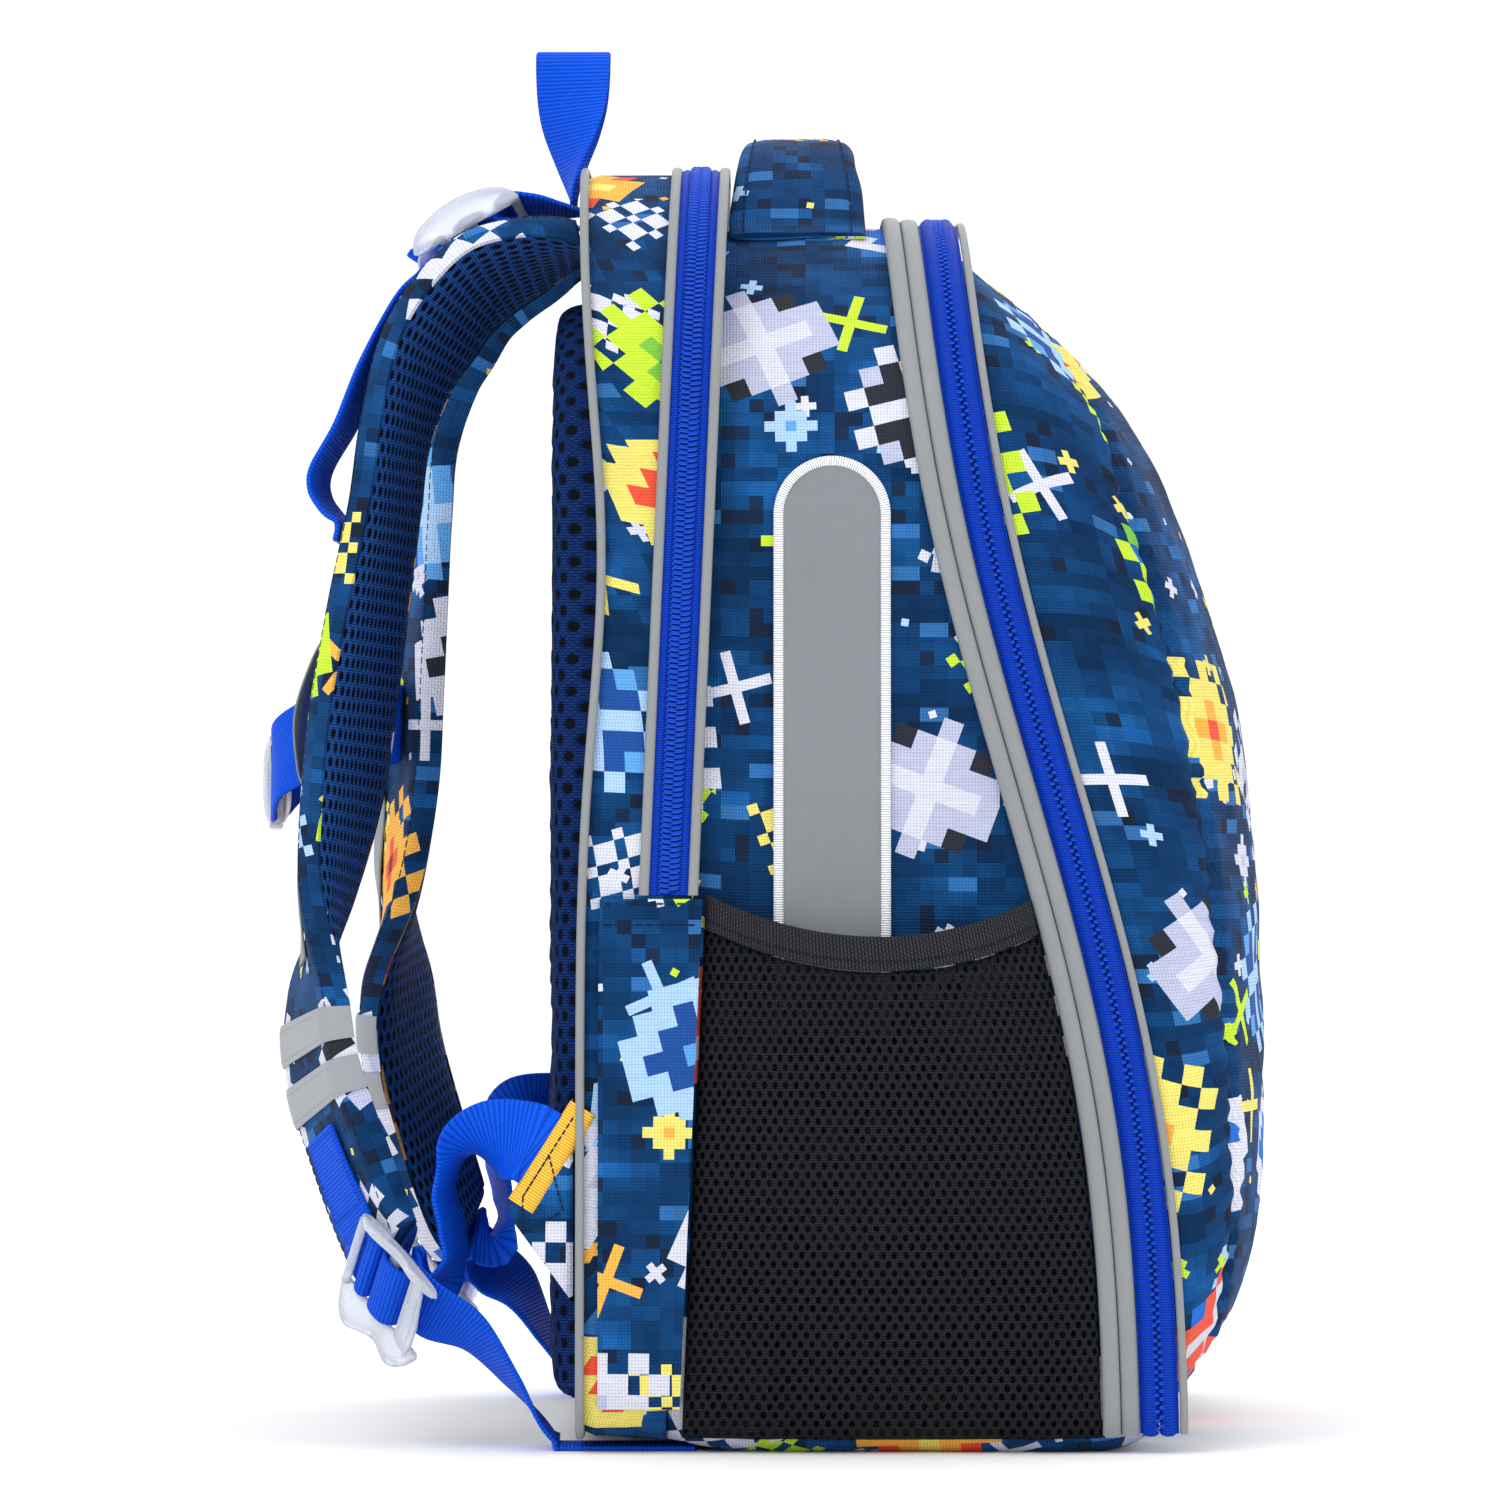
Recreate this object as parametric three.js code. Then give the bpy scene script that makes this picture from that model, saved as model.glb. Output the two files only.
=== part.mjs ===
// School backpack with a padded back, two zipped compartments and shaped shoulder straps.
// Millimetres, +Z up. The side worn against the back faces -X, the bulging front faces +X, and the
// origin is the middle of the flat underside. Left is the wearer's left, at -Y.
import * as THREE from "three";

// The bag body
const BODY_HEIGHT = 400;
const BODY_DEPTH = 216.5;
const BODY_WIDTH = 290;
const TOP_WIDTH = 256;
const TOP_CORNER = 84;
const BOTTOM_CORNER = 14;
const WALL = 3;
const CLEAR = 0.3;
const BACK_HOLLOW = 6.5;
const ZIP_BOW = 11.4;
const STEP_SIDE = 4;
const SIDE_SWELL = 2;
const STEP_TOP = 17.5;

// The padded back
const BACK_PAD_THICKNESS = 9;
const BACK_PAD_MARGIN = 10;
const BACK_PAD_TOP_MARGIN = 41;
const BACK_PAD_EDGE = 4;

// Zips and piping
const ZIP_TAPE_WIDTH = 12;
const ZIP_TAPE_THICKNESS = 1.2;
const ZIP_COIL_WIDTH = 5.6;
const ZIP_COIL_HEIGHT = 2.8;
const PIPING_RADIUS = 1.9;
const SLIM_PIPING = 2.6;
const WIDE_PIPING = 5.4;
const SLIDER_LENGTH = 11;
const PULLER_LENGTH = 26;

// The side pockets, side panels and reflective panels
const POCKET_TOP = 159.5;
const POCKET_DIP = 12;
const POCKET_BULGE = 16;
const MESH_THICKNESS = 1.6;
const BINDING_HEIGHT = 10.5;
const BINDING_THICKNESS = 2.6;
const SIDE_PANEL_TOP = 171;
const SIDE_PANEL_THICKNESS = 2;
const REFLECTOR_WIDTH = 36;
const REFLECTOR_TOP = 308;
const REFLECTOR_BOTTOM = 128;
const REFLECTOR_THICKNESS = 1;
const REFLECTOR_EDGE = 2.8;

// The grab handle and the hang loop
const HANDLE_RISE = 31;
const HANDLE_HALF_SPAN = 70;
const HANDLE_WIDTH = 43;
const HANDLE_THICKNESS = 8;
const LOOP_RISE = 50;
const LOOP_SPREAD = 14;
const LOOP_SEAM_DROP = 8;

// The shoulder straps
const STRAP_REACH = 83;
const STRAP_WIDTH = 64;
const STRAP_PAD_THICKNESS = 8.5;
const STRAP_FACE_THICKNESS = 2;
const STRAP_ROOT_OUT = 48;
const STRAP_END_OUT = 106;
const RIGHT_STRAP_LEAN = 18;
const STRAP_BAR_THICKNESS = 0.8;
const RUNNER_WIDTH = 14;

// Webbing, adjusters, wing tabs and the chest strap
const WEBBING_WIDTH = 25;
const WEBBING_THICKNESS = 1.5;
const LOCK_WIDTH = 33;
const LOCK_LENGTH = 38;
const LOCK_THICKNESS = 3.2;
const LOCK_SLOT = 7;
const WING_DEPTH = 20;
const WING_LENGTH = 63;
const WING_MIDDLE = 78;
const WING_THICKNESS = 3;
const BUCKLE_LENGTH = 42;
const BUCKLE_WIDTH = 28;
const BUCKLE_THICKNESS = 8;
const CHEST_SAG = 19;
const RUNNER_BULGE = 7;
const RUNNER_THICKNESS = 0.8;
const RUNNER_INSET = 4;

// The zip sliders, by the height of their tops when closed
const REAR_SLIDER_Z = 300;
const FRONT_SLIDER_Z = 240;
const SLIDER_WIDTH = 9;
const SLIDER_HEIGHT = 4;
const PULLER_WIDTH = 4;
const PULLER_END_WIDTH = 7;
const PULLER_THICKNESS = 1.4;

const LEFT = -1;
const RIGHT = 1;
const BACK_X = -0.4467 * BODY_DEPTH;

const material = (color, roughness, metalness = 0) =>
  new THREE.MeshStandardMaterial({ color, roughness, metalness });
const PRINT = material(0x1d4a80, 0.8);
const SPACER_MESH = material(0x123a8c, 0.9);
const ZIP_BLUE = material(0x0a34c8, 0.6);
const WEBBING = material(0x0b3fd6, 0.7);
const GREY = material(0x9a9ca0, 0.45);
const WHITE_THREAD = material(0xe8ecf2, 0.6);
const BLACK_MESH = material(0x1c1c22, 0.85);
const ELASTIC = material(0x232328, 0.8);
const CLEAR_PLASTIC = material(0xe6eaf0, 0.3);

const bag = new THREE.Group();

// Reads a column of a table, straight between its rows; key is the column that runs along it.
function read(table, key, at, column) {
  const after = table.findIndex((row) => row[key] >= at);
  if (after <= 0) return table[after === 0 ? 0 : table.length - 1][column];
  const [a, b] = [table[after - 1], table[after]];
  return a[column] + ((b[column] - a[column]) * (at - a[key])) / (b[key] - a[key]);
}

const mix = (a, b, t) => a + (b - a) * t;
const shares = (count) => Array.from({ length: count + 1 }, (_, i) => i / count);
const vector = (x, y, z) => new THREE.Vector3(x, y, z);
const moved = (p, ...steps) =>
  steps.reduce((q, [direction, distance]) => q.addScaledVector(direction, distance), p.clone());

// A closed skin over rings of equal length: a tube that bites its own tail, or one with two capped ends.
function skin(rings, closed = false) {
  const count = rings[0].length;
  const points = rings.flat();
  const faces = [];
  const pairs = closed ? rings.length : rings.length - 1;
  for (let r = 0; r < pairs; r++) {
    const [low, high] = [r * count, ((r + 1) % rings.length) * count];
    for (let i = 0; i < count; i++) {
      const j = (i + 1) % count;
      faces.push([low + i, low + j, high + j], [low + i, high + j, high + i]);
    }
  }
  if (!closed) {
    const cap = (ring, start, flip) => {
      const middle = new THREE.Vector3();
      ring.forEach((p) => middle.addScaledVector(p, 1 / count));
      const centre = points.push(middle) - 1;
      for (let i = 0; i < count; i++) {
        const [a, b] = [start + i, start + ((i + 1) % count)];
        faces.push(flip ? [centre, b, a] : [centre, a, b]);
      }
    };
    cap(rings[0], 0, true);
    cap(rings[rings.length - 1], (rings.length - 1) * count, false);
  }
  return facingOut(points, faces);
}

// A geometry whose faces are turned so that it encloses a positive volume.
function facingOut(points, faces) {
  const volume = faces.reduce(
    (sum, [a, b, c]) => sum + points[a].dot(points[b].clone().cross(points[c])), 0);
  const turned = volume < 0 ? faces.map(([a, b, c]) => [a, c, b]) : faces;
  const geometry = new THREE.BufferGeometry().setFromPoints(points);
  geometry.setIndex(turned.flat());
  return geometry;
}

function piece(name, geometry, look) {
  const mesh = new THREE.Mesh(geometry, look);
  mesh.name = name;
  bag.add(mesh);
  return mesh;
}

// The outline of the body, seen from the front: lines and arcs, wider at the foot than at the shoulders
const MIDDLE_TOP = BODY_HEIGHT - STEP_TOP;
const REAR = { foot: BODY_WIDTH / 2, shoulder: TOP_WIDTH / 2, top: BODY_HEIGHT, bottom: 0 };
const MIDDLE = {
  foot: REAR.foot - STEP_SIDE, shoulder: REAR.shoulder - STEP_SIDE, top: MIDDLE_TOP, bottom: 0,
};

const grown = (o, by) => ({
  foot: o.foot + by,
  shoulder: o.shoulder + by,
  top: o.top + by,
  bottom: o.bottom - by,
  grow: (o.grow ?? 0) + by,
});
const topCorner = (o) => TOP_CORNER + (o.grow ?? 0);
const bottomCorner = (o) => Math.max(BOTTOM_CORNER + (o.grow ?? 0), 1);

// Half the width of an outline at height z.
function halfWidthAt(o, z) {
  const [low, high] = [o.bottom + bottomCorner(o), o.top - topCorner(o)];
  const arc = (radius, away) => radius - Math.sqrt(Math.max(radius ** 2 - away ** 2, 0));
  if (z < low) return o.foot - arc(bottomCorner(o), low - z);
  if (z > high) return o.shoulder - arc(topCorner(o), z - high);
  return mix(o.foot, o.shoulder, (z - low) / (high - low));
}

// The height of an outline's top at a distance y from the middle.
function topAt(o, y) {
  const beyond = Math.max(Math.abs(y) - (o.shoulder - topCorner(o)), 0);
  return o.top - topCorner(o) + Math.sqrt(topCorner(o) ** 2 - beyond ** 2);
}

// One side of an outline as [y, z], from height start up to the middle of the top.
function sideAndTop(o, start) {
  const high = o.top - topCorner(o);
  const side = shares(6).map((t) => mix(start, high, t)).map((z) => [halfWidthAt(o, z), z]);
  const arc = shares(7).slice(1).map((t) => (t * Math.PI) / 2).map((a) => [
    o.shoulder - topCorner(o) * (1 - Math.cos(a)), high + topCorner(o) * Math.sin(a)]);
  const [y, z] = arc[arc.length - 1];
  return [...side, ...arc, [y / 2, z], [0, z]];
}

// The arch from height start on the left, over the top, to the same height on the right.
function archOutline(o, start) {
  const right = sideAndTop(o, start);
  return [...right.slice(0, -1).map(([y, z]) => [-y, z]), ...right.slice().reverse()];
}

// The whole outline, closed under the base.
function wholeOutline(o) {
  const [low, flat] = [o.bottom + bottomCorner(o), o.foot - bottomCorner(o)];
  const corner = shares(3).slice(0, -1).map((t) => (t * Math.PI) / 2).map((a) => [
    flat + bottomCorner(o) * Math.sin(a), low - bottomCorner(o) * Math.cos(a)]);
  const right = [[flat / 2, o.bottom], ...corner];
  const left = right.map(([y, z]) => [-y, z]);
  return [[0, o.bottom], ...left, ...archOutline(o, low), ...right.reverse()];
}

// Cross sections of the body lean and bow: each gives x from the height.
const depthAt = (share) => BACK_X + BODY_DEPTH * share;
const hollowAt = (z) => BACK_HOLLOW * Math.exp(-(((z / BODY_HEIGHT - 0.69) / 0.17) ** 2));
const bowAt = (z) => {
  const h = THREE.MathUtils.clamp(z / BODY_HEIGHT, 0, 1);
  return ZIP_BOW * (0.65 * Math.sin(2 * Math.PI * h) + 0.35 * Math.sin(Math.PI * h));
};
const leaning = (foot, top, hollow = 0, bow = 0) => (z) =>
  depthAt(mix(foot, top, z / BODY_HEIGHT)) + hollow * hollowAt(z) + bow * bowAt(z);

const backFace = leaning(0, 0, 1);
const backEdge = leaning(0.024, 0.024, 0.9);
const rearZipLine = leaning(0.095, 0.174);
const rearEnd = leaning(0.124, 0.206);
const frontZipLine = leaning(0.83, 0.5124, 0, 1);

const ringAt = (o, xOf, shift = 0) =>
  wholeOutline(o).map(([y, z]) => new THREE.Vector3(xOf(z) + shift, y, z));
const shrunk = (ring, share, middleZ, xOf, shift) =>
  ring.map((p) => {
    const z = middleZ + (p.z - middleZ) * share;
    return new THREE.Vector3(xOf(z) + shift, p.y * share, z);
  });

// The rear compartment: a tray with the back wall, the gusset and a lip that meets the middle
const PANEL_SCALE = 0.5;
const REAR_RISE = 7;
const backOutline = { ...grown(REAR, -2), bottom: REAR_RISE + 1 };
const padOutline = {
  ...grown(REAR, -BACK_PAD_MARGIN), top: BODY_HEIGHT - BACK_PAD_TOP_MARGIN, bottom: REAR_RISE + BACK_PAD_MARGIN,
};
const PAD_MIDDLE = BODY_HEIGHT / 2;

function rearShell() {
  const lifted = (o, bottom) => ({ ...o, bottom });
  const pad = ringAt(padOutline, backFace);
  const inner = { ...grown(backOutline, -WALL), bottom: REAR_RISE + WALL };
  const wallRing = ringAt(inner, backFace, WALL);
  return skin([
    shrunk(pad, PANEL_SCALE, PAD_MIDDLE, backFace, 0),
    pad,
    ringAt(backOutline, backFace),
    ringAt(lifted(REAR, REAR_RISE - 2), backEdge),
    ringAt(lifted(REAR, REAR_RISE / 2), rearEnd),
    ringAt(grown(lifted(MIDDLE, REAR_RISE / 2), -WALL), rearEnd),
    ringAt(grown(lifted(MIDDLE, REAR_RISE / 2), -WALL), rearEnd, -WALL),
    ringAt(grown(lifted(REAR, REAR_RISE / 2), -WALL), rearEnd, -WALL),
    wallRing,
    shrunk(wallRing, PANEL_SCALE, PAD_MIDDLE, backFace, WALL),
  ]);
}

// The middle compartment: an open ring between the rear lip and the front zip
const MIDDLE_STATIONS = [
  { foot: 0.124, top: 0.206, bow: 0, bottom: REAR_RISE / 2, swell: 0 },
  { foot: 0.24, top: 0.245, bow: 0, bottom: 0, swell: 0.6 },
  { foot: 0.47, top: 0.35, bow: 0.4, bottom: 0, swell: 1 },
  { foot: 0.75, top: 0.45, bow: 0.9, bottom: 0, swell: 0.5 },
  { foot: 0.83, top: 0.5124, bow: 1, bottom: 8, swell: 0 },
];
const middleOutline = (row) => ({
  ...MIDDLE,
  foot: MIDDLE.foot + row.swell * SIDE_SWELL,
  shoulder: MIDDLE.shoulder + row.swell * SIDE_SWELL,
  bottom: row.bottom,
});

function middleShell() {
  const lines = MIDDLE_STATIONS.map((row, i) => {
    const shift = i === 0 ? CLEAR : 0;
    const xOf = leaning(row.foot, row.top, 0, row.bow);
    return { o: middleOutline(row), xOf: (z) => xOf(z) + shift };
  });
  const outer = lines.map(({ o, xOf }) => ringAt(o, xOf));
  const inner = lines.map(({ o, xOf }) => ringAt(grown(o, -WALL), xOf)).reverse();
  return skin([...outer, ...inner], true);
}

// The front: a crowned bowl whose side view is this profile, from the underside to the front zip's top
const FRONT_PROFILE = [
  { height: 0.018, reach: 0.8 },
  { height: 0.024, reach: 0.82 },
  { height: 0.04, reach: 0.862 },
  { height: 0.08, reach: 0.92 },
  { height: 0.105, reach: 0.955 },
  { height: 0.166, reach: 0.99 },
  { height: 0.249, reach: 1 },
  { height: 0.331, reach: 0.998 },
  { height: 0.454, reach: 0.988 },
  { height: 0.561, reach: 0.966 },
  { height: 0.626, reach: 0.936 },
  { height: 0.717, reach: 0.884 },
  { height: 0.799, reach: 0.81 },
  { height: 0.848, reach: 0.735 },
  { height: 0.897, reach: 0.631 },
  { height: 0.934, reach: 0.542 },
  { height: 0.956, reach: 0.512 },
];
const FRONT_RINGS = [
  { across: 1, up: 1 },
  { across: 0.99, up: 0.985 },
  { across: 0.965, up: 0.95 },
  { across: 0.91, up: 0.89 },
  { across: 0.8, up: 0.78 },
  { across: 0.6, up: 0.6 },
  { across: 0.34, up: 0.36 },
];
const FRONT_MIDDLE = 0.42;
const frontOutline = { ...MIDDLE, bottom: 8 };

// How far the front stands forward at (y, z): full at the middle, turning down sharply at the sides.
function frontAt(y, z, o) {
  const base = frontZipLine(z);
  const silhouette = depthAt(read(FRONT_PROFILE, "height", z / BODY_HEIGHT, "reach"));
  const u = Math.min(Math.abs(y) / Math.max(halfWidthAt(o, z), 1), 1);
  return base + Math.max(silhouette - base, 0) * (1 - u ** 3) ** 0.25;
}

function frontShell() {
  const middleZ = FRONT_MIDDLE * BODY_HEIGHT;
  const rings = (o, drop) => FRONT_RINGS.map(({ across, up }, i) =>
    wholeOutline(o).map(([y, z]) => {
      const [ry, rz] = [y * across, middleZ + (z - middleZ) * up];
      const x = i === 0 ? frontZipLine(rz) : frontAt(ry, rz, o) - drop;
      return new THREE.Vector3(x + CLEAR, ry, rz);
    }));
  const outer = rings(frontOutline, 0).reverse();
  const inner = rings(grown(frontOutline, -WALL), WALL);
  return skin([...outer, ...inner]);
}

// The back pad, its rear face flat where it meets the wearer
function backPad() {
  const front = ringAt(padOutline, backFace, -CLEAR);
  const rearX = () => BACK_X - BACK_PAD_THICKNESS;
  return skin([
    shrunk(front, PANEL_SCALE, PAD_MIDDLE, backFace, -CLEAR),
    front,
    ringAt(padOutline, rearX, BACK_PAD_EDGE),
    ringAt(grown(padOutline, -BACK_PAD_EDGE), rearX),
  ]);
}

// A band whose section [across, out] follows an outline; across runs along X and out stands off the surface
function band(o, xOf, section, start) {
  const sweep = (out) => (start === undefined ? wholeOutline : archOutline)(grown(o, out), start);
  const lines = section.map(([across, out]) =>
    sweep(out).map(([y, z]) => new THREE.Vector3(xOf(z) + across, y, z)));
  const rings = lines[0].map((_, i) => lines.map((line) => line[i]));
  return skin(rings, start === undefined);
}

const roundSection = (radius, across, out, sides = 6) =>
  shares(sides).slice(1).map((t) => t * 2 * Math.PI).map((a) => [
    across + radius * Math.cos(a), out + radius * Math.sin(a)]);

// A flat strip with a low crown, for folded piping and trim.
const stripSection = (width, across, lift, height = 1.8) => [
  [across - width / 2, lift], [across + width / 2, lift],
  [across + width / 2, lift + height * 0.6], [across, lift + height],
  [across - width / 2, lift + height * 0.6],
];

function zipSection(lift) {
  const [tape, coil] = [ZIP_TAPE_WIDTH / 2, ZIP_COIL_WIDTH / 2];
  const [low, high] = [lift + ZIP_TAPE_THICKNESS, lift + ZIP_COIL_HEIGHT];
  return [[-tape, lift], [tape, lift], [tape, low], [coil, low], [coil * 0.8, high],
    [-coil * 0.8, high], [-coil, low], [-tape, low]];
}

const ZIP_LIFT = 1.1;
const REAR_ZIP_START = SIDE_PANEL_TOP + 1;
const FRONT_ZIP_START = 14;

function zipsAndPiping() {
  piece("back_piping", band(backOutline, backFace, roundSection(PIPING_RADIUS, 1, 3)), GREY);
  const gap = ZIP_TAPE_WIDTH / 2 + CLEAR;
  const beside = (width) => gap + width / 2;
  const rearTrim = (side) => stripSection(SLIM_PIPING, side * beside(SLIM_PIPING), CLEAR);
  piece("rear_zip", band(REAR, rearZipLine, zipSection(CLEAR), REAR_ZIP_START), ZIP_BLUE);
  piece("rear_zip_piping_back", band(REAR, rearZipLine, rearTrim(-1), REAR_ZIP_START), GREY);
  const front = { ...MIDDLE, bottom: 0 };
  const wide = beside(WIDE_PIPING);
  piece("rear_zip_piping_front", band(REAR, rearZipLine, rearTrim(1), REAR_ZIP_START), GREY);
  piece("front_zip", band(front, frontZipLine, zipSection(ZIP_LIFT), FRONT_ZIP_START), ZIP_BLUE);
  piece("front_zip_piping_middle", band(front, frontZipLine,
    stripSection(WIDE_PIPING, -wide, ZIP_LIFT, 2.2), FRONT_ZIP_START), GREY);
  piece("front_zip_piping_back", band(front, frontZipLine,
    stripSection(WIDE_PIPING, -wide - WIDE_PIPING - CLEAR, ZIP_LIFT + 0.4, 2.2), FRONT_ZIP_START), GREY);
  piece("front_zip_piping_front", band(front, frontZipLine,
    stripSection(SLIM_PIPING, beside(SLIM_PIPING), ZIP_LIFT - 0.6, 1.8), FRONT_ZIP_START), GREY);
}


// Two grids of points, the faces of a thin piece, closed along all four edges.
function slab(outer, inner) {
  const [lastRow, lastColumn] = [outer.length - 1, outer[0].length - 1];
  const count = outer.length * outer[0].length;
  const points = [...outer.flat(), ...inner.flat()];
  const front = (r, c) => r * (lastColumn + 1) + c;
  const back = (r, c) => count + front(r, c);
  const faces = [];
  const quad = (a, b, c, d) => faces.push([a, b, c], [a, c, d]);
  for (let r = 0; r < lastRow; r++) {
    for (let c = 0; c < lastColumn; c++) {
      quad(front(r, c), front(r, c + 1), front(r + 1, c + 1), front(r + 1, c));
      quad(back(r, c), back(r + 1, c), back(r + 1, c + 1), back(r, c + 1));
    }
    quad(front(r, 0), front(r + 1, 0), back(r + 1, 0), back(r, 0));
    quad(front(r, lastColumn), back(r, lastColumn), back(r + 1, lastColumn), front(r + 1, lastColumn));
  }
  for (let c = 0; c < lastColumn; c++) {
    quad(front(0, c), back(0, c), back(0, c + 1), front(0, c + 1));
    quad(front(lastRow, c), front(lastRow, c + 1), back(lastRow, c + 1), back(lastRow, c));
  }
  return facingOut(points, faces);
}

// The slab between two distances from a surface; point(row, column, distance) gives its corners.
const layer = (rows, columns, point, low, high) =>
  slab(...[high, low].map((distance) => rows.map((r) => columns.map((c) => point(r, c, distance)))));

// A strip along a path. Each row has its point, the direction of its width, and its own size if it varies.
function ribbon(rows, width, thickness) {
  const line = rows.map((row, i) => {
    const [before, after] = [rows[Math.max(i - 1, 0)], rows[Math.min(i + 1, rows.length - 1)]];
    const tangent = after.at.clone().sub(before.at).normalize();
    const normal = tangent.clone().cross(row.across).normalize();
    const across = normal.clone().cross(tangent).normalize();
    return { ...row, normal, across };
  });
  const face = (side) => line.map((row) => [-0.5, 0.5].map((share) =>
    moved(row.at, [row.across, share * (row.width ?? width)],
      [row.normal, (side * (row.thickness ?? thickness)) / 2])));
  return slab(face(1), face(-1));
}

// How far the side of the middle compartment stands out at (x, z).
function sideAt(x, z) {
  const line = MIDDLE_STATIONS.map((row) => ({
    x: leaning(row.foot, row.top, 0, row.bow)(z),
    out: halfWidthAt({ ...middleOutline(row), bottom: 0 }, z),
  }));
  return read(line, "x", x, "out");
}

// The mesh pockets: a sheet that bulges out from the side, with a wide elastic hem
const pocketTop = (u) => POCKET_TOP + POCKET_DIP * (2 * u - 1.04) ** 2;
const pocketRear = (z) => rearEnd(z) + 5;
const pocketFront = (z) => frontZipLine(z) - ZIP_TAPE_WIDTH / 2 - 2 * WIDE_PIPING - 4 * CLEAR;
const POCKET_COLUMNS = [0, 0.04, 0.12, 0.25, 0.4, 0.55, 0.7, 0.84, 0.95, 1];

function pocketPoint(side, z, u, lift) {
  const x = mix(pocketRear(z), pocketFront(z), u);
  const share = THREE.MathUtils.clamp(z / POCKET_TOP, 0, 1);
  const fullness = Math.sin((Math.PI / 2) * Math.min(share * 1.35, 1)) ** 0.7;
  const bulge = POCKET_BULGE * Math.sin(Math.PI * u) ** 0.7 * fullness;
  return vector(x, side * (sideAt(x, z) + 2 * CLEAR + bulge + lift), z);
}

function pocket(side, name) {
  const rows = [0.03, 0.08, 0.2, 0.4, 0.65, 0.85, 1];
  const low = (POCKET_BOTTOM_LIFT) => POCKET_BOTTOM_LIFT;
  const point = (v, u, lift) =>
    pocketPoint(side, v * (pocketTop(u) - BINDING_HEIGHT - CLEAR), u, low(lift));
  piece(`pocket_mesh_${name}`, layer(rows, POCKET_COLUMNS, point, 0, MESH_THICKNESS), BLACK_MESH);
  const hem = (v, u, lift) => pocketPoint(side, pocketTop(u) - (1 - v) * BINDING_HEIGHT, u, lift);
  piece(`pocket_binding_${name}`,
    layer([0, 0.5, 1], POCKET_COLUMNS, hem, 0, BINDING_THICKNESS), ELASTIC);
}

// The plain lower side panel, over the rear gusset and up to the pocket
function sidePanel(side, name) {
  const point = (z, u, lift) => {
    const x = mix(backEdge(z) + 1, rearEnd(z) + 4, u);
    return vector(x, side * (halfWidthAt({ ...REAR, bottom: REAR_RISE - 2 }, z) + lift), z);
  };
  const heights = [14, 17, 21, 70, 120, SIDE_PANEL_TOP];
  piece(`side_panel_${name}`,
    layer(heights, [0, 0.5, 1], point, 2 * CLEAR, 2 * CLEAR + SIDE_PANEL_THICKNESS), PRINT);
}

// The round-topped reflector with its stitched edge, which runs down behind the pocket
const REFLECTOR_X = BACK_X + 0.363 * BODY_DEPTH;
const REFLECTOR_LIFT = 0.7;

function reflector(side, name) {
  const outer = REFLECTOR_WIDTH / 2;
  const arcCentre = REFLECTOR_TOP - outer;
  const surface = (x, z, lift) => vector(x, side * (sideAt(x, z) + REFLECTOR_LIFT + lift), z);
  const inner = outer - REFLECTOR_EDGE - CLEAR;
  const straight = shares(4).map((t) => mix(REFLECTOR_BOTTOM, arcCentre, t)).map((z) => [inner, z]);
  const arc = shares(6).slice(1).map((t) => (t * Math.PI) / 2 * 0.93).map((a) => [
    inner * Math.cos(a), arcCentre + inner * Math.sin(a)]);
  const face = (lift) => [...straight, ...arc].map(([half, z]) =>
    [-1, 0, 1].map((c) => surface(REFLECTOR_X + c * half, z, lift)));
  piece(`side_reflector_${name}`, slab(face(REFLECTOR_THICKNESS), face(0)), GREY);
  const edge = (radius) => [
    ...shares(4).map((t) => [-radius, mix(REFLECTOR_BOTTOM, arcCentre, t)]),
    ...shares(12).slice(1, -1).map((t) => [-radius * Math.cos(t * Math.PI),
      arcCentre + radius * Math.sin(t * Math.PI)]),
    ...shares(4).map((t) => [radius, mix(arcCentre, REFLECTOR_BOTTOM, t)]),
  ];
  const [out, near] = [edge(outer), edge(outer - REFLECTOR_EDGE)];
  const rim = (lift) => out.map((p, i) => [p, near[i]].map(([x, z]) => surface(REFLECTOR_X + x, z, lift)));
  piece(`reflector_border_${name}`,
    slab(rim(REFLECTOR_THICKNESS + 0.6), rim(0)), WHITE_THREAD);
}

// The padded grab handle across the top, its ends sewn flat to the middle compartment
const HANDLE_X = BACK_X + 0.315 * BODY_DEPTH;
const HANDLE_ROWS = [
  { out: 1, rise: 0, width: 1, thickness: 0.35 },
  { out: 0.88, rise: 0.02, width: 1, thickness: 0.5 },
  { out: 0.76, rise: 0.2, width: 0.97, thickness: 0.85 },
  { out: 0.62, rise: 0.5, width: 0.92, thickness: 1 },
  { out: 0.46, rise: 0.78, width: 0.86, thickness: 1 },
  { out: 0.26, rise: 0.95, width: 0.8, thickness: 1 },
  { out: 0, rise: 1, width: 0.78, thickness: 1 },
];

function grabHandle() {
  const half = (side) => HANDLE_ROWS.map((row) => {
    const y = side * row.out * HANDLE_HALF_SPAN;
    const thickness = row.thickness * HANDLE_THICKNESS;
    const lift = 3 * CLEAR + thickness / 2 + row.rise * (HANDLE_RISE - HANDLE_THICKNESS);
    const rise = mix(topAt(MIDDLE, y), MIDDLE_TOP, row.rise);
    return {
      at: vector(HANDLE_X, y, rise + lift),
      across: vector(1, 0, 0),
      width: row.width * HANDLE_WIDTH,
      thickness,
    };
  });
  const rows = [...half(LEFT), ...half(RIGHT).reverse().slice(1)];
  piece("grab_handle", ribbon(rows, HANDLE_WIDTH, HANDLE_THICKNESS), PRINT);
}

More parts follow.
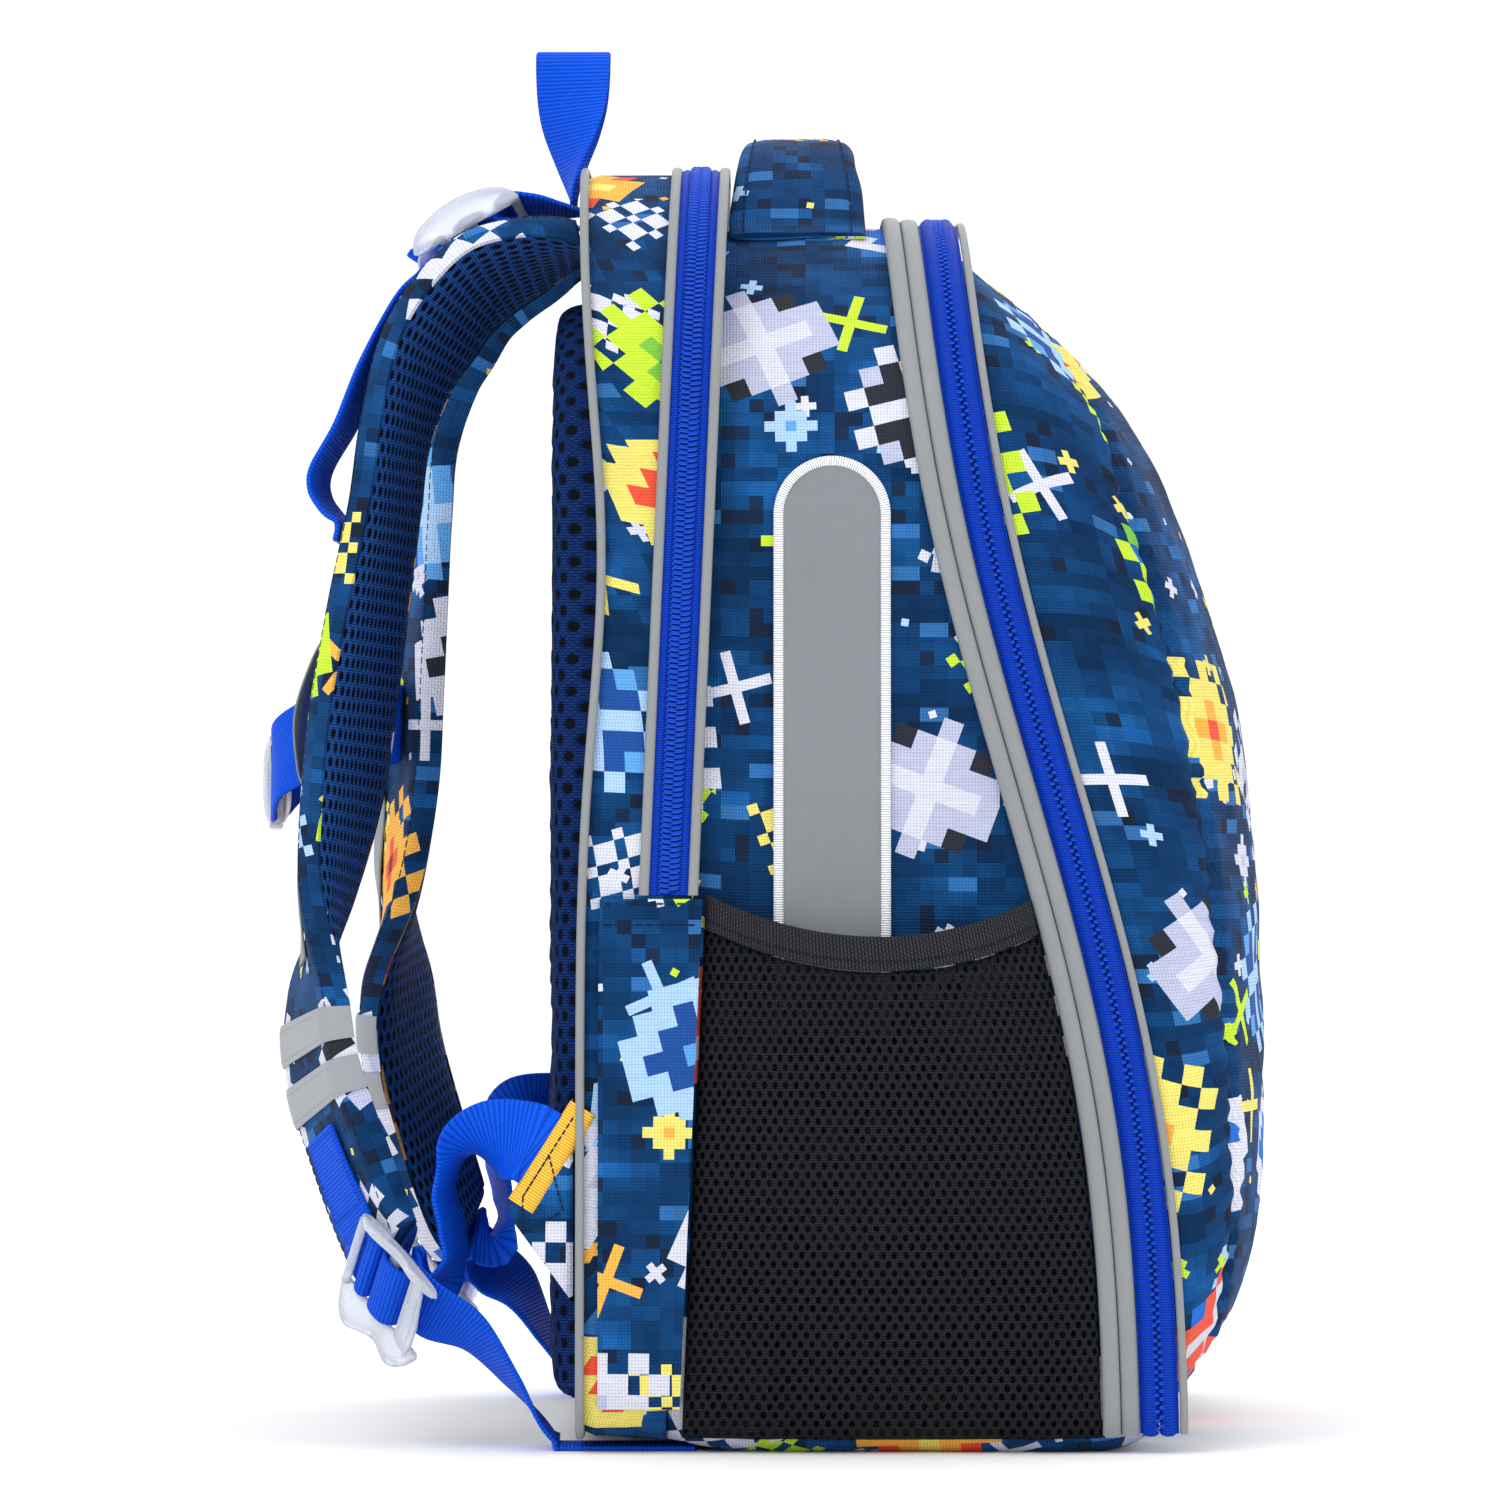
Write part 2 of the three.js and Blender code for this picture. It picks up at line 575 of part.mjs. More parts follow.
// The hang loop of webbing: both ends lie side by side in the top seam, and each leg makes a quarter turn
const LOOP_ROWS = [
  { rise: 0, out: 1, turn: 90, back: 0.3 },
  { rise: 0.1, out: 0.97, turn: 86, back: 0.32 },
  { rise: 0.3, out: 0.88, turn: 66, back: 0.36 },
  { rise: 0.5, out: 0.78, turn: 42, back: 0.36 },
  { rise: 0.7, out: 0.62, turn: 20, back: 0.34 },
  { rise: 0.9, out: 0.48, turn: 6, back: 0.32 },
  { rise: 0.98, out: 0.3, turn: 1, back: 0.31 },
];
const LOOP_SEAM_Z = BODY_HEIGHT - LOOP_SEAM_DROP;
const LOOP_LEAN = 8;

function hangLoop() {
  const leg = (side) => LOOP_ROWS.map((row) => {
    const turn = THREE.MathUtils.degToRad(row.turn);
    const y = side * row.out * LOOP_SPREAD;
    return {
      at: vector(BACK_X - WEBBING_THICKNESS - row.back * LOOP_LEAN, y, LOOP_SEAM_Z + row.rise * LOOP_RISE),
      across: vector(Math.cos(turn), side * Math.sin(turn), 0),
    };
  });
  const crown = {
    at: vector(BACK_X - WEBBING_THICKNESS - 0.3 * LOOP_LEAN, 0, LOOP_SEAM_Z + LOOP_RISE), across: vector(1, 0, 0),
  };
  piece("hang_loop", ribbon([...leg(LEFT), crown, ...leg(RIGHT).reverse()],
    WEBBING_WIDTH - 1, WEBBING_THICKNESS), WEBBING);
}

// The shoulder straps: reach is the share of STRAP_REACH behind the bag, height that of the body, roll is
// in degrees, and out goes from the root's distance from the middle to the end's
const STRAP_ROWS = [
  { reach: 0.012, height: 0.946, out: 0, roll: 3, lean: 0, width: 0.95 },
  { reach: 0.1, height: 0.943, out: 0.02, roll: 9, lean: 0.1, width: 0.97 },
  { reach: 0.21, height: 0.936, out: 0.04, roll: 15, lean: 0.2, width: 1 },
  { reach: 0.363, height: 0.922, out: 0.08, roll: 20, lean: 0.2, width: 1 },
  { reach: 0.477, height: 0.901, out: 0.12, roll: 20, lean: 0.2, width: 1 },
  { reach: 0.572, height: 0.873, out: 0.16, roll: 20, lean: 0.25, width: 1 },
  { reach: 0.649, height: 0.842, out: 0.2, roll: 17, lean: 0.3, width: 1 },
  { reach: 0.718, height: 0.79, out: 0.27, roll: 13, lean: 0.35, width: 1 },
  { reach: 0.752, height: 0.735, out: 0.34, roll: 13, lean: 0.4, width: 1 },
  { reach: 0.802, height: 0.671, out: 0.41, roll: 15, lean: 0.5, width: 1 },
  { reach: 0.859, height: 0.592, out: 0.48, roll: 17, lean: 0.62, width: 1 },
  { reach: 0.905, height: 0.513, out: 0.56, roll: 16, lean: 0.75, width: 1 },
  { reach: 0.963, height: 0.433, out: 0.65, roll: 8, lean: 0.9, width: 0.99 },
  { reach: 1, height: 0.354, out: 0.75, roll: -13, lean: 1, width: 0.97 },
  { reach: 0.973, height: 0.291, out: 0.84, roll: -20, lean: 0.97, width: 0.9 },
  { reach: 0.875, height: 0.227, out: 0.93, roll: -25, lean: 0.88, width: 0.78 },
  { reach: 0.76, height: 0.166, out: 1.03, roll: -30, lean: 0.78, width: 0.66 },
  { reach: 0.7, height: 0.145, out: 1.1, roll: -32, lean: 0.75, width: 0.6 },
];
const LAST_ROW = STRAP_ROWS.length - 1;
// The strap hangs square from its root and follows its own splay over its lower rows.
const SPLAY_START = 10;
const SPLAY_ROWS = 5;
const STRAP_LINE = STRAP_ROWS.map((row, index) => ({ ...row, index }));
const STRAP_COLUMNS = [-1, -0.84, 0, 0.84, 1];
const FACE_LOW = STRAP_PAD_THICKNESS * 0.3;
const FACE_HIGH = FACE_LOW + CLEAR + STRAP_FACE_THICKNESS;

function strapCentre(side, row) {
  const value = (column) => read(STRAP_LINE, "index", row, column);
  const lean = side === RIGHT ? value("lean") * RIGHT_STRAP_LEAN : 0;
  return vector(
    BACK_X - value("reach") * STRAP_REACH + lean,
    side * mix(STRAP_ROOT_OUT, STRAP_END_OUT, value("out")),
    value("height") * BODY_HEIGHT);
}

// The directions at a row of the strap: along it, across it to its outer edge, and out of its face.
function strapFrame(side, row) {
  const [before, after] = [Math.max(row - 0.5, 0), Math.min(row + 0.5, LAST_ROW)];
  const step = strapCentre(side, after).sub(strapCentre(side, before));
  const along = step.setY(step.y * THREE.MathUtils.clamp((row - SPLAY_START) / SPLAY_ROWS, 0, 1)).normalize();
  const away = vector(along.z, 0, -along.x).normalize();
  const roll = THREE.MathUtils.degToRad(read(STRAP_LINE, "index", row, "roll"));
  const rolled = moved(vector(0, side * Math.cos(roll), 0), [away, Math.sin(roll)]);
  const across = moved(rolled, [along, -rolled.dot(along)]).normalize();
  return { along, across, face: along.clone().cross(across).multiplyScalar(-side) };
}

function strapPoint(side, row, share, lift) {
  const frame = strapFrame(side, row);
  const half = (read(STRAP_LINE, "index", row, "width") * STRAP_WIDTH) / 2;
  return moved(strapCentre(side, row), [frame.across, share * half], [frame.face, lift]);
}

const strapAcross = (side, row, distance, lift) =>
  moved(strapCentre(side, row), [strapFrame(side, row).across, distance], [strapFrame(side, row).face, lift]);

function shoulderStrap(side, name) {
  const rows = STRAP_LINE.map((row) => row.index);
  const thinning = (c) => (Math.abs(c) === 1 ? 1 : 0);
  const surface = (edgeDrop) => (r, c, lift) => strapPoint(side, r, c, lift - Math.sign(lift) * edgeDrop(c, lift));
  const padDrop = (c, lift) => thinning(c) * (lift < 0 ? 3.2 : 1.4);
  const faceDrop = (c) => thinning(c) * 1.4;
  piece(`strap_pad_${name}`,
    layer(rows, STRAP_COLUMNS, surface(padDrop), FACE_LOW - STRAP_PAD_THICKNESS, FACE_LOW), SPACER_MESH);
  piece(`strap_face_${name}`,
    layer(rows, STRAP_COLUMNS, surface(faceDrop), FACE_LOW + CLEAR, FACE_HIGH), PRINT);
  const bar = (from, to) => layer([from, (from + to) / 2, to], [-0.97, -0.84, 0, 0.84, 0.97],
    surface((c) => (Math.abs(c) > 0.9 ? 1.1 : 0)), FACE_HIGH + CLEAR, FACE_HIGH + CLEAR + STRAP_BAR_THICKNESS);
  piece(`strap_bar_upper_${name}`, bar(13.31, 13.78), GREY);
  piece(`strap_bar_lower_${name}`, bar(14.02, 14.46), GREY);
  runner(side, name);
}

// The strip along the strap's face that the chest strap slides under
const CHEST_ROW = 10.35;
const RUNNER_ROWS = [
  { row: CHEST_ROW - 0.85, bulge: 0 },
  { row: CHEST_ROW - 0.55, bulge: 0.55 },
  { row: CHEST_ROW, bulge: 1 },
  { row: CHEST_ROW + 0.55, bulge: 0.55 },
  { row: CHEST_ROW + 0.85, bulge: 0 },
  { row: CHEST_ROW + 1.6, bulge: 0.06 },
  { row: CHEST_ROW + 2.4, bulge: 0.03 },
];

function runner(side, name) {
  const surface = (row, distance, lift) =>
    strapAcross(side, row.row, distance, FACE_HIGH + CLEAR + row.bulge * RUNNER_BULGE + lift);
  piece(`runner_${name}`, layer(RUNNER_ROWS, [RUNNER_INSET, RUNNER_INSET + RUNNER_WIDTH], surface, 0, RUNNER_THICKNESS), GREY);
}

// A ladder lock: a rounded plate with two slots
function ladderLock(centre, across, along) {
  const [w, l] = [LOCK_WIDTH / 2, LOCK_LENGTH / 2];
  const cut = 5;
  const plate = new THREE.Shape([
    [-w + cut, -l], [w - cut, -l], [w, -l + cut], [w * 0.92, l - cut], [w - 1.6 * cut, l],
    [-w + 1.6 * cut, l], [-w * 0.92, l - cut], [-w, -l + cut],
  ].map(([x, y]) => new THREE.Vector2(x, y)));
  const slot = (y) => new THREE.Path([
    [-0.4, -0.5], [-0.4, 0.5], [0.4, 0.5], [0.4, -0.5],
  ].map(([x, v]) => new THREE.Vector2(x * LOCK_WIDTH, y + v * LOCK_SLOT)));
  plate.holes.push(slot(-LOCK_LENGTH * 0.2), slot(LOCK_LENGTH * 0.14));
  const geometry = new THREE.ExtrudeGeometry(plate, { depth: LOCK_THICKNESS, bevelEnabled: false });
  geometry.translate(0, 0, -LOCK_THICKNESS / 2);
  const [x, z] = [across.clone().normalize(), across.clone().cross(along).normalize()];
  const y = z.clone().cross(x);
  const pose = new THREE.Matrix4().makeBasis(x, y, z).setPosition(centre);
  return geometry.applyMatrix4(pose);
}

const between = (start, end, share) => start.clone().lerp(end, share);

// A free length of webbing between two points; each row is a share of the way plus shares of its length.
function route(start, end, rows) {
  const length = start.distanceTo(end);
  const lowest = WEBBING_THICKNESS / 2 + 0.1;
  return rows.map((row) => {
    const at = moved(between(start, end, row.along),
      [vector(-1, 0, 0), (row.back ?? 0) * length], [vector(0, 0, 1), (row.rise ?? 0) * length]);
    return at.setZ(Math.max(at.z, lowest));
  });
}

// Directions that turn evenly from one to another along a strip.
const turning = (points, first, last, by = 1) => points.map((at, i) => ({
  at, across: between(first, last, Math.min(i / (points.length - 1) / by, 1)).normalize(),
}));

// The wing tab in the back seam, its free edge where the webbing leaves it
function wingTab(side, name) {
  const y = halfWidthAt(REAR, WING_MIDDLE) - 2;
  const x = BACK_X - 2 * CLEAR - PIPING_RADIUS / 2;
  const [top, foot] = [WING_MIDDLE + WING_LENGTH / 2, WING_MIDDLE - WING_LENGTH / 2];
  const grid = (lift) => [
    [vector(x, side * (y + lift), top), vector(x - WING_DEPTH, side * (y + lift), WING_MIDDLE)],
    [vector(x, side * (y + lift), foot), vector(x - WING_DEPTH * 0.94, side * (y + lift), WING_MIDDLE - 6)],
  ];
  piece(`wing_tab_${name}`, slab(grid(WING_THICKNESS / 2), grid(-WING_THICKNESS / 2)), PRINT);
  const middle = vector(x - WING_DEPTH / 2, side * y, WING_MIDDLE + WING_LENGTH / 4);
  const edge = vector(-WING_DEPTH, 0, -WING_LENGTH / 2).normalize();
  const away = vector(edge.z, 0, -edge.x);
  return { start: moved(middle, [away, CLEAR]), edge, away };
}

// Turn is 0 along the wing's edge, 1 level and 2 along the lock.
const ADJUSTER_ROWS = [
  { along: 0.25, back: 0.07, rise: 0.2, turn: 0.3 },
  { along: 0.45, back: 0.11, rise: 0.265, turn: 0.6 },
  { along: 0.58, back: 0.1, rise: 0.157, turn: 0.85 },
  { along: 0.68, back: 0, rise: 0.04, turn: 1 },
  { along: 0.77, back: -0.07, rise: -0.05, turn: 1.25 },
  { along: 0.9, back: -0.07, rise: -0.1, turn: 1.7 },
  { along: 1, back: 0, rise: 0, turn: 2 },
];
const TAIL_ROWS = [
  { along: 0, rise: 0 },
  { along: 0.317, rise: 0.095 },
  { along: 0.602, rise: 0.054 },
  { along: 0.8, rise: 0 },
  { along: 0.93, rise: -0.02 },
  { along: 1, rise: 0 },
];

function lowerAdjuster(side, name) {
  const frame = strapFrame(side, LAST_ROW);
  const along = moved(frame.along, [vector(0.1, 0, 0.07), 1]).normalize();
  const across = moved(frame.across, [vector(0, 0, 1), 0.09]).normalize();
  const lockCentre = moved(strapCentre(side, LAST_ROW), [frame.face, FACE_HIGH + 2.7], [along, 9]);
  piece(`ladder_lock_${name}`, ladderLock(lockCentre, across, along), CLEAR_PLASTIC);
  const patch = (row, distance, lift) => strapAcross(side, row, distance, FACE_HIGH + 3 * CLEAR + lift);
  piece(`strap_end_webbing_${name}`,
    layer([14.7, 15, 15.35, 15.7], [-WEBBING_WIDTH / 2, WEBBING_WIDTH / 2], patch, 0, WEBBING_THICKNESS),
    WEBBING);
  const { start, edge, away: leaving } = wingTab(side, name);
  const lockFace = across.clone().cross(along).multiplyScalar(side).normalize();
  const lockEnd = moved(lockCentre, [along, -LOCK_LENGTH * 0.05], [lockFace, -9.8]);
  const level = vector(0.3, -side, 0);
  const free = route(start, lockEnd, ADJUSTER_ROWS).map((at, i) => {
    const { turn } = ADJUSTER_ROWS[i];
    const lockSide = across.clone().negate();
    return { at, across: turn < 1 ? between(edge, level, turn) : between(level, lockSide, turn - 1) };
  });
  const adjuster = [{ at: start, across: edge }, { at: moved(start, [leaving, 4]), across: edge }, ...free];
  piece(`adjuster_webbing_${name}`, ribbon(adjuster, WEBBING_WIDTH, WEBBING_THICKNESS), WEBBING);
  const tailStart = moved(lockCentre, [along, LOCK_LENGTH * 0.37], [lockFace, -6]);
  const floor = WEBBING_THICKNESS / 2 + 0.1;
  const touchDown = vector(BACK_X - 4, side * (STRAP_END_OUT + 12), floor);
  const tail = [...route(tailStart, touchDown, TAIL_ROWS), touchDown.clone().setX(BACK_X + 36)];
  piece(`tail_webbing_${name}`,
    ribbon(turning(tail, across, vector(0, side, 0), 0.5), WEBBING_WIDTH, WEBBING_THICKNESS), WEBBING);
}

// The load lifter: webbing from the top seam through a lock above the strap, and its tail sewn down lower
const LIFTER_ROWS = [
  { row: 3.9, share: 0.1, lift: 8.6 },
  { row: 4.4, share: 0.2, lift: 8 },
  { row: 5, share: 0.3, lift: 8 },
  { row: 6.2, share: 0.45, lift: 8.5 },
  { row: 7, share: 0.5, lift: 12 },
  { row: 7.6, share: 0.5, lift: 17.5 },
  { row: 7.95, share: 0.5, lift: 17 },
  { row: 8.2, share: 0.5, lift: 12 },
  { row: 8.35, share: 0.5, lift: 6.6 },
  { row: 8.6, share: 0.5, lift: 6.1 },
];

function loadLifter(side, name) {
  const [row, lift] = [2.9, 11.5];
  const frame = strapFrame(side, row);
  const centre = strapPoint(side, row, 0, lift);
  piece(`lifter_lock_${name}`, ladderLock(centre, frame.across, frame.along), CLEAR_PLASTIC);
  const y = centre.y;
  const seam = vector(BACK_X - CLEAR / 2, y, BODY_HEIGHT * 0.97);
  const rear = moved(centre, [frame.along, -LOCK_LENGTH / 2 - 2.6]);
  piece(`lifter_webbing_${name}`, ribbon(turning([seam, between(seam, rear, 0.5), rear],
    vector(0, side, 0), frame.across), WEBBING_WIDTH, WEBBING_THICKNESS), WEBBING);
  const tail = LIFTER_ROWS.map((at) => ({
    at: strapPoint(side, at.row, at.share, at.lift),
    across: strapFrame(side, at.row).across,
  }));
  piece(`lifter_tail_${name}`, ribbon(tail, WEBBING_WIDTH, WEBBING_THICKNESS), WEBBING);
}

// The fastened chest strap: a buckle in the middle and webbing from it to each runner
const CHEST_ROWS = [
  { along: 0.3, back: 0.14 },
  { along: 0.62, back: 0.16 },
  { along: 1, back: 0 },
];

function chestStrap() {
  const middle = vector(BACK_X - 1.2 * STRAP_REACH, 0, strapCentre(LEFT, CHEST_ROW).z - CHEST_SAG);
  const ends = [LEFT, RIGHT].map((side) => {
    const frame = strapFrame(side, CHEST_ROW);
    const onStrap = [14, 0, -20].map((distance, i) =>
      strapAcross(side, CHEST_ROW, distance, FACE_HIGH + 4 * CLEAR + WEBBING_THICKNESS / 2 + i * 0.8));
    const end = moved(middle, [vector(0, side, 0), BUCKLE_LENGTH / 2 + CLEAR]);
    const before = moved(end, [vector(0, side, 0), 5]);
    const free = route(onStrap[2], before, CHEST_ROWS);
    const rows = turning([...onStrap, ...free, end], frame.along, vector(0, 0, -1));
    return ribbon(rows, WEBBING_WIDTH, WEBBING_THICKNESS);
  });
  piece("chest_webbing_left", ends[0], WEBBING);
  piece("chest_webbing_right", ends[1], WEBBING);
  const section = [[0, 0.62, 0.6], [0.1, 0.9, 0.85], [0.28, 1, 1], [0.72, 1, 1], [0.9, 0.9, 0.85],
    [1, 0.62, 0.6]];
  const rings = section.map(([along, width, thickness]) => {
    const [w, t] = [(width * BUCKLE_WIDTH) / 2, (thickness * BUCKLE_THICKNESS) / 2];
    const corner = [[-0.5, -1], [0.5, -1], [1, -0.75], [1, 0.75], [0.5, 1], [-0.5, 1], [-1, 0.75],
      [-1, -0.75]];
    return corner.map(([x, z]) =>
      moved(middle, [vector(1, 0, 0), x * t], [vector(0, 0, 1), z * w],
        [vector(0, 1, 0), (along - 0.5) * BUCKLE_LENGTH]));
  });
  piece("chest_buckle", skin(rings), CLEAR_PLASTIC);
}

// Plain zip sliders with their pullers, on the right side
function zipSlider(name, o, xOf, z, lift) {
  const rows = [
    [0, SLIDER_WIDTH, SLIDER_HEIGHT],
    [SLIDER_LENGTH, SLIDER_WIDTH * 0.9, SLIDER_HEIGHT],
    [SLIDER_LENGTH + PULLER_THICKNESS, PULLER_WIDTH, PULLER_THICKNESS],
    [SLIDER_LENGTH + PULLER_LENGTH * 0.4, PULLER_WIDTH, PULLER_THICKNESS],
    [SLIDER_LENGTH + PULLER_LENGTH, PULLER_END_WIDTH, PULLER_THICKNESS],
  ];
  const line = rows.map(([down, width, thickness]) => ({
    at: vector(xOf(z - down), halfWidthAt(o, z - down) + lift + SLIDER_HEIGHT / 2, z - down),
    across: vector(1, 0, 0),
    width,
    thickness,
  }));
  piece(name, ribbon(line, 0, 0), GREY);
}

piece("rear_shell", rearShell(), PRINT);
piece("middle_shell", middleShell(), PRINT);
piece("front_shell", frontShell(), PRINT);
piece("back_pad", backPad(), SPACER_MESH);
zipsAndPiping();
grabHandle();
hangLoop();
for (const [side, name] of [[LEFT, "left"], [RIGHT, "right"]]) {
  sidePanel(side, name);
  reflector(side, name);
  pocket(side, name);
  shoulderStrap(side, name);
  lowerAdjuster(side, name);
  loadLifter(side, name);
}
chestStrap();
zipSlider("rear_zip_slider", REAR, rearZipLine, REAR_SLIDER_Z, CLEAR + ZIP_COIL_HEIGHT + CLEAR);
zipSlider("front_zip_slider", MIDDLE, frontZipLine, FRONT_SLIDER_Z, ZIP_LIFT + ZIP_COIL_HEIGHT + CLEAR);

export default bag;
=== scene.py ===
"""A school backpack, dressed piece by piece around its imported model, with its studio."""
import logging
import math
from collections.abc import Callable, Sequence
from dataclasses import dataclass, field, replace
from enum import Enum
from typing import ClassVar

import bmesh
import bpy
import numpy as np
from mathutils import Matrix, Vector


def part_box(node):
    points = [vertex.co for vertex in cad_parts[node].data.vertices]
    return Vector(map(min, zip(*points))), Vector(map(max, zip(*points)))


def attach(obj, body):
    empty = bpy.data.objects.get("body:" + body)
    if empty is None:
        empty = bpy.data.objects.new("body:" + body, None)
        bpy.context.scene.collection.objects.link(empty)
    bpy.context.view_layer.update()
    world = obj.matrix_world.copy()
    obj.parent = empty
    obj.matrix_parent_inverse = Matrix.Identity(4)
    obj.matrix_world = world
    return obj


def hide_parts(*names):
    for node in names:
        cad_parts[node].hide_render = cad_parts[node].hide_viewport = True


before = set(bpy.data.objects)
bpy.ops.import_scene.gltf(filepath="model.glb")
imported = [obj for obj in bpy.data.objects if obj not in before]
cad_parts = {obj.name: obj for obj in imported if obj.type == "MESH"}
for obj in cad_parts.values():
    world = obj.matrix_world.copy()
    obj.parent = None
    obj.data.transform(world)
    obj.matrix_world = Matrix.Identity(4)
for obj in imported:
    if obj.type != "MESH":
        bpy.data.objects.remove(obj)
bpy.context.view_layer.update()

MM = 0.001
BODY = "root"
CLOTH_MAP = "cloth"
log = logging.getLogger("backpack")

Array = np.ndarray
Socket = bpy.types.NodeSocket
Table = tuple[tuple[float, ...], ...]
Piece = bpy.types.Object
Node = bpy.types.Node
Tree = bpy.types.NodeTree
Sockets = dict[str, Socket]


class Side(Enum):
    """The wearer's two sides: left lies at -Y."""

    LEFT = -1
    RIGHT = 1

    @property
    def word(self) -> str:
        """The side's name as the nodes spell it."""
        return self.name.lower()


def box_mm(node: str) -> tuple[Array, Array]:
    """A node's lowest and highest corners in millimetres."""
    low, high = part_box(node)
    return np.array(low) / MM, np.array(high) / MM


REAR_LOW, REAR_HIGH = box_mm("rear_shell")
BODY_HEIGHT = float(REAR_HIGH[2])
BODY_WIDTH = float(REAR_HIGH[1] - REAR_LOW[1])
BACK_X = float(REAR_LOW[0])
CLEAR = 0.3
BODY_DEPTH = float(box_mm("front_shell")[1][0]) - CLEAR - BACK_X


def unit(vectors: Array) -> Array:
    """The vectors at length one."""
    return vectors / np.maximum(np.linalg.norm(vectors, axis=-1, keepdims=True), 1e-9)


def mix(a: float | Array, b: float | Array, share: float | Array) -> float | Array:
    """The value that lies a share of the way from a to b."""
    return a + (b - a) * share


def vector(x: float, y: float, z: float) -> Array:
    """A point or direction."""
    return np.array([x, y, z], float)


def turns(count: int) -> Array:
    """Even angles all the way round."""
    return np.linspace(0, 2 * np.pi, count + 1)[:-1]


def squared(wave: Array, power: float) -> Array:
    """A sine or cosine with fuller crests; a lower power makes them squarer."""
    return np.sign(wave) * np.abs(wave) ** power


def catmull(rows: Array, at: Array) -> Array:
    """Reads a table smoothly between its rows.

    Args:
        rows: One row for each station.
        at: Row numbers, whole or broken.

    Returns:
        One row for each number in at.
    """
    last = len(rows) - 1
    at = np.clip(at, 0, last)
    index = np.minimum(at.astype(int), last - 1)
    t = (at - index)[:, None]
    a, b, c, d = (rows[np.clip(index + step, 0, last)] for step in (-1, 0, 1, 2))
    return 0.5 * (2 * b + (c - a) * t + (2 * a - 5 * b + 4 * c - d) * t**2
                  + (3 * b - a - 3 * c + d) * t**3)


def ripple(u: Array, v: Array, size: float, seed: int) -> Array:
    """Smooth noise between -1 and 1.

    Args:
        u: First coordinate in millimetres.
        v: Second coordinate in millimetres.
        size: The distance over which the noise changes.
        seed: Picks one field of noise.

    Returns:
        The noise at each pair of coordinates.
    """
    table = np.random.default_rng(seed).uniform(-1, 1, (64, 64))
    x, y = u / size, v / size
    i, j = np.floor(x).astype(int), np.floor(y).astype(int)
    fx, fy = x - i, y - j
    fx, fy = fx * fx * (3 - 2 * fx), fy * fy * (3 - 2 * fy)
    corner = lambda a, b: table[(i + a) % 64, (j + b) % 64]
    low = mix(corner(0, 0), corner(1, 0), fx)
    high = mix(corner(0, 1), corner(1, 1), fx)
    return mix(low, high, fy)


def lengths(points: Array) -> Array:
    """The distance along a line of points, from its first."""
    steps = np.linalg.norm(np.diff(points, axis=0), axis=-1)
    return np.concatenate([[0.0], np.cumsum(steps)])


def column_lengths(points: Array) -> Array:
    """The distance down each column of a grid of points, from its first row."""
    steps = np.linalg.norm(np.diff(points, axis=0), axis=-1)
    return np.cumsum(np.concatenate([np.zeros((1, points.shape[1])), steps]), 0)


def normals(points: Array, wrap: bool = False) -> Array:
    """The normals of a grid of points.

    Args:
        points: Rows by columns by three.
        wrap: Whether the last column lies on the first.

    Returns:
        A unit normal for each point.
    """
    down = np.gradient(points, axis=0)
    if wrap:
        ring = points[:, :-1]
        along = (np.roll(ring, -1, 1) - np.roll(ring, 1, 1)) / 2
        along = np.concatenate([along, along[:, :1]], 1)
    else:
        along = np.gradient(points, axis=1)
    return unit(np.cross(down, along))


@dataclass(frozen=True)
class Bead:
    """A small closed shape that is scattered many times, such as a stitch or a zip tooth."""

    length: float
    radius: float
    flat: float = 0.7
    dip: float = 0.25
    sides: int = 5

    def mesh(self) -> tuple[Array, Array, Array]:
        """Works out its points, four-cornered faces and three-cornered faces.

        Returns:
            Points as [along, across, out], quads and triangles.
        """
        stations = [(-0.5, 0.35, -self.dip), (-0.34, 1, 0), (0.34, 1, 0), (0.5, 0.35, -self.dip)]
        angles = np.arange(self.sides) / self.sides * 2 * np.pi
        points = [[share * self.length, size * self.radius * math.cos(a),
                   (size * self.flat * math.sin(a) + drop) * self.radius]
                  for share, size, drop in stations for a in angles]
        quads = [(r * self.sides + i, r * self.sides + (i + 1) % self.sides,
                  (r + 1) * self.sides + (i + 1) % self.sides, (r + 1) * self.sides + i)
                 for r in range(3) for i in range(self.sides)]
        tris = []
        for start, turn in ((0, True), (3 * self.sides, False)):
            for i in range(1, self.sides - 1):
                a, b = start + i, start + i + 1
                tris.append((start, b, a) if turn else (start, a, b))
        return np.array(points), np.array(quads), np.array(tris)


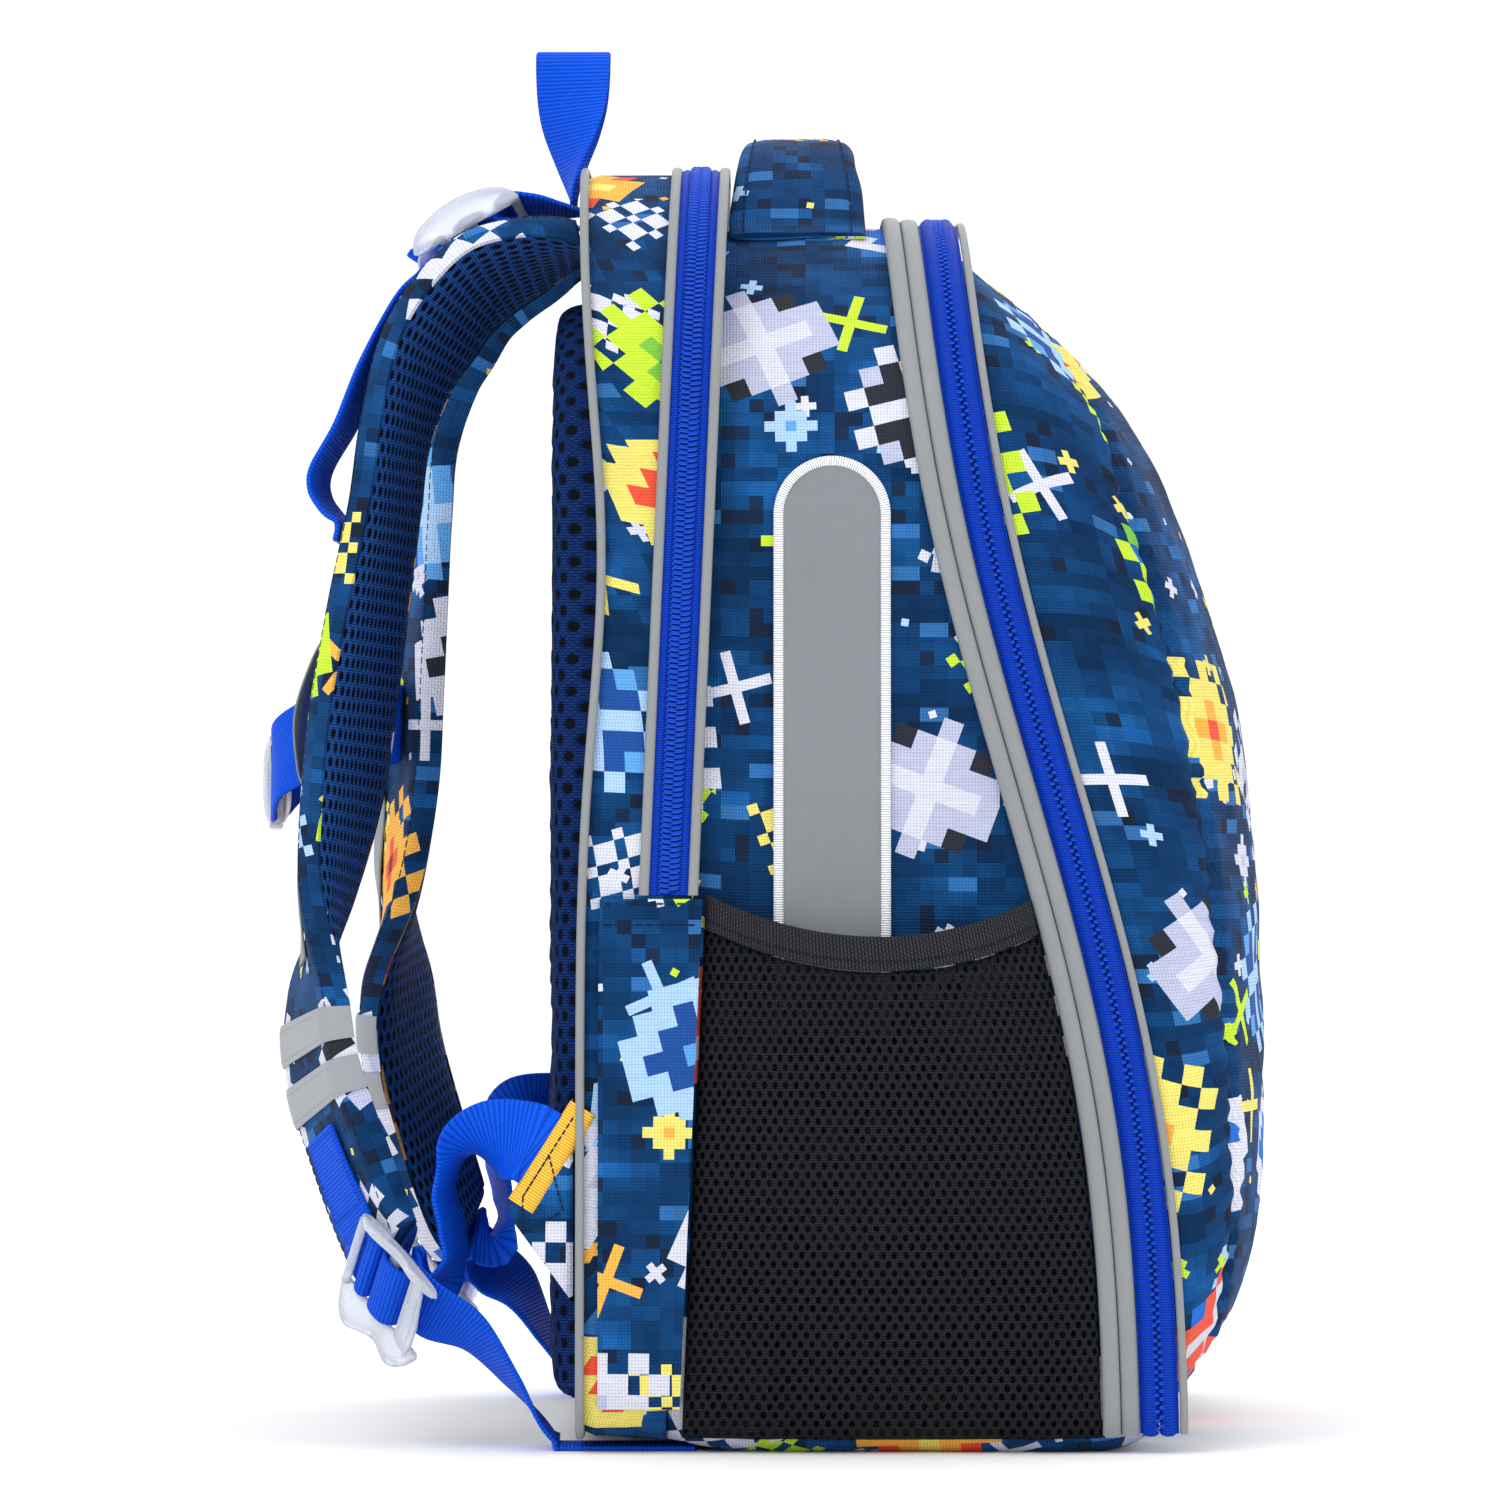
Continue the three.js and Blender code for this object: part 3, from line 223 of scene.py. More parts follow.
class Surface:
    """Gathers grids, tubes and beads in millimetres and turns them into one mesh object."""

    def __init__(self) -> None:
        """Starts with nothing."""
        self.points: list[Array] = []
        self.faces: list[tuple[Array, Array, int]] = []
        self.count = 0

    def add_points(self, points: Array) -> int:
        """Adds points and returns the index of the first.

        Args:
            points: An array of points in any shape.

        Returns:
            The number of the first of them.
        """
        start = self.count
        self.points.append(points.reshape(-1, 3))
        self.count += len(self.points[-1])
        return start

    def grid(self, points: Array, cloth: Array, look: int = 0, flip: bool = False) -> None:
        """Adds a grid of points as four-cornered faces.

        Args:
            points: Rows by columns by three.
            cloth: Rows by columns by two, the place on the cloth in millimetres.
            look: Number of the finish.
            flip: Whether the faces turn round.
        """
        rows, columns = points.shape[:2]
        start = self.add_points(points)
        index = np.arange(rows * columns).reshape(rows, columns)
        corners = [index[:-1, :-1], index[:-1, 1:], index[1:, 1:], index[1:, :-1]]
        quads = np.stack([c.ravel() for c in corners], 1)
        if flip:
            quads = quads[:, ::-1]
        self.faces.append((quads + start, cloth.reshape(-1, 2)[quads], look))

    def sweep(self, rings: Array, around: Array, along: Array, look: int = 0,
              closed: bool = False) -> None:
        """Adds a tube over closed rings of points, with a cap at each open end.

        Args:
            rings: Rows by points round the section by three.
            around: Distance round the section at each point, with one more at the end.
            along: Distance along the tube at each row.
            look: Number of the finish.
            closed: Whether the last ring lies on the first.
        """
        full = np.concatenate([rings, rings[:, :1]], 1)
        cloth = np.stack(np.meshgrid(around, along), -1)
        self.grid(full, cloth, look)
        if closed:
            return
        for row, turn in ((0, False), (len(rings) - 1, True)):
            ring = rings[row]
            centre = ring.mean(0)
            start = self.add_points(np.vstack([ring, centre[None]]))
            count = len(ring)
            index = np.arange(count)
            tris = np.stack([index, (index + 1) % count, np.full(count, count)], 1)
            if turn:
                tris = tris[:, ::-1]
            flat = np.column_stack([around[:count], np.full(count, along[row])])
            flat = np.vstack([flat, flat.mean(0)])
            self.faces.append((tris + start, flat[tris], look))

    def tube(self, path: "Path", section: Array, look: int = 0) -> None:
        """Adds a tube of one section along a path."""
        self.sweep(path.rings(section), around(section), path.run, look)

    def slab(self, top: Array, foot: Array, cloth: Array) -> None:
        """Adds a sheet with thickness: two skins of one shape and the edges between them.

        Args:
            top: The outer skin's grid.
            foot: The inner skin's grid.
            cloth: Each point's place on the cloth.
        """
        self.grid(top, cloth)
        self.grid(foot, cloth)
        for edge in (np.s_[0], np.s_[-1]):
            self.grid(np.stack([top[edge], foot[edge]]), np.stack([cloth[edge]] * 2))
            self.grid(np.stack([top[:, edge], foot[:, edge]]), np.stack([cloth[:, edge]] * 2))

    def scatter(self, bead: Bead, at: Array, along: Array, out: Array, look: int = 0) -> None:
        """Adds one bead at each place.

        Args:
            bead: The shape.
            at: Places.
            along: Direction of each bead's length.
            out: Direction out of the surface at each place.
            look: Number of the finish.
        """
        shape, quads, tris = bead.mesh()
        along = unit(along)
        across = unit(np.cross(out, along))
        up = np.cross(along, across)
        points = (at[:, None] + along[:, None] * shape[None, :, :1]
                  + across[:, None] * shape[None, :, 1:2] + up[:, None] * shape[None, :, 2:])
        start = self.add_points(points)
        shift = np.arange(len(at))[:, None, None] * len(shape) + start
        flat = shape[:, :2]
        for faces in (quads, tris):
            count, sides = faces.shape
            numbers = (faces[None] + shift).reshape(-1, sides)
            cloth = np.broadcast_to(flat[faces][None], (len(at), count, sides, 2)).reshape(-1, sides, 2)
            self.faces.append((numbers, cloth, look))

    def build(self, name: str, finishes: Sequence["Finish"], outward: bool = True,
              crease: float = 48, weld: float = 0.004) -> Piece:
        """Makes the object.

        Args:
            name: The piece's name.
            finishes: The finishes that the faces' numbers point at.
            outward: Whether every shell is closed and its faces are turned out.
            crease: Edges sharper than this many degrees stay sharp.
            weld: Points closer than this become one.

        Returns:
            The object, in the scene.
        """
        mesh = bpy.data.meshes.new(name)
        points = np.concatenate(self.points) * MM
        corners = np.concatenate([faces.ravel() for faces, _, _ in self.faces])
        sizes = np.concatenate([np.full(len(faces), faces.shape[1]) for faces, _, _ in self.faces])
        looks = np.concatenate([np.full(len(faces), look) for faces, _, look in self.faces])
        cloth = np.concatenate([flat.reshape(-1, 2) for _, flat, _ in self.faces])
        mesh.vertices.add(len(points))
        mesh.vertices.foreach_set("co", points.astype(np.float32).ravel())
        mesh.loops.add(len(corners))
        mesh.loops.foreach_set("vertex_index", corners.astype(np.int32))
        mesh.polygons.add(len(sizes))
        starts = np.concatenate([[0], np.cumsum(sizes)[:-1]])
        mesh.polygons.foreach_set("loop_start", starts.astype(np.int32))
        mesh.polygons.foreach_set("material_index", looks.astype(np.int32))
        mesh.update(calc_edges=True)
        layer = mesh.uv_layers.new(name=CLOTH_MAP)
        layer.data.foreach_set("uv", cloth.astype(np.float32).ravel())
        shape = bmesh.new()
        shape.from_mesh(mesh)
        bmesh.ops.remove_doubles(shape, verts=shape.verts, dist=weld * MM)
        bmesh.ops.dissolve_degenerate(shape, edges=shape.edges, dist=weld * MM / 4)
        if outward:
            bmesh.ops.recalc_face_normals(shape, faces=shape.faces)
        shape.to_mesh(mesh)
        shape.free()
        mesh.polygons.foreach_set("use_smooth", np.ones(len(mesh.polygons), bool))
        mesh.set_sharp_from_angle(angle=math.radians(crease))
        for finish in finishes:
            mesh.materials.append(finish.material())
        piece = bpy.data.objects.new(name, mesh)
        bpy.context.scene.collection.objects.link(piece)
        return piece


def thicken(piece: Piece, thickness: float, inward: bool = True) -> None:
    """Gives an open sheet the thickness of its cloth.

    Args:
        piece: The sheet.
        thickness: In millimetres.
        inward: Whether it grows behind the sheet's face.
    """
    solid = piece.modifiers.new("cloth_thickness", "SOLIDIFY")
    solid.thickness = thickness * MM
    solid.offset = -1 if inward else 1
    solid.use_even_offset = True


def hand_over(piece: Piece, finish: "Finish", *nodes: str) -> Piece:
    """Lets a piece ride with the bag in place of its solids.

    Args:
        piece: The dressed piece.
        finish: Its main finish; not used.
        nodes: The solids that it stands for.

    Returns:
        The piece.
    """
    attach(piece, BODY)
    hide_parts(*nodes)
    log.info("%s: %d faces", piece.name, len(piece.data.polygons))
    return piece


def sew(surface: Surface, name: str, node: str, *finishes: "Finish") -> Piece:
    """Makes a closed piece and hands it over with the first of its finishes."""
    return hand_over(surface.build(name, finishes), finishes[0], node)


@dataclass
class Path:
    """A line in space with the direction across its face and the one out of it."""

    at: Array
    across: Array
    out: Array
    width: Array
    thickness: Array

    @classmethod
    def through(cls, points: Sequence[Array], across: Sequence[Array], step: float = 2.0,
                width: Sequence[float] | None = None,
                thickness: Sequence[float] | None = None) -> "Path":
        """Runs smoothly through points.

        Args:
            points: The points, in order.
            across: The direction of the width at each.
            step: Distance between the rows that come out.
            width: Share of the full width at each point.
            thickness: Share of the full thickness at each point.

        Returns:
            The path.
        """
        count = len(points)
        wide = np.ones(count) if width is None else np.array(width, float)
        thick = np.ones(count) if thickness is None else np.array(thickness, float)
        rows = np.column_stack([np.array(points), unit(np.array(across)), wide, thick])
        dense = catmull(rows, np.linspace(0, count - 1, count * 24))
        run = lengths(dense[:, :3])
        even = np.linspace(0, run[-1], max(int(run[-1] / step), 6) + 1)
        rows = np.column_stack([np.interp(even, run, column) for column in dense.T])
        at = rows[:, :3]
        tangent = unit(np.gradient(at, axis=0))
        out = unit(np.cross(tangent, rows[:, 3:6]))
        return cls(at, unit(np.cross(out, tangent)), out, rows[:, 6], rows[:, 7])

    @classmethod
    def plain(cls, at: Array, across: Array, out: Array) -> "Path":
        """A path of full width and thickness; one direction may serve all its rows."""
        ones = np.ones(len(at))
        return cls(at, np.broadcast_to(across, at.shape), np.broadcast_to(out, at.shape), ones, ones)

    @property
    def run(self) -> Array:
        """The distance along the line at each row."""
        return lengths(self.at)

    @property
    def along(self) -> Array:
        """The direction of the line at each row."""
        return unit(np.gradient(self.at, axis=0))

    def place(self, across: float | Array, out: float | Array) -> Array:
        """The points at one distance across and out, for each row."""
        across, out = np.asarray(across), np.asarray(out)
        return self.at + self.across * across[..., None] + self.out * out[..., None]

    def rings(self, section: Array) -> Array:
        """Carries a section along the line.

        Args:
            section: Points as [across, out].

        Returns:
            Rows by section points by three.
        """
        across = section[None, :, :1] * self.width[:, None, None]
        out = section[None, :, 1:] * self.thickness[:, None, None]
        return self.at[:, None] + self.across[:, None] * across + self.out[:, None] * out


def flat_section(width: float, low: float, high: float, columns: int = 8,
                 crown: float = 0.0) -> Array:
    """A flat section with round edges.

    Args:
        width: Its whole width.
        low: Its underside.
        high: Its upper side.
        columns: Steps across.
        crown: How far its middle stands up.

    Returns:
        Closed points as [across, out].
    """
    radius = (high - low) / 2
    flat = width / 2 - radius
    across = np.linspace(-flat, flat, columns + 1)
    rise = crown * (1 - (across / max(flat, 0.1)) ** 2)
    bend = np.linspace(np.pi / 2, -np.pi / 2, 5)[1:-1]
    middle = (high + low) / 2
    right = np.column_stack([flat + radius * np.cos(bend), middle + radius * np.sin(bend)])
    top = np.column_stack([across, high + rise])
    foot = np.column_stack([across[::-1], low + rise[::-1]])
    left = right[::-1] * [-1, 1]
    return np.vstack([top, right, foot, left])


def around(section: Array) -> Array:
    """The distance round a closed section, with the whole way as its last value."""
    return lengths(np.vstack([section, section[:1]]))


def ribbon(surface: Surface, path: Path, width: float, thickness: float, look: int = 0,
           columns: int = 8) -> None:
    """Adds a strip of webbing along a path, centred on it."""
    surface.tube(path, flat_section(width, -thickness / 2, thickness / 2, columns), look)


def webbing_band(name: str, node: str, path: Path, width: float, thickness: float,
                 columns: int = 10) -> Piece:
    """Makes a plain band of webbing along a path.

    Args:
        name: The piece's name.
        node: The solid that it stands for.
        path: Its middle line.
        width: Its whole width.
        thickness: Its thickness.
        columns: Steps across.

    Returns:
        The piece.
    """
    surface = Surface()
    ribbon(surface, path, width, thickness, columns=columns)
    return sew(surface, name, node, WEBBING)


def stitches(surface: Surface, line: Array, out: Array, look: int, pitch: float = 3.2,
             length: float = 2.6, radius: float = 0.32) -> None:
    """Adds a row of stitches along a line.

    Args:
        surface: What they are added to.
        line: The seam's points.
        out: The direction out of the cloth, one for all or one for each point.
        look: Number of the thread's finish.
        pitch: Distance from stitch to stitch.
        length: Length of a stitch.
        radius: Half a thread's thickness.
    """
    run = lengths(line)
    middles = np.arange(pitch / 2, run[-1], pitch)
    if not len(middles):
        return
    read = lambda values, at: np.column_stack([np.interp(at, run, column) for column in values.T])
    at = read(line, middles)
    along = read(line, middles + length / 4) - read(line, middles - length / 4)
    out = unit(read(np.broadcast_to(out, line.shape), middles))
    surface.scatter(Bead(length, radius), at, along, out, look)


class Graph:
    """Adds shader nodes to one tree with short calls."""

    def __init__(self, tree: Tree) -> None:
        """Works on a tree."""
        self.tree = tree

    def feed(self, socket: Socket, value: object) -> None:
        """Links a socket to another, or gives it a value.

        Args:
            socket: The socket.
            value: The other socket, or the value.
        """
        if isinstance(value, Socket):
            self.tree.links.new(value, socket)
        else:
            socket.default_value = value

    def node(self, kind: str, inputs: dict[str | int, object] | None = None,
             **settings: object) -> Node:
        """Adds a node.

        Args:
            kind: Its type.
            inputs: Values or sockets for its inputs.
            settings: Its properties.

        Returns:
            The node.
        """
        node = self.tree.nodes.new(kind)
        for key, value in settings.items():
            setattr(node, key, value)
        for key, value in (inputs or {}).items():
            self.feed(node.inputs[key], value)
        return node

    def math(self, operation: str, *values: object) -> Socket:
        """Adds a Math node and returns its value."""
        return self.node("ShaderNodeMath", dict(enumerate(values)), operation=operation).outputs[0]

    def times(self, a: object, b: object) -> Socket:
        """One value times another."""
        return self.math("MULTIPLY", a, b)

    def plus(self, a: object, b: object) -> Socket:
        """One value and another."""
        return self.math("ADD", a, b)

    def minus(self, a: object, b: object) -> Socket:
        """One value less another."""
        return self.math("SUBTRACT", a, b)

    def over(self, a: object, b: object) -> Socket:
        """One value divided by another."""
        return self.math("DIVIDE", a, b)

    def fit(self, value: object, by: object, more: object) -> Socket:
        """One value times another, and a third added."""
        return self.math("MULTIPLY_ADD", value, by, more)

    def hump(self, value: object) -> Socket:
        """A hump over each whole step of a value."""
        return self.math("SINE", self.times(self.math("FRACT", value), math.pi))

    def effect(self, tree: Tree, **values: object) -> Sequence[Socket]:
        """Places a shared group with its own values and returns its outputs."""
        return self.node("ShaderNodeGroup", values, node_tree=tree).outputs

    def vector(self, operation: str, *values: object) -> Socket:
        """Adds a Vector Math node and returns its vector."""
        return self.node("ShaderNodeVectorMath", dict(enumerate(values)), operation=operation).outputs[0]

    def colour(self, share: object, a: object, b: object, blend: str = "MIX") -> Socket:
        """Mixes two colours."""
        node = self.node("ShaderNodeMix", {0: share, 6: a, 7: b}, data_type="RGBA", blend_type=blend)
        return node.outputs[2]

    def level(self, value: object, low: float, high: float, to_low: float = 0.0,
              to_high: float = 1.0) -> Socket:
        """Maps a range of values to another, held at its ends.

        Args:
            value: The value.
            low: Start of the range.
            high: End of the range.
            to_low: What the start becomes.
            to_high: What the end becomes.

        Returns:
            The mapped value.
        """
        node = self.node("ShaderNodeMapRange", {0: value, 1: low, 2: high, 3: to_low, 4: to_high},
                         interpolation_type="SMOOTHSTEP")
        return node.outputs[0]

    def ramp(self, value: object, stops: Sequence[tuple[float, tuple]],
             interpolation: str = "LINEAR") -> Socket:
        """Adds a colour ramp and returns its colour.

        Args:
            value: The value.
            stops: Places and colours, in order.
            interpolation: How it passes from stop to stop.

        Returns:
            The colour.
        """
        node = self.node("ShaderNodeValToRGB", {0: value})
        band = node.color_ramp
        band.interpolation = interpolation
        band.elements[0].position, band.elements[0].color = stops[0]
        band.elements[1].position, band.elements[1].color = stops[-1]
        for place, shade in stops[1:-1]:
            band.elements.new(place).color = shade
        return node.outputs[0]

    def split(self, value: object) -> tuple[Socket, Socket, Socket]:
        """The three parts of a vector."""
        node = self.node("ShaderNodeSeparateXYZ", {0: value})
        return node.outputs[0], node.outputs[1], node.outputs[2]

    def join(self, x: object, y: object, z: object = 0.0) -> Socket:
        """A vector of three parts."""
        return self.node("ShaderNodeCombineXYZ", {0: x, 1: y, 2: z}).outputs[0]

    def chance(self, place: object) -> tuple[Socket, tuple[Socket, Socket, Socket]]:
        """Even noise at a whole-numbered place: one value, and three more."""
        node = self.node("ShaderNodeTexWhiteNoise", {"Vector": place}, noise_dimensions="3D")
        return node.outputs["Value"], self.split(node.outputs["Color"])

    def noise(self, place: object, scale: float, detail: float = 2.0) -> Socket:
        """Smooth noise from 0 to 1."""
        node = self.node("ShaderNodeTexNoise", {"Vector": place, "Scale": scale, "Detail": detail})
        return node.outputs[0]


def shade(code: str) -> tuple[float, float, float, float]:
    """A colour from its hexadecimal code, in the renderer's linear values.

    Args:
        code: Two digits each for red, green and blue.

    Returns:
        Red, green, blue and a last one for full cover.
    """
    parts = [int(code[i:i + 2], 16) / 255 for i in (0, 2, 4)]
    line = [p / 12.92 if p <= 0.04045 else ((p + 0.055) / 1.055) ** 2.4 for p in parts]
    return (*line, 1.0)


FLOAT, VECTOR, COLOUR = "NodeSocketFloat", "NodeSocketVector", "NodeSocketColor"

# Quarters of the printed motifs, mirrored both ways: 0 bare, 1 light, 2 middle, 3 dark
LARGE_MOTIFS = ("2331 3311 3110 1100", "1112 1222 1230 2000", "3211 2110 1101 1010", "1110 1331 1320 0100")
SMALL_MOTIFS = ("1111 1000 1000 1000", "1001 0110 0110 1001", "2110 1100 1000 0000", "1101 1000 0010 1001")
DOT_MOTIFS = ("1000 0000 0000 0000", "1100 1000 0000 0000", "0101 1000 0000 1000", "1010 0100 1000 0000")


class Effects:
    """The shader groups that the finishes share, each built once."""

    built: dict[str, Tree] = {}

    @classmethod
    def group(cls, name: str, inputs: dict[str, tuple[str, object]], outputs: dict[str, str],
              fill: Callable[[Graph, Sockets], Sockets]) -> Tree:
        """Builds a group, or finds the one that was built before.

        Args:
            name: The group's name.
            inputs: Type and first value of each input.
            outputs: Type of each output.
            fill: Adds the nodes; takes the inputs and returns the outputs.

        Returns:
            The group's tree.
        """
        if name in cls.built:
            return cls.built[name]
        tree = bpy.data.node_groups.new(name, "ShaderNodeTree")
        for label, (kind, value) in inputs.items():
            socket = tree.interface.new_socket(name=label, in_out="INPUT", socket_type=kind)
            if value is not None:
                socket.default_value = value
        for label, kind in outputs.items():
            tree.interface.new_socket(name=label, in_out="OUTPUT", socket_type=kind)
        graph = Graph(tree)
        entry = graph.node("NodeGroupInput")
        results = fill(graph, {label: entry.outputs[label] for label in inputs})
        graph.node("NodeGroupOutput", results)
        cls.built[name] = tree
        return tree

    @classmethod
    def weave(cls) -> Tree:
        """Plain weave: threads that pass over and under each other, with painted shade where they dip.

        Returns:
            The group.
        """

        def fill(g: Graph, inputs: Sockets) -> Sockets:
            """Adds the effect's nodes.

            Args:
                g: The graph that the nodes go into.
                inputs: The group's input sockets.

            Returns:
                The sockets for its outputs.
            """
            u, v, _ = g.split(g.vector("DIVIDE", inputs["Cloth"],
                                       g.join(inputs["Pitch"], inputs["Pitch"], 1.0)))
            parity = g.math("MODULO", g.plus(g.math("FLOOR", u), g.math("FLOOR", v)), 2.0)
            odd = g.math("GREATER_THAN", g.math("ABSOLUTE", parity), 0.5)
            warp = g.times(g.hump(u), g.fit(g.hump(v), 0.45, 0.55))
            weft = g.times(g.hump(v), g.fit(g.hump(u), 0.45, 0.55))
            height = g.node("ShaderNodeMix", {0: odd, 2: warp, 3: weft}).outputs[0]
            slub = g.noise(g.vector("MULTIPLY", inputs["Cloth"], (0.12, 1.1, 1.0)), 1.0)
            # Tone: painted shade, darker where the threads dip and lighter on their crowns, with a random
            # slub of the yarn.
            tone = g.plus(g.times(height, 0.36), g.times(slub, 0.3))
            return {"Height": height, "Tone": g.plus(tone, 0.62)}

        return cls.group("weave", {"Cloth": (VECTOR, None), "Pitch": (FLOAT, 1.0)},
                         {"Height": FLOAT, "Tone": FLOAT}, fill)

    @classmethod
    def ribs(cls) -> Tree:
        """Ribs across a band, broken into stitches along it, with painted shade between the ribs.

        Returns:
            The group.
        """

        def fill(g: Graph, inputs: Sockets) -> Sockets:
            """Adds the effect's nodes.

            Args:
                g: The graph that the nodes go into.
                inputs: The group's input sockets.

            Returns:
                The sockets for its outputs.
            """
            u, v, _ = g.split(inputs["Cloth"])
            row = g.over(v, inputs["Pitch"])
            column = g.plus(g.over(u, inputs["Column"]), g.times(g.math("FLOOR", row), 0.5))
            rib = g.math("POWER", g.hump(row), 0.6)
            across = g.fit(g.hump(column), inputs["Break"], 1.0)
            height = g.times(rib, g.minus(across, inputs["Break"]))
            speck = g.noise(g.vector("MULTIPLY", inputs["Cloth"], (0.9, 0.9, 1.0)), 1.0)
            # Tone: painted shade in the grooves between the ribs, lighter on their crowns, with random
            # specks.
            tone = g.plus(g.times(height, 0.5), g.times(speck, 0.35))
            return {"Height": height, "Tone": g.plus(tone, 0.5)}

        return cls.group("ribs", {"Cloth": (VECTOR, None), "Pitch": (FLOAT, 1.2), "Column": (FLOAT, 1.2),
                                  "Break": (FLOAT, 0.5)}, {"Height": FLOAT, "Tone": FLOAT}, fill)

    @classmethod
    def holes(cls) -> Tree:
        """Round or oval holes in staggered rows.

        Returns:
            The group.
        """

        def fill(g: Graph, inputs: Sockets) -> Sockets:
            """Adds the effect's nodes.

            Args:
                g: The graph that the nodes go into.
                inputs: The group's input sockets.

            Returns:
                The sockets for its outputs.
            """
            wobble = g.noise(inputs["Cloth"], 0.22)
            u, v, _ = g.split(inputs["Cloth"])
            row = g.over(v, inputs["Row"])
            column = g.plus(g.over(u, inputs["Column"]), g.times(g.math("FLOOR", row), 0.5))

            def reach_squared(place: Socket, step: Socket, size: Socket) -> Socket:
                """How far a place lies from its hole's middle, by half the hole's size, squared.

                Args:
                    place: The place in steps.
                    step: Distance from hole to hole.
                    size: The hole's size.

                Returns:
                    One at the hole's rim.
                """
                away = g.times(g.minus(g.math("FRACT", place), 0.5), step)
                share = g.over(away, g.times(size, 0.5))
                return g.math("POWER", g.math("ABSOLUTE", share), 2.0)

            reach = g.math("SQRT", g.plus(reach_squared(column, inputs["Column"], inputs["Width"]),
                                          reach_squared(row, inputs["Row"], inputs["Height"])))
            reach = g.plus(reach, g.fit(wobble, 0.5, -0.25))
            return {"Hole": g.level(reach, 0.82, 1.08, 1.0, 0.0), "Lip": g.level(reach, 0.8, 1.5, 0.0, 1.0)}

        return cls.group("holes", {"Cloth": (VECTOR, None), "Column": (FLOAT, 4.0), "Row": (FLOAT, 3.4),
                                   "Width": (FLOAT, 2.0), "Height": (FLOAT, 2.2)},
                         {"Hole": FLOAT, "Lip": FLOAT}, fill)

    @classmethod
    def handling(cls) -> Tree:
        """Soft dust and rubbing: a slow change of tone and gloss.

        Returns:
            The group.
        """

        def fill(g: Graph, inputs: Sockets) -> Sockets:
            """Adds the effect's nodes.

            Args:
                g: The graph that the nodes go into.
                inputs: The group's input sockets.

            Returns:
                The sockets for its outputs.
            """
            place = g.node("ShaderNodeTexCoord").outputs["Object"]
            broad = g.noise(place, 14.0, 3.0)
            fine = g.noise(place, 260.0, 2.0)
            change = g.plus(g.minus(broad, 0.5), g.times(g.minus(fine, 0.5), 0.6))
            tone = g.fit(change, inputs["Strength"], 1.0)
            return {"Tone": tone, "Dust": g.level(broad, 0.52, 0.78)}

        return cls.group("handling", {"Strength": (FLOAT, 0.2)}, {"Tone": FLOAT, "Dust": FLOAT}, fill)

    @classmethod
    def ground(cls) -> Tree:
        """The printed ground: a navy and blue mosaic with scattered charcoal cells.

        Returns:
            The group.
        """

        def fill(g: Graph, inputs: Sockets) -> Sockets:
            """Adds the effect's nodes.

            Args:
                g: The graph that the nodes go into.
                inputs: The group's input sockets.

            Returns:
                The sockets for its outputs.
            """
            cell = inputs["Cell"]
            u, v, _ = g.split(inputs["Cloth"])
            snap = lambda x, size: g.math("FLOOR", g.over(x, size))
            brick = g.join(snap(u, g.times(cell, 2.0)), snap(v, cell), 3.0)
            square = g.join(snap(u, cell), snap(v, cell), 7.0)
            patch = g.noise(g.vector("MULTIPLY", square, (0.13, 0.17, 1.0)), 1.0, 3.0)
            cloud = g.noise(g.vector("MULTIPLY", inputs["Cloth"], (0.035, 0.05, 1.0)), 1.0)
            brick_chance, (light, _, _) = g.chance(brick)
            square_chance, _ = g.chance(square)
            level = g.plus(g.times(patch, 0.62), g.times(cloud, 0.3))
            level = g.plus(level, g.fit(brick_chance, 0.16, -0.05))
            tones = [(0.0, shade("001A38")), (0.36, shade("00294F")), (0.48, shade("043766")),
                     (0.58, shade("0B4880")), (0.68, shade("165FA6")), (0.8, shade("3F8AD0"))]
            base = g.ramp(level, tones)
            coal = g.math("GREATER_THAN", square_chance, 0.9)
            base = g.colour(g.times(coal, 0.78), base, shade("141A2A"))
            bright = g.times(g.math("GREATER_THAN", light, 0.955), 0.6)
            return {"Color": g.colour(bright, base, shade("3B7DC2"))}

        return cls.group("printed_ground", {"Cloth": (VECTOR, None), "Cell": (FLOAT, 4.4)},
                         {"Color": COLOUR}, fill)

    @classmethod
    def motifs(cls, name: str, sprites: Sequence[str]) -> Tree:
        """Scattered pixel motifs, each turned and placed by chance.

        Args:
            name: The group's name.
            sprites: Four quarters of four by four cells.

        Returns:
            A group with a mask, a tone from light to dark and a tint that picks the colours.
        """

        def strip(pair: Sequence[str]) -> list[tuple[float, tuple]]:
            """Reads two quarters as one strip of tones.

            Args:
                pair: Two quarters.

            Returns:
                The stops of a ramp, from cell to cell.
            """
            cells = "".join(pair).replace(" ", "")
            stops = [(0.0, int(cells[0]))]
            for index, cell in enumerate(cells):
                if int(cell) != stops[-1][1]:
                    stops.append((index / len(cells), int(cell)))
            stops = [(place, (tone / 3, tone / 3, tone / 3, 1.0)) for place, tone in stops]
            return stops if len(stops) > 1 else [*stops, (1.0, stops[0][1])]

        def fill(g: Graph, inputs: Sockets) -> Sockets:
            """Adds the effect's nodes.

            Args:
                g: The graph that the nodes go into.
                inputs: The group's input sockets.

            Returns:
                The sockets for its outputs.
            """
            tile = inputs["Tile"]
            u, v, _ = g.split(inputs["Cloth"])
            row = g.math("FLOOR", g.over(v, tile))
            u = g.plus(u, g.times(g.times(row, 0.37), tile))
            column = g.math("FLOOR", g.over(u, tile))
            _, (right, up, turn) = g.chance(g.join(column, row, inputs["Seed"]))
            pick, (there, tint, _) = g.chance(g.join(row, column, g.plus(inputs["Seed"], 5.0)))

            def local(value: Socket, cell: Socket, slip: Socket) -> Socket:
                """A place from its motif's middle, which slips from the middle of the cell."""
                middle = g.times(g.plus(cell, 0.5), tile)
                return g.minus(g.minus(value, middle), g.times(g.fit(slip, 0.4, -0.2), tile))

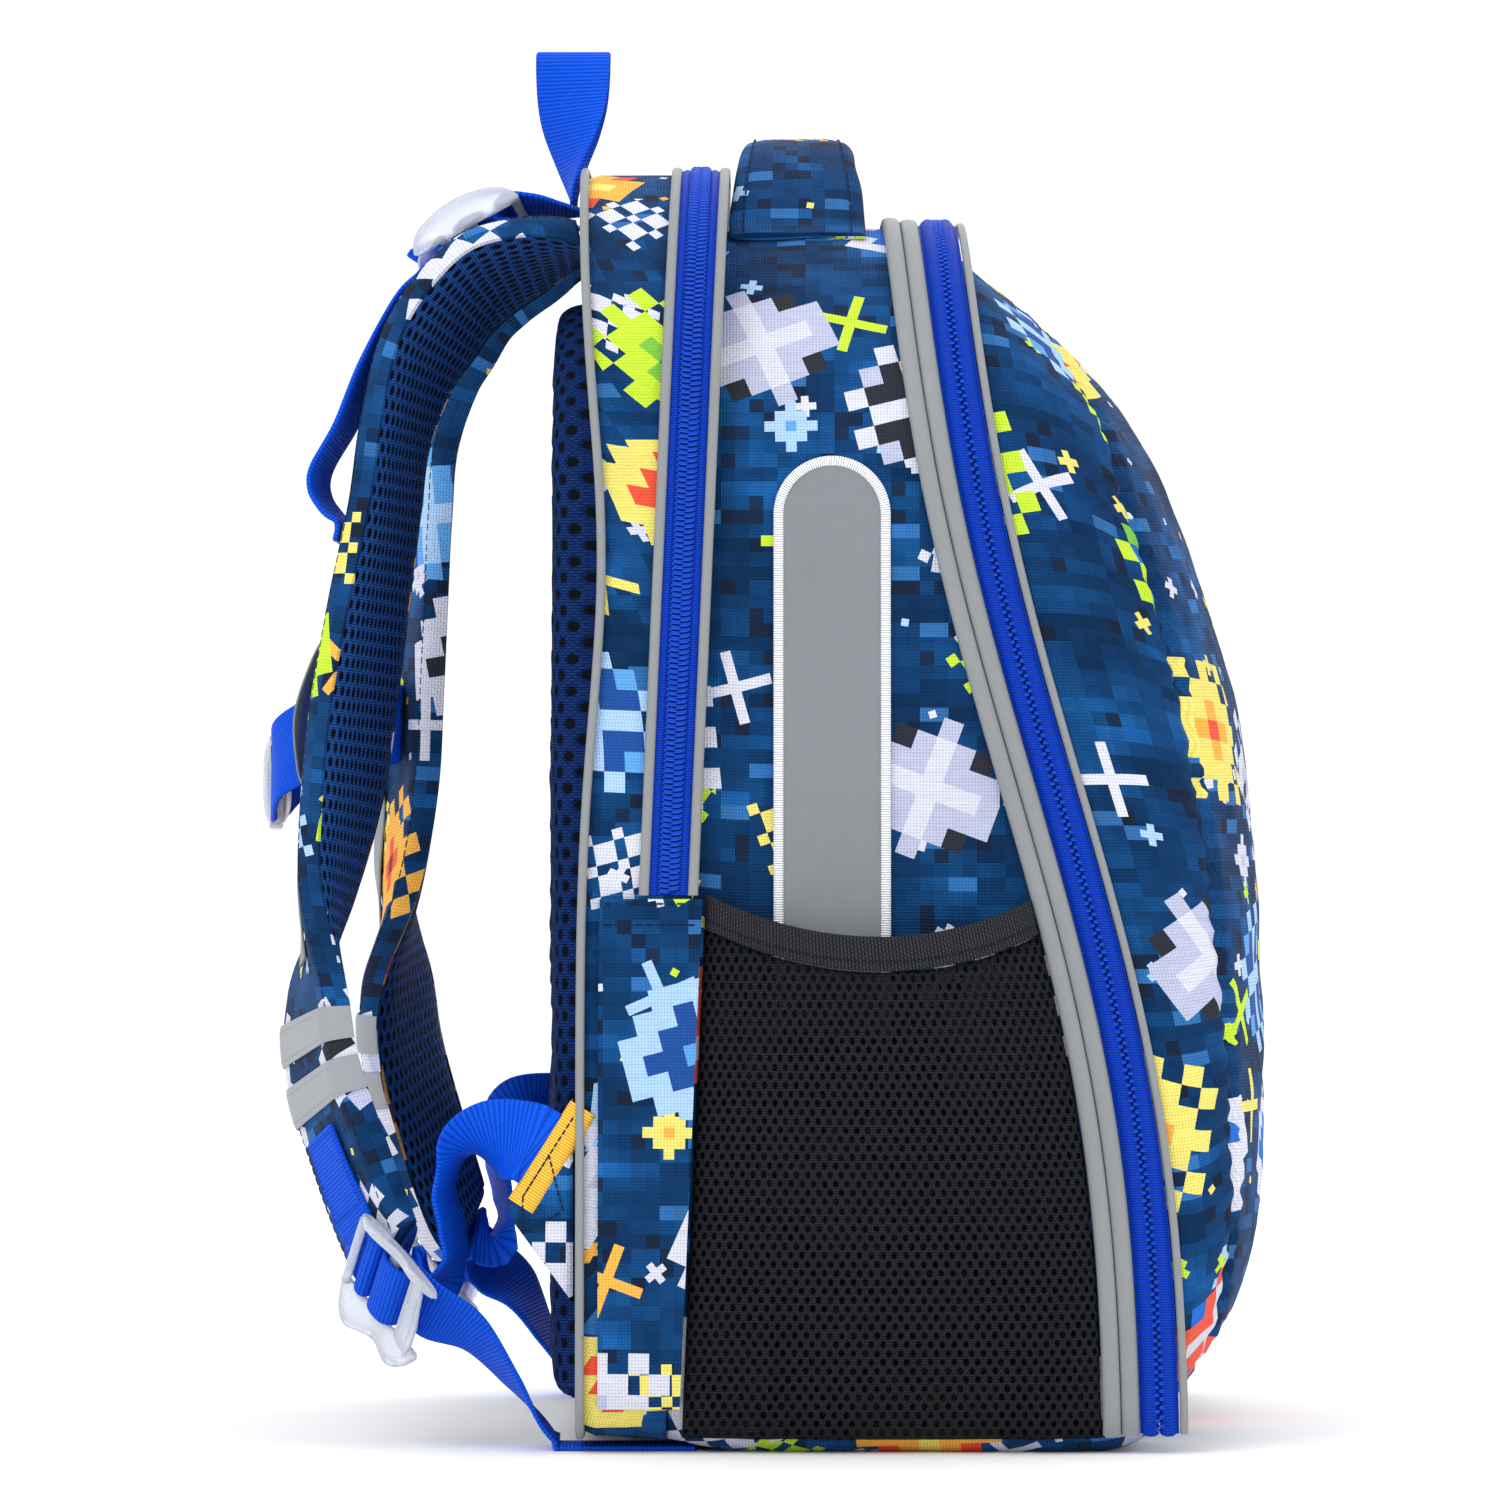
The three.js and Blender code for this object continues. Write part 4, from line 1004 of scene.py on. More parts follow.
            def count(value: Socket) -> Socket:
                """Whole pixels from the motif's middle."""
                steps = g.plus(g.over(value, inputs["Pixel"]), 0.5)
                return g.math("ABSOLUTE", g.math("FLOOR", steps))

            flat = g.join(local(u, column, right), local(v, row, up))
            angle = g.times(g.minus(turn, 0.5), inputs["Turn"])
            flat = g.node("ShaderNodeVectorRotate", {"Vector": flat, "Angle": angle},
                          rotation_type="Z_AXIS").outputs[0]
            x, y, _ = g.split(flat)
            i, j = count(x), count(y)
            inside = g.times(g.math("LESS_THAN", i, 3.5), g.math("LESS_THAN", j, 3.5))
            place = g.plus(g.fit(j, 4.0, i), 0.5)
            second = g.math("GREATER_THAN", g.math("FRACT", g.times(pick, 2.0)), 0.5)
            place = g.over(g.fit(second, 16.0, place), 32.0)
            first_pair = g.ramp(place, strip(sprites[:2]), "CONSTANT")
            last_pair = g.ramp(place, strip(sprites[2:]), "CONSTANT")
            tone = g.split(g.colour(g.math("GREATER_THAN", pick, 0.5), first_pair, last_pair))[0]
            shown = g.times(inside, g.math("LESS_THAN", there, inputs["Share"]))
            return {"Mask": g.times(shown, g.math("GREATER_THAN", tone, 0.1)),
                    "Tone": tone, "Tint": tint}

        inputs = {"Cloth": (VECTOR, None), "Pixel": (FLOAT, 4.0), "Tile": (FLOAT, 60.0),
                  "Turn": (FLOAT, 1.5), "Share": (FLOAT, 0.7), "Seed": (FLOAT, 0.0)}
        return cls.group(name, inputs, {"Mask": FLOAT, "Tone": FLOAT, "Tint": FLOAT}, fill)

    @classmethod
    def motif_colours(cls) -> Tree:
        """The colours of a motif's light, middle and dark cells.

        Returns:
            The group.
        """

        def fill(g: Graph, inputs: Sockets) -> Sockets:
            """Adds the effect's nodes.

            Args:
                g: The graph that the nodes go into.
                inputs: The group's input sockets.

            Returns:
                The sockets for its outputs.
            """
            families = [(0.0, "D6D8E8", "B9BEDA", "2B2D38"), (0.3, "EEDF74", "F6B24C", "F0563E"),
                        (0.5, "A9CCF2", "5FA3E4", "1F4F9C"), (0.64, "C6E83C", "7FC24A", "1F6FC4"),
                        (0.78, "F6B650", "F0603F", "8E2F3A"), (0.9, "DADBEA", "F0604A", "2C6FD0")]
            light, middle, dark = (
                g.ramp(inputs["Tint"], [(row[0], shade(row[part])) for row in families], "CONSTANT")
                for part in (1, 2, 3))
            inner = g.colour(g.math("GREATER_THAN", inputs["Tone"], 0.5), light, middle)
            return {"Color": g.colour(g.math("GREATER_THAN", inputs["Tone"], 0.85), inner, dark)}

        return cls.group("motif_colours", {"Tone": (FLOAT, 0.5), "Tint": (FLOAT, 0.5)},
                         {"Color": COLOUR}, fill)


@dataclass(frozen=True)
class Finish:
    """A surface finish: its name, its slot in the record and what its shader needs."""

    name: str
    slot: str
    roughness: float = 0.7
    specular: float = 0.1

    built: ClassVar[dict[str, bpy.types.Material]] = {}

    def material(self) -> bpy.types.Material:
        """Builds the material, or finds the one that was built before.

        Returns:
            The material.
        """
        if self.name in Finish.built:
            return Finish.built[self.name]
        material = bpy.data.materials.new(self.name)
        Finish.built[self.name] = material
        material.use_nodes = True
        graph = Graph(material.node_tree)
        shader = material.node_tree.nodes["Principled BSDF"]
        shader.inputs["Roughness"].default_value = self.roughness
        shader.inputs["Specular IOR Level"].default_value = self.specular
        self.dress(graph, shader)
        return material

    def cloth(self, g: Graph) -> Socket:
        """The place on the cloth, in millimetres."""
        return g.node("ShaderNodeUVMap", uv_map=CLOTH_MAP).outputs[0]

    def bump(self, g: Graph, shader: Node, height: Socket, depth: float,
             strength: float = 1.0) -> None:
        """Raises the surface by a height field, as deep as depth in millimetres."""
        bump = g.node("ShaderNodeBump", {"Height": height, "Distance": depth * MM, "Strength": strength})
        g.feed(shader.inputs["Normal"], bump.outputs[0])

    def paint(self, g: Graph, shader: Node, colour: object, tone: Socket) -> None:
        """Gives the shader a colour, darker or lighter by a tone round one."""
        g.feed(shader.inputs["Base Color"], self.tint(g, colour, tone))

    def tint(self, g: Graph, colour: object, tone: Socket) -> Socket:
        """Darkens or lightens a colour by a tone round one."""
        return g.vector("MULTIPLY", colour, g.join(tone, tone, tone))

    def dress(self, g: Graph, shader: Node) -> None:
        """Adds the finish's own nodes."""
        raise NotImplementedError


@dataclass(frozen=True)
class PrintedCanvas(Finish):
    """Canvas printed with a pixel mosaic."""

    seed: float = 0.0
    share: float = 0.85
    weave_pitch: float = 1.0

    def dress(self, g: Graph, shader: Node) -> None:
        """Lays the motifs over the ground and weaves it.

        Args:
            g: The graph that the nodes go into.
            shader: The material's shader.
        """
        cloth = self.cloth(g)
        place = g.vector("ADD", cloth, (431.0 + self.seed * 97, 217.0 + self.seed * 61, 0.0))
        weave = g.effect(Effects.weave(), Cloth=cloth, Pitch=self.weave_pitch)
        colour = g.effect(Effects.ground(), Cloth=place)["Color"]
        layers = [("dot_motifs", DOT_MOTIFS, 2.3, 23.0, 1.4, 0.5),
                  ("small_motifs", SMALL_MOTIFS, 3.3, 41.0, 1.2, 0.62),
                  ("large_motifs", LARGE_MOTIFS, 6.4, 66.0, 1.0, self.share)]
        for step, (name, sprites, pixel, tile, turn, share) in enumerate(layers):
            motif = g.effect(Effects.motifs(name, sprites), Cloth=place, Pixel=pixel, Tile=tile,
                             Turn=turn, Share=share, Seed=self.seed * 3 + step)
            hue = g.effect(Effects.motif_colours(), Tone=motif["Tone"], Tint=motif["Tint"])
            colour = g.colour(motif["Mask"], colour, hue["Color"])
        use = g.effect(Effects.handling(), Strength=0.22)
        # The weave's tone is painted shade between the threads; the handling tone is random dust and
        # rubbing.
        self.paint(g, shader, colour, g.times(weave["Tone"], use["Tone"]))
        g.feed(shader.inputs["Roughness"], g.level(weave["Height"], 0.0, 1.0, 0.86, 0.62))
        self.bump(g, shader, weave["Height"], 0.3, 0.7)
        shader.inputs["Sheen Weight"].default_value = 0.02


@dataclass(frozen=True)
class HoledMesh(Finish):
    """Knitted mesh with staggered rows of round or oval holes."""

    column: float = 4.3
    row: float = 4.6
    wide: float = 2.2
    high: float = 3.2
    # dark and light: the yarn's colour with painted shade in the knit's dips and painted sheen on its
    # crowns; hole: painted shade in the holes
    dark: str = "04122F"
    light: str = "2860B4"
    hole: str = "040812"
    knit_pitch: float = 0.9
    knit_column: float = 1.1
    knit_relief: float = 0.25
    depth: float = 0.9
    see_through: float = 0.0

    def dress(self, g: Graph, shader: Node) -> None:
        """Sinks holes between knitted ridges and paints shade into them, partly clear ones where it is a
        net; the knit gets painted shade and sheen.

        Args:
            g: The graph that the nodes go into.
            shader: The material's shader.
        """
        cloth = self.cloth(g)
        holes = g.effect(Effects.holes(), Cloth=cloth, Column=self.column, Row=self.row,
                         Width=self.wide, Height=self.high)
        knit = g.effect(Effects.ribs(), Cloth=cloth, Pitch=self.knit_pitch, Column=self.knit_column)
        # Painted shade and sheen: dark in the knit's dips, light on its crowns.
        thread = g.colour(knit["Height"], shade(self.dark), shade(self.light))
        # The holes are painted a near-black shade colour.
        colour = g.colour(holes["Hole"], self.tint(g, thread, knit["Tone"]), shade(self.hole))
        g.feed(shader.inputs["Base Color"], colour)
        if self.see_through:
            g.feed(shader.inputs["Alpha"], g.fit(holes["Hole"], -self.see_through, 1.0))
        self.bump(g, shader, g.plus(holes["Lip"], g.times(knit["Height"], self.knit_relief)), self.depth)


@dataclass(frozen=True)
class Woven(Finish):
    """Narrow woven goods: webbing, zip tape, elastic or satin stitch."""

    colour: str = "034FD2"
    # low: painted shade, the colour of the grooves between the ribs
    low: str = "033EBA"
    pitch: float = 1.25
    column: float = 1.6
    broken: float = 0.18
    depth: float = 0.22

    def dress(self, g: Graph, shader: Node) -> None:
        """Ribs the band, with painted shade in its grooves and a painted highlight on its crowns, which are
        also glossier.

        Args:
            g: The graph that the nodes go into.
            shader: The material's shader.
        """
        ribs = g.effect(Effects.ribs(), Cloth=self.cloth(g), Pitch=self.pitch, Column=self.column,
                        Break=self.broken)
        use = g.effect(Effects.handling(), Strength=0.18)
        # Painted shade and highlight: the low colour in the grooves, the full colour on the rib crowns.
        thread = g.colour(ribs["Height"], shade(self.low), shade(self.colour))
        self.paint(g, shader, thread, g.times(ribs["Tone"], use["Tone"]))
        dull = min(self.roughness + 0.15, 1.0)
        g.feed(shader.inputs["Roughness"], g.level(ribs["Height"], 0.0, 1.0, dull, self.roughness))
        self.bump(g, shader, ribs["Height"], self.depth)


@dataclass(frozen=True)
class Reflective(Finish):
    """Grey retroreflective film with a fine grain."""

    colour: str = "7D8287"
    grain: float = 2.2
    metal: float = 0.12

    def dress(self, g: Graph, shader: Node) -> None:
        """Grains the film.

        Args:
            g: The graph that the nodes go into.
            shader: The material's shader.
        """
        speck = g.noise(self.cloth(g), self.grain, 3.0)
        use = g.effect(Effects.handling(), Strength=0.14)
        self.paint(g, shader, shade(self.colour)[:3], g.times(use["Tone"], g.fit(speck, 0.16, 0.92)))
        g.feed(shader.inputs["Roughness"],
               g.level(speck, 0.3, 0.7, self.roughness - 0.06, self.roughness + 0.1))
        self.bump(g, shader, speck, 0.05)
        shader.inputs["Metallic"].default_value = self.metal


@dataclass(frozen=True)
class MilkyPlastic(Finish):
    """Moulded plastic, nearly clear, with milky depth."""

    def dress(self, g: Graph, shader: Node) -> None:
        """Clouds the plastic a little.

        Args:
            g: The graph that the nodes go into.
            shader: The material's shader.
        """
        place = g.node("ShaderNodeTexCoord").outputs["Object"]
        cloud = g.noise(place, 90.0, 2.0)
        g.feed(shader.inputs["Base Color"], g.colour(cloud, shade("DCE3EF"), shade("F0F3F9")))
        g.feed(shader.inputs["Roughness"], g.level(cloud, 0.3, 0.7, 0.2, 0.34))
        self.bump(g, shader, g.noise(place, 500.0), 0.04)
        shader.inputs["Transmission Weight"].default_value = 0.5
        shader.inputs["IOR"].default_value = 1.42


@dataclass(frozen=True)
class Thread(Finish):
    """Sewing thread with a twist."""

    colour: str = "E8EAF0"

    def dress(self, g: Graph, shader: Node) -> None:
        """Twists the thread, with painted shade along the grooves of the twist.

        Args:
            g: The graph that the nodes go into.
            shader: The material's shader.
        """
        u, v, _ = g.split(self.cloth(g))
        turn = g.math("SINE", g.plus(g.times(u, 9.0), g.times(v, 6.0)))
        # Painted shade: darker along the twist's grooves, lighter on its ridges.
        self.paint(g, shader, shade(self.colour)[:3], g.fit(turn, 0.14, 0.9))
        self.bump(g, shader, turn, 0.08)


@dataclass(frozen=True)
class Enamel(Finish):
    """Painted zip metal, rubbed at random."""

    colour: str = "0C36B8"

    def dress(self, g: Graph, shader: Node) -> None:
        """Rubs the paint.

        Args:
            g: The graph that the nodes go into.
            shader: The material's shader.
        """
        use = g.effect(Effects.handling(), Strength=0.3)
        self.paint(g, shader, g.colour(use["Dust"], shade(self.colour), shade("2E5BD0")), use["Tone"])
        g.feed(shader.inputs["Roughness"], g.level(use["Dust"], 0.0, 1.0, 0.25, 0.45))
        shader.inputs["Metallic"].default_value = 0.6


PRINT, PRINT_REAR, PRINT_FRONT, PRINT_PANEL, PRINT_STRAP, PRINT_HANDLE, PRINT_WING = (
    PrintedCanvas(f"printed_canvas{part}", "printed_fabric", 0.8, seed=float(number))
    for number, part in enumerate(("", "_gusset", "_front", "_panel", "_strap", "_handle", "_wing")))
# Each mesh's dark, light and hole colours carry painted shade and sheen on the knit and painted shade in
# the holes.
MESH = HoledMesh("air_mesh", "spacer_mesh", 0.85)
BACK_MESH = HoledMesh("air_mesh_back", "spacer_mesh", 0.85, column=3.4, row=5.0, wide=1.5, high=3.4,
                      dark="030F26", light="0F3270")
NET = HoledMesh("pocket_net", "black_mesh", 0.8, 0.06, column=3.5, row=2.8, wide=1.7, high=2.3,
                dark="08090C", light="292A30", hole="040406", knit_pitch=0.8, knit_column=1.0,
                knit_relief=0.4, depth=0.5, see_through=0.3)
# Each woven finish's low colour is painted shade for the grooves between its ribs.
WEBBING = Woven("blue_webbing", "webbing", 0.62)
ZIP_TAPE = Woven("zip_tape", "zip", 0.5, 0.1, colour="033CBC", low="02237F", pitch=0.8, column=0.9,
                 depth=0.18, broken=0.5)
ZIP_TEETH = Woven("zip_coil", "zip", 0.4, 0.2, colour="1C60E0", low="0636B4", pitch=3.0, column=3.0,
                  depth=0.08)
SATIN = Woven("satin_border", "stitched_border", 0.5, colour="F4F5F9", low="C4C8D4", pitch=0.75,
              column=6.0, depth=0.35)
ELASTIC = Woven("ribbed_elastic", "elastic", 0.75, colour="37383F", low="141519", pitch=1.1, column=1.4,
                depth=0.5, broken=0.5)
YELLOW_HEM = Woven("yellow_hem", "printed_fabric", 0.75, colour="F6C64E", low="E09A2C", pitch=0.9,
                   column=0.9, depth=0.2, broken=0.5)
PIPING = Reflective("grey_piping", "reflective", 0.5, 0.2, colour="8A8D8F", metal=0.08)
FILM = Reflective("reflective_film", "reflective", 0.42, 0.25)
BAR_FILM = Reflective("bar_film", "reflective", 0.42, 0.25, colour="94989D")
PLASTIC = MilkyPlastic("milky_plastic", "clear_plastic", 0.26, 0.5)
ENAMEL = Enamel("zip_enamel", "slider", 0.3, 0.5)
WHITE_THREAD = Thread("white_thread", "stitched_border", 0.6)
GREY_THREAD = Thread("grey_thread", "reflective", 0.6, colour="B8BABC")
NAVY_THREAD = Thread("navy_thread", "printed_fabric", 0.6, colour="1A2747")
BLUE_THREAD = Thread("blue_thread", "webbing", 0.6, colour="1C4CD6")
BLACK_THREAD = Thread("black_thread", "elastic", 0.7, colour="23252E")

# Sizes that several parts share, in millimetres
TOP_CORNER = 84.0
BOTTOM_CORNER = 14.0
WALL = 3.0
REAR_RISE = 7.0
STEP_SIDE = 4.0
STEP_TOP = 17.5
SHELL_CLOTH = 1.4
ON_FLOOR = 0.85
ALONG_X, ALONG_Y = vector(1, 0, 0), vector(0, 1, 0)


@dataclass(frozen=True)
class Outline:
    """The bag's outline seen from the front: lines and arcs, wider at the foot than the shoulders."""

    foot: float
    shoulder: float
    top: float
    bottom: float = 0.0
    grow: float = 0.0

    SIDE_STEPS = 126
    CORNER_STEPS = 42
    TOP_STEPS = 14
    FOOT_STEPS = 5
    BASE_STEPS = 40

    def grown(self, by: float) -> "Outline":
        """The outline, larger by a distance all round."""
        return replace(self, foot=self.foot + by, shoulder=self.shoulder + by, top=self.top + by,
                       bottom=self.bottom - by, grow=self.grow + by)

    @property
    def top_corner(self) -> float:
        """Radius of the upper corners."""
        return TOP_CORNER + self.grow

    @property
    def foot_corner(self) -> float:
        """Radius of the lower corners."""
        return max(BOTTOM_CORNER + self.grow, 1.0)

    def half_width(self, z: Array) -> Array:
        """Half the width at each height.

        Args:
            z: Heights.

        Returns:
            Half widths.
        """
        z = np.asarray(z, float)
        low, high = self.bottom + self.foot_corner, self.top - self.top_corner
        arc = lambda radius, away: radius - np.sqrt(np.maximum(radius**2 - np.maximum(away, 0) ** 2, 0))
        straight = mix(self.foot, self.shoulder, np.clip((z - low) / (high - low), 0, 1))
        return straight - arc(self.foot_corner, low - z) - arc(self.top_corner, z - high)

    def top_at(self, y: float) -> float:
        """The height of the top at a distance from the middle."""
        beyond = max(abs(y) - (self.shoulder - self.top_corner), 0.0)
        return self.top - self.top_corner + math.sqrt(self.top_corner**2 - beyond**2)

    def arch(self, start: float) -> Array:
        """The arch from a height on the left over the top to the right, as [y, z].

        Args:
            start: The height where it starts and ends.

        Returns:
            Points in order.
        """
        high = self.top - self.top_corner
        rise = np.linspace(start, high, self.SIDE_STEPS + 1)
        side = np.column_stack([self.half_width(rise), rise])
        turn = np.linspace(0, np.pi / 2, self.CORNER_STEPS + 1)[1:]
        inner = self.shoulder - self.top_corner
        corner = np.column_stack([inner + self.top_corner * np.cos(turn),
                                  high + self.top_corner * np.sin(turn)])
        across = np.linspace(inner, 0, self.TOP_STEPS + 1)[1:]
        top = np.column_stack([across, np.full(len(across), self.top)])
        right = np.vstack([side, corner, top])
        return np.vstack([right * [-1, 1], right[::-1][1:]])

    def whole(self) -> Array:
        """The whole outline as [y, z], closed under the base, its last point on its first.

        Returns:
            Points in order.
        """
        low, flat = self.bottom + self.foot_corner, self.foot - self.foot_corner
        turn = np.linspace(0, np.pi / 2, self.FOOT_STEPS + 1)[:-1]
        corner = np.column_stack([flat + self.foot_corner * np.sin(turn),
                                  low - self.foot_corner * np.cos(turn)])
        across = np.linspace(0, flat, self.BASE_STEPS + 1)[:-1]
        base = np.column_stack([across, np.full(len(across), self.bottom)])
        right = np.vstack([base, corner])
        return np.vstack([right * [-1, 1], self.arch(low), right[::-1]])


REAR = Outline(BODY_WIDTH / 2, BODY_WIDTH / 2 - 17.0, BODY_HEIGHT)
MIDDLE = Outline(REAR.foot - STEP_SIDE, REAR.shoulder - STEP_SIDE, BODY_HEIGHT - STEP_TOP)


@dataclass(frozen=True)
class Lean:
    """A line of the side view: its depth at the foot and the top, and how far it hollows and bows."""

    foot: float
    top: float
    hollow: float = 0.0
    bow: float = 0.0

    BACK_HOLLOW = 6.5
    ZIP_BOW = 11.4

    def at(self, z: Array) -> Array:
        """The line's X at each height.

        Args:
            z: Heights.

        Returns:
            Depths.
        """
        h = np.asarray(z, float) / BODY_HEIGHT
        inside = np.clip(h, 0, 1)
        hollow = self.BACK_HOLLOW * np.exp(-(((h - 0.69) / 0.17) ** 2))
        bow = self.ZIP_BOW * (0.65 * np.sin(2 * np.pi * inside) + 0.35 * np.sin(np.pi * inside))
        return BACK_X + BODY_DEPTH * mix(self.foot, self.top, h) + self.hollow * hollow + self.bow * bow


BACK_FACE = Lean(0, 0, 1)
BACK_EDGE = Lean(0.024, 0.024, 0.9)
REAR_ZIP_LINE = Lean(0.095, 0.174)
REAR_END = Lean(0.124, 0.206)
FRONT_ZIP_LINE = Lean(0.83, 0.5124, 0, 1)


def station(flat: Array, line: Lean, shift: float = 0.0) -> Array:
    """Lifts an outline's [y, z] points to the depth that a line of the side view gives."""
    return np.column_stack([line.at(flat[:, 1]) + shift, flat])


def pucker(distance: Array, run: Array, pitch: float, reach: float, seed: int) -> Array:
    """The little gathers beside a seam: full at the seam and gone at its reach.

    Args:
        distance: Distance from the seam.
        run: Distance along the seam.
        pitch: Distance from gather to gather.
        reach: Where the gathers have almost gone.
        seed: Picks the noise that shifts them.

    Returns:
        How far out the cloth lies, from -1 to 1.
    """
    drift = ripple(run, np.full_like(run, seed), 23.0, seed)
    wave = np.sin(2 * np.pi * run / pitch + 3.0 * drift)
    return wave * np.exp(-((distance / reach) ** 2))


@dataclass
class BagBody:
    """The three shells of the bag."""

    wrinkle: float = 0.75
    fine_wrinkle: float = 0.28
    seam_pucker: float = 0.45
    panel_seam: float = 0.915
    front_middle: float = 0.42
    # Height and how far forward, as shares of the bag's height and depth
    front_profile: Table = (
        (0.018, 0.8), (0.024, 0.82), (0.04, 0.862), (0.08, 0.92), (0.105, 0.955), (0.166, 0.99),
        (0.249, 1.0), (0.331, 0.998), (0.454, 0.988), (0.561, 0.966), (0.626, 0.936), (0.717, 0.884),
        (0.799, 0.81), (0.848, 0.735), (0.897, 0.631), (0.934, 0.542), (0.956, 0.512))
    # Depth at the foot and the top, bow, height of the foot and swell
    stations: Table = (
        (0.124, 0.206, 0, REAR_RISE / 2, 0), (0.24, 0.245, 0, 0, 0.6), (0.47, 0.35, 0.4, 0, 1),
        (0.75, 0.45, 0.9, 0, 0.5), (0.83, 0.5124, 1, 8, 0))
    side_swell: float = 2.0

    def rear(self) -> Piece:
        """The rear shell: back wall, rounded edge, gusset and lip.

        Returns:
            The piece.
        """
        back = replace(REAR.grown(-2), bottom=REAR_RISE + 1)
        edge = replace(REAR, bottom=REAR_RISE - 2)
        end = replace(REAR, bottom=REAR_RISE / 2)
        lip = replace(MIDDLE, bottom=REAR_RISE / 2).grown(-WALL)
        wall = station(back.whole(), BACK_FACE)
        centre = wall.mean(0)
        rows = [centre + (wall - centre) * share for share in np.linspace(0.02, 0.98, 12)]
        for row in rows:
            row[:, 0] = BACK_FACE.at(row[:, 2])
        edge_ring = station(edge.whole(), BACK_EDGE)
        turn = [mix(wall, edge_ring, t) - vector(0.8 * math.sin(math.pi * t), 0, 0)
                for t in (0, 0.35, 0.7)]
        end_ring = station(end.whole(), REAR_END)
        gusset = [mix(edge_ring, end_ring, t) for t in np.linspace(0, 1, 20)]
        lip_ring = station(lip.whole(), REAR_END)
        rolled = [mix(end_ring, lip_ring, t) for t in (0.2, 0.6, 1)]
        points = np.array([*rows, *turn, *gusset, *rolled])
        run = np.broadcast_to(lengths(points[len(rows) + 8])[None], points.shape[:2])
        down = column_lengths(points)
        out = normals(points, wrap=True)
        out *= np.sign((out[len(rows) + 10] * (points[len(rows) + 10] - centre)).sum())
        first, last = len(rows) + len(turn), len(rows) + len(turn) + len(gusset) - 1
        inside = np.zeros(points.shape[:2])
        inside[first:last + 1] = np.sin(np.pi * np.linspace(0, 1, len(gusset)))[:, None]
        amount = inside * (self.wrinkle * 0.6 * ripple(down, run, 17, 3)
                           + self.fine_wrinkle * ripple(down, run, 6, 4))
        seam = np.abs(down - down[first])
        amount = amount + self.seam_pucker * 0.5 * pucker(seam, run, 8.0, 4.0, 5) * inside
        surface = Surface()
        surface.grid(self.worked(points, out, amount), np.stack([down, run], -1))
        return self.hand_over_shell("rear", surface, PRINT_REAR)

    def worked(self, points: Array, out: Array, amount: Array) -> Array:
        """Moves a closed band of cloth out by an amount that meets itself at the seam."""
        amount[:, -1] = amount[:, 0]
        return points + out * amount[..., None]

    def hand_over_shell(self, word: str, surface: Surface, *looks: Finish) -> Piece:
        """Makes a shell's cloth, as thick as it is, with its face to the outside.

        Args:
            word: The shell's name.
            surface: Its meshes.
            looks: Its finishes, the main one first.

        Returns:
            The piece.
        """
        piece = surface.build(f"{word}_shell_cloth", looks, outward=False)
        self.face_out(piece)
        thicken(piece, SHELL_CLOTH)
        return hand_over(piece, looks[0], f"{word}_shell")

    def face_out(self, piece: Piece) -> None:
        """Turns an open shell so that its faces look away from the bag's middle.

        Args:
            piece: The shell.
        """
        centre = np.array([BACK_X + BODY_DEPTH * 0.42, 0, BODY_HEIGHT * 0.46]) * MM
        mesh = piece.data
        middles, directions = (np.empty(len(mesh.polygons) * 3, np.float32) for _ in range(2))
        mesh.polygons.foreach_get("center", middles)
        mesh.polygons.foreach_get("normal", directions)
        away = ((middles.reshape(-1, 3) - centre) * directions.reshape(-1, 3)).sum()
        if away < 0:
            mesh.flip_normals()

    def middle_outline(self, row: Sequence[float]) -> Outline:
        """The middle compartment's outline at a station.

        Args:
            row: A row of the stations.

        Returns:
            The outline.
        """
        swell = row[4] * self.side_swell
        return replace(MIDDLE, foot=MIDDLE.foot + swell, shoulder=MIDDLE.shoulder + swell,
                       bottom=row[3])

    def side_at(self, x: Array, z: Array) -> Array:
        """How far the side of the middle compartment stands out at each (x, z).

        Args:
            x: Depths.
            z: Heights.

        Returns:
            Half widths.
        """
        x, z = np.broadcast_arrays(np.asarray(x, float), np.asarray(z, float))
        lines = [Lean(row[0], row[1], 0, row[2]).at(z) for row in self.stations]
        widths = [replace(self.middle_outline(row), bottom=0.0).half_width(z) for row in self.stations]
        found = np.array(widths[0], float)
        for (x0, w0), (x1, w1) in zip(zip(lines, widths), zip(lines[1:], widths[1:])):
            share = np.clip((x - x0) / (x1 - x0), 0, 1)
            found = np.where(x > x0, mix(w0, w1, share), found)
        return found

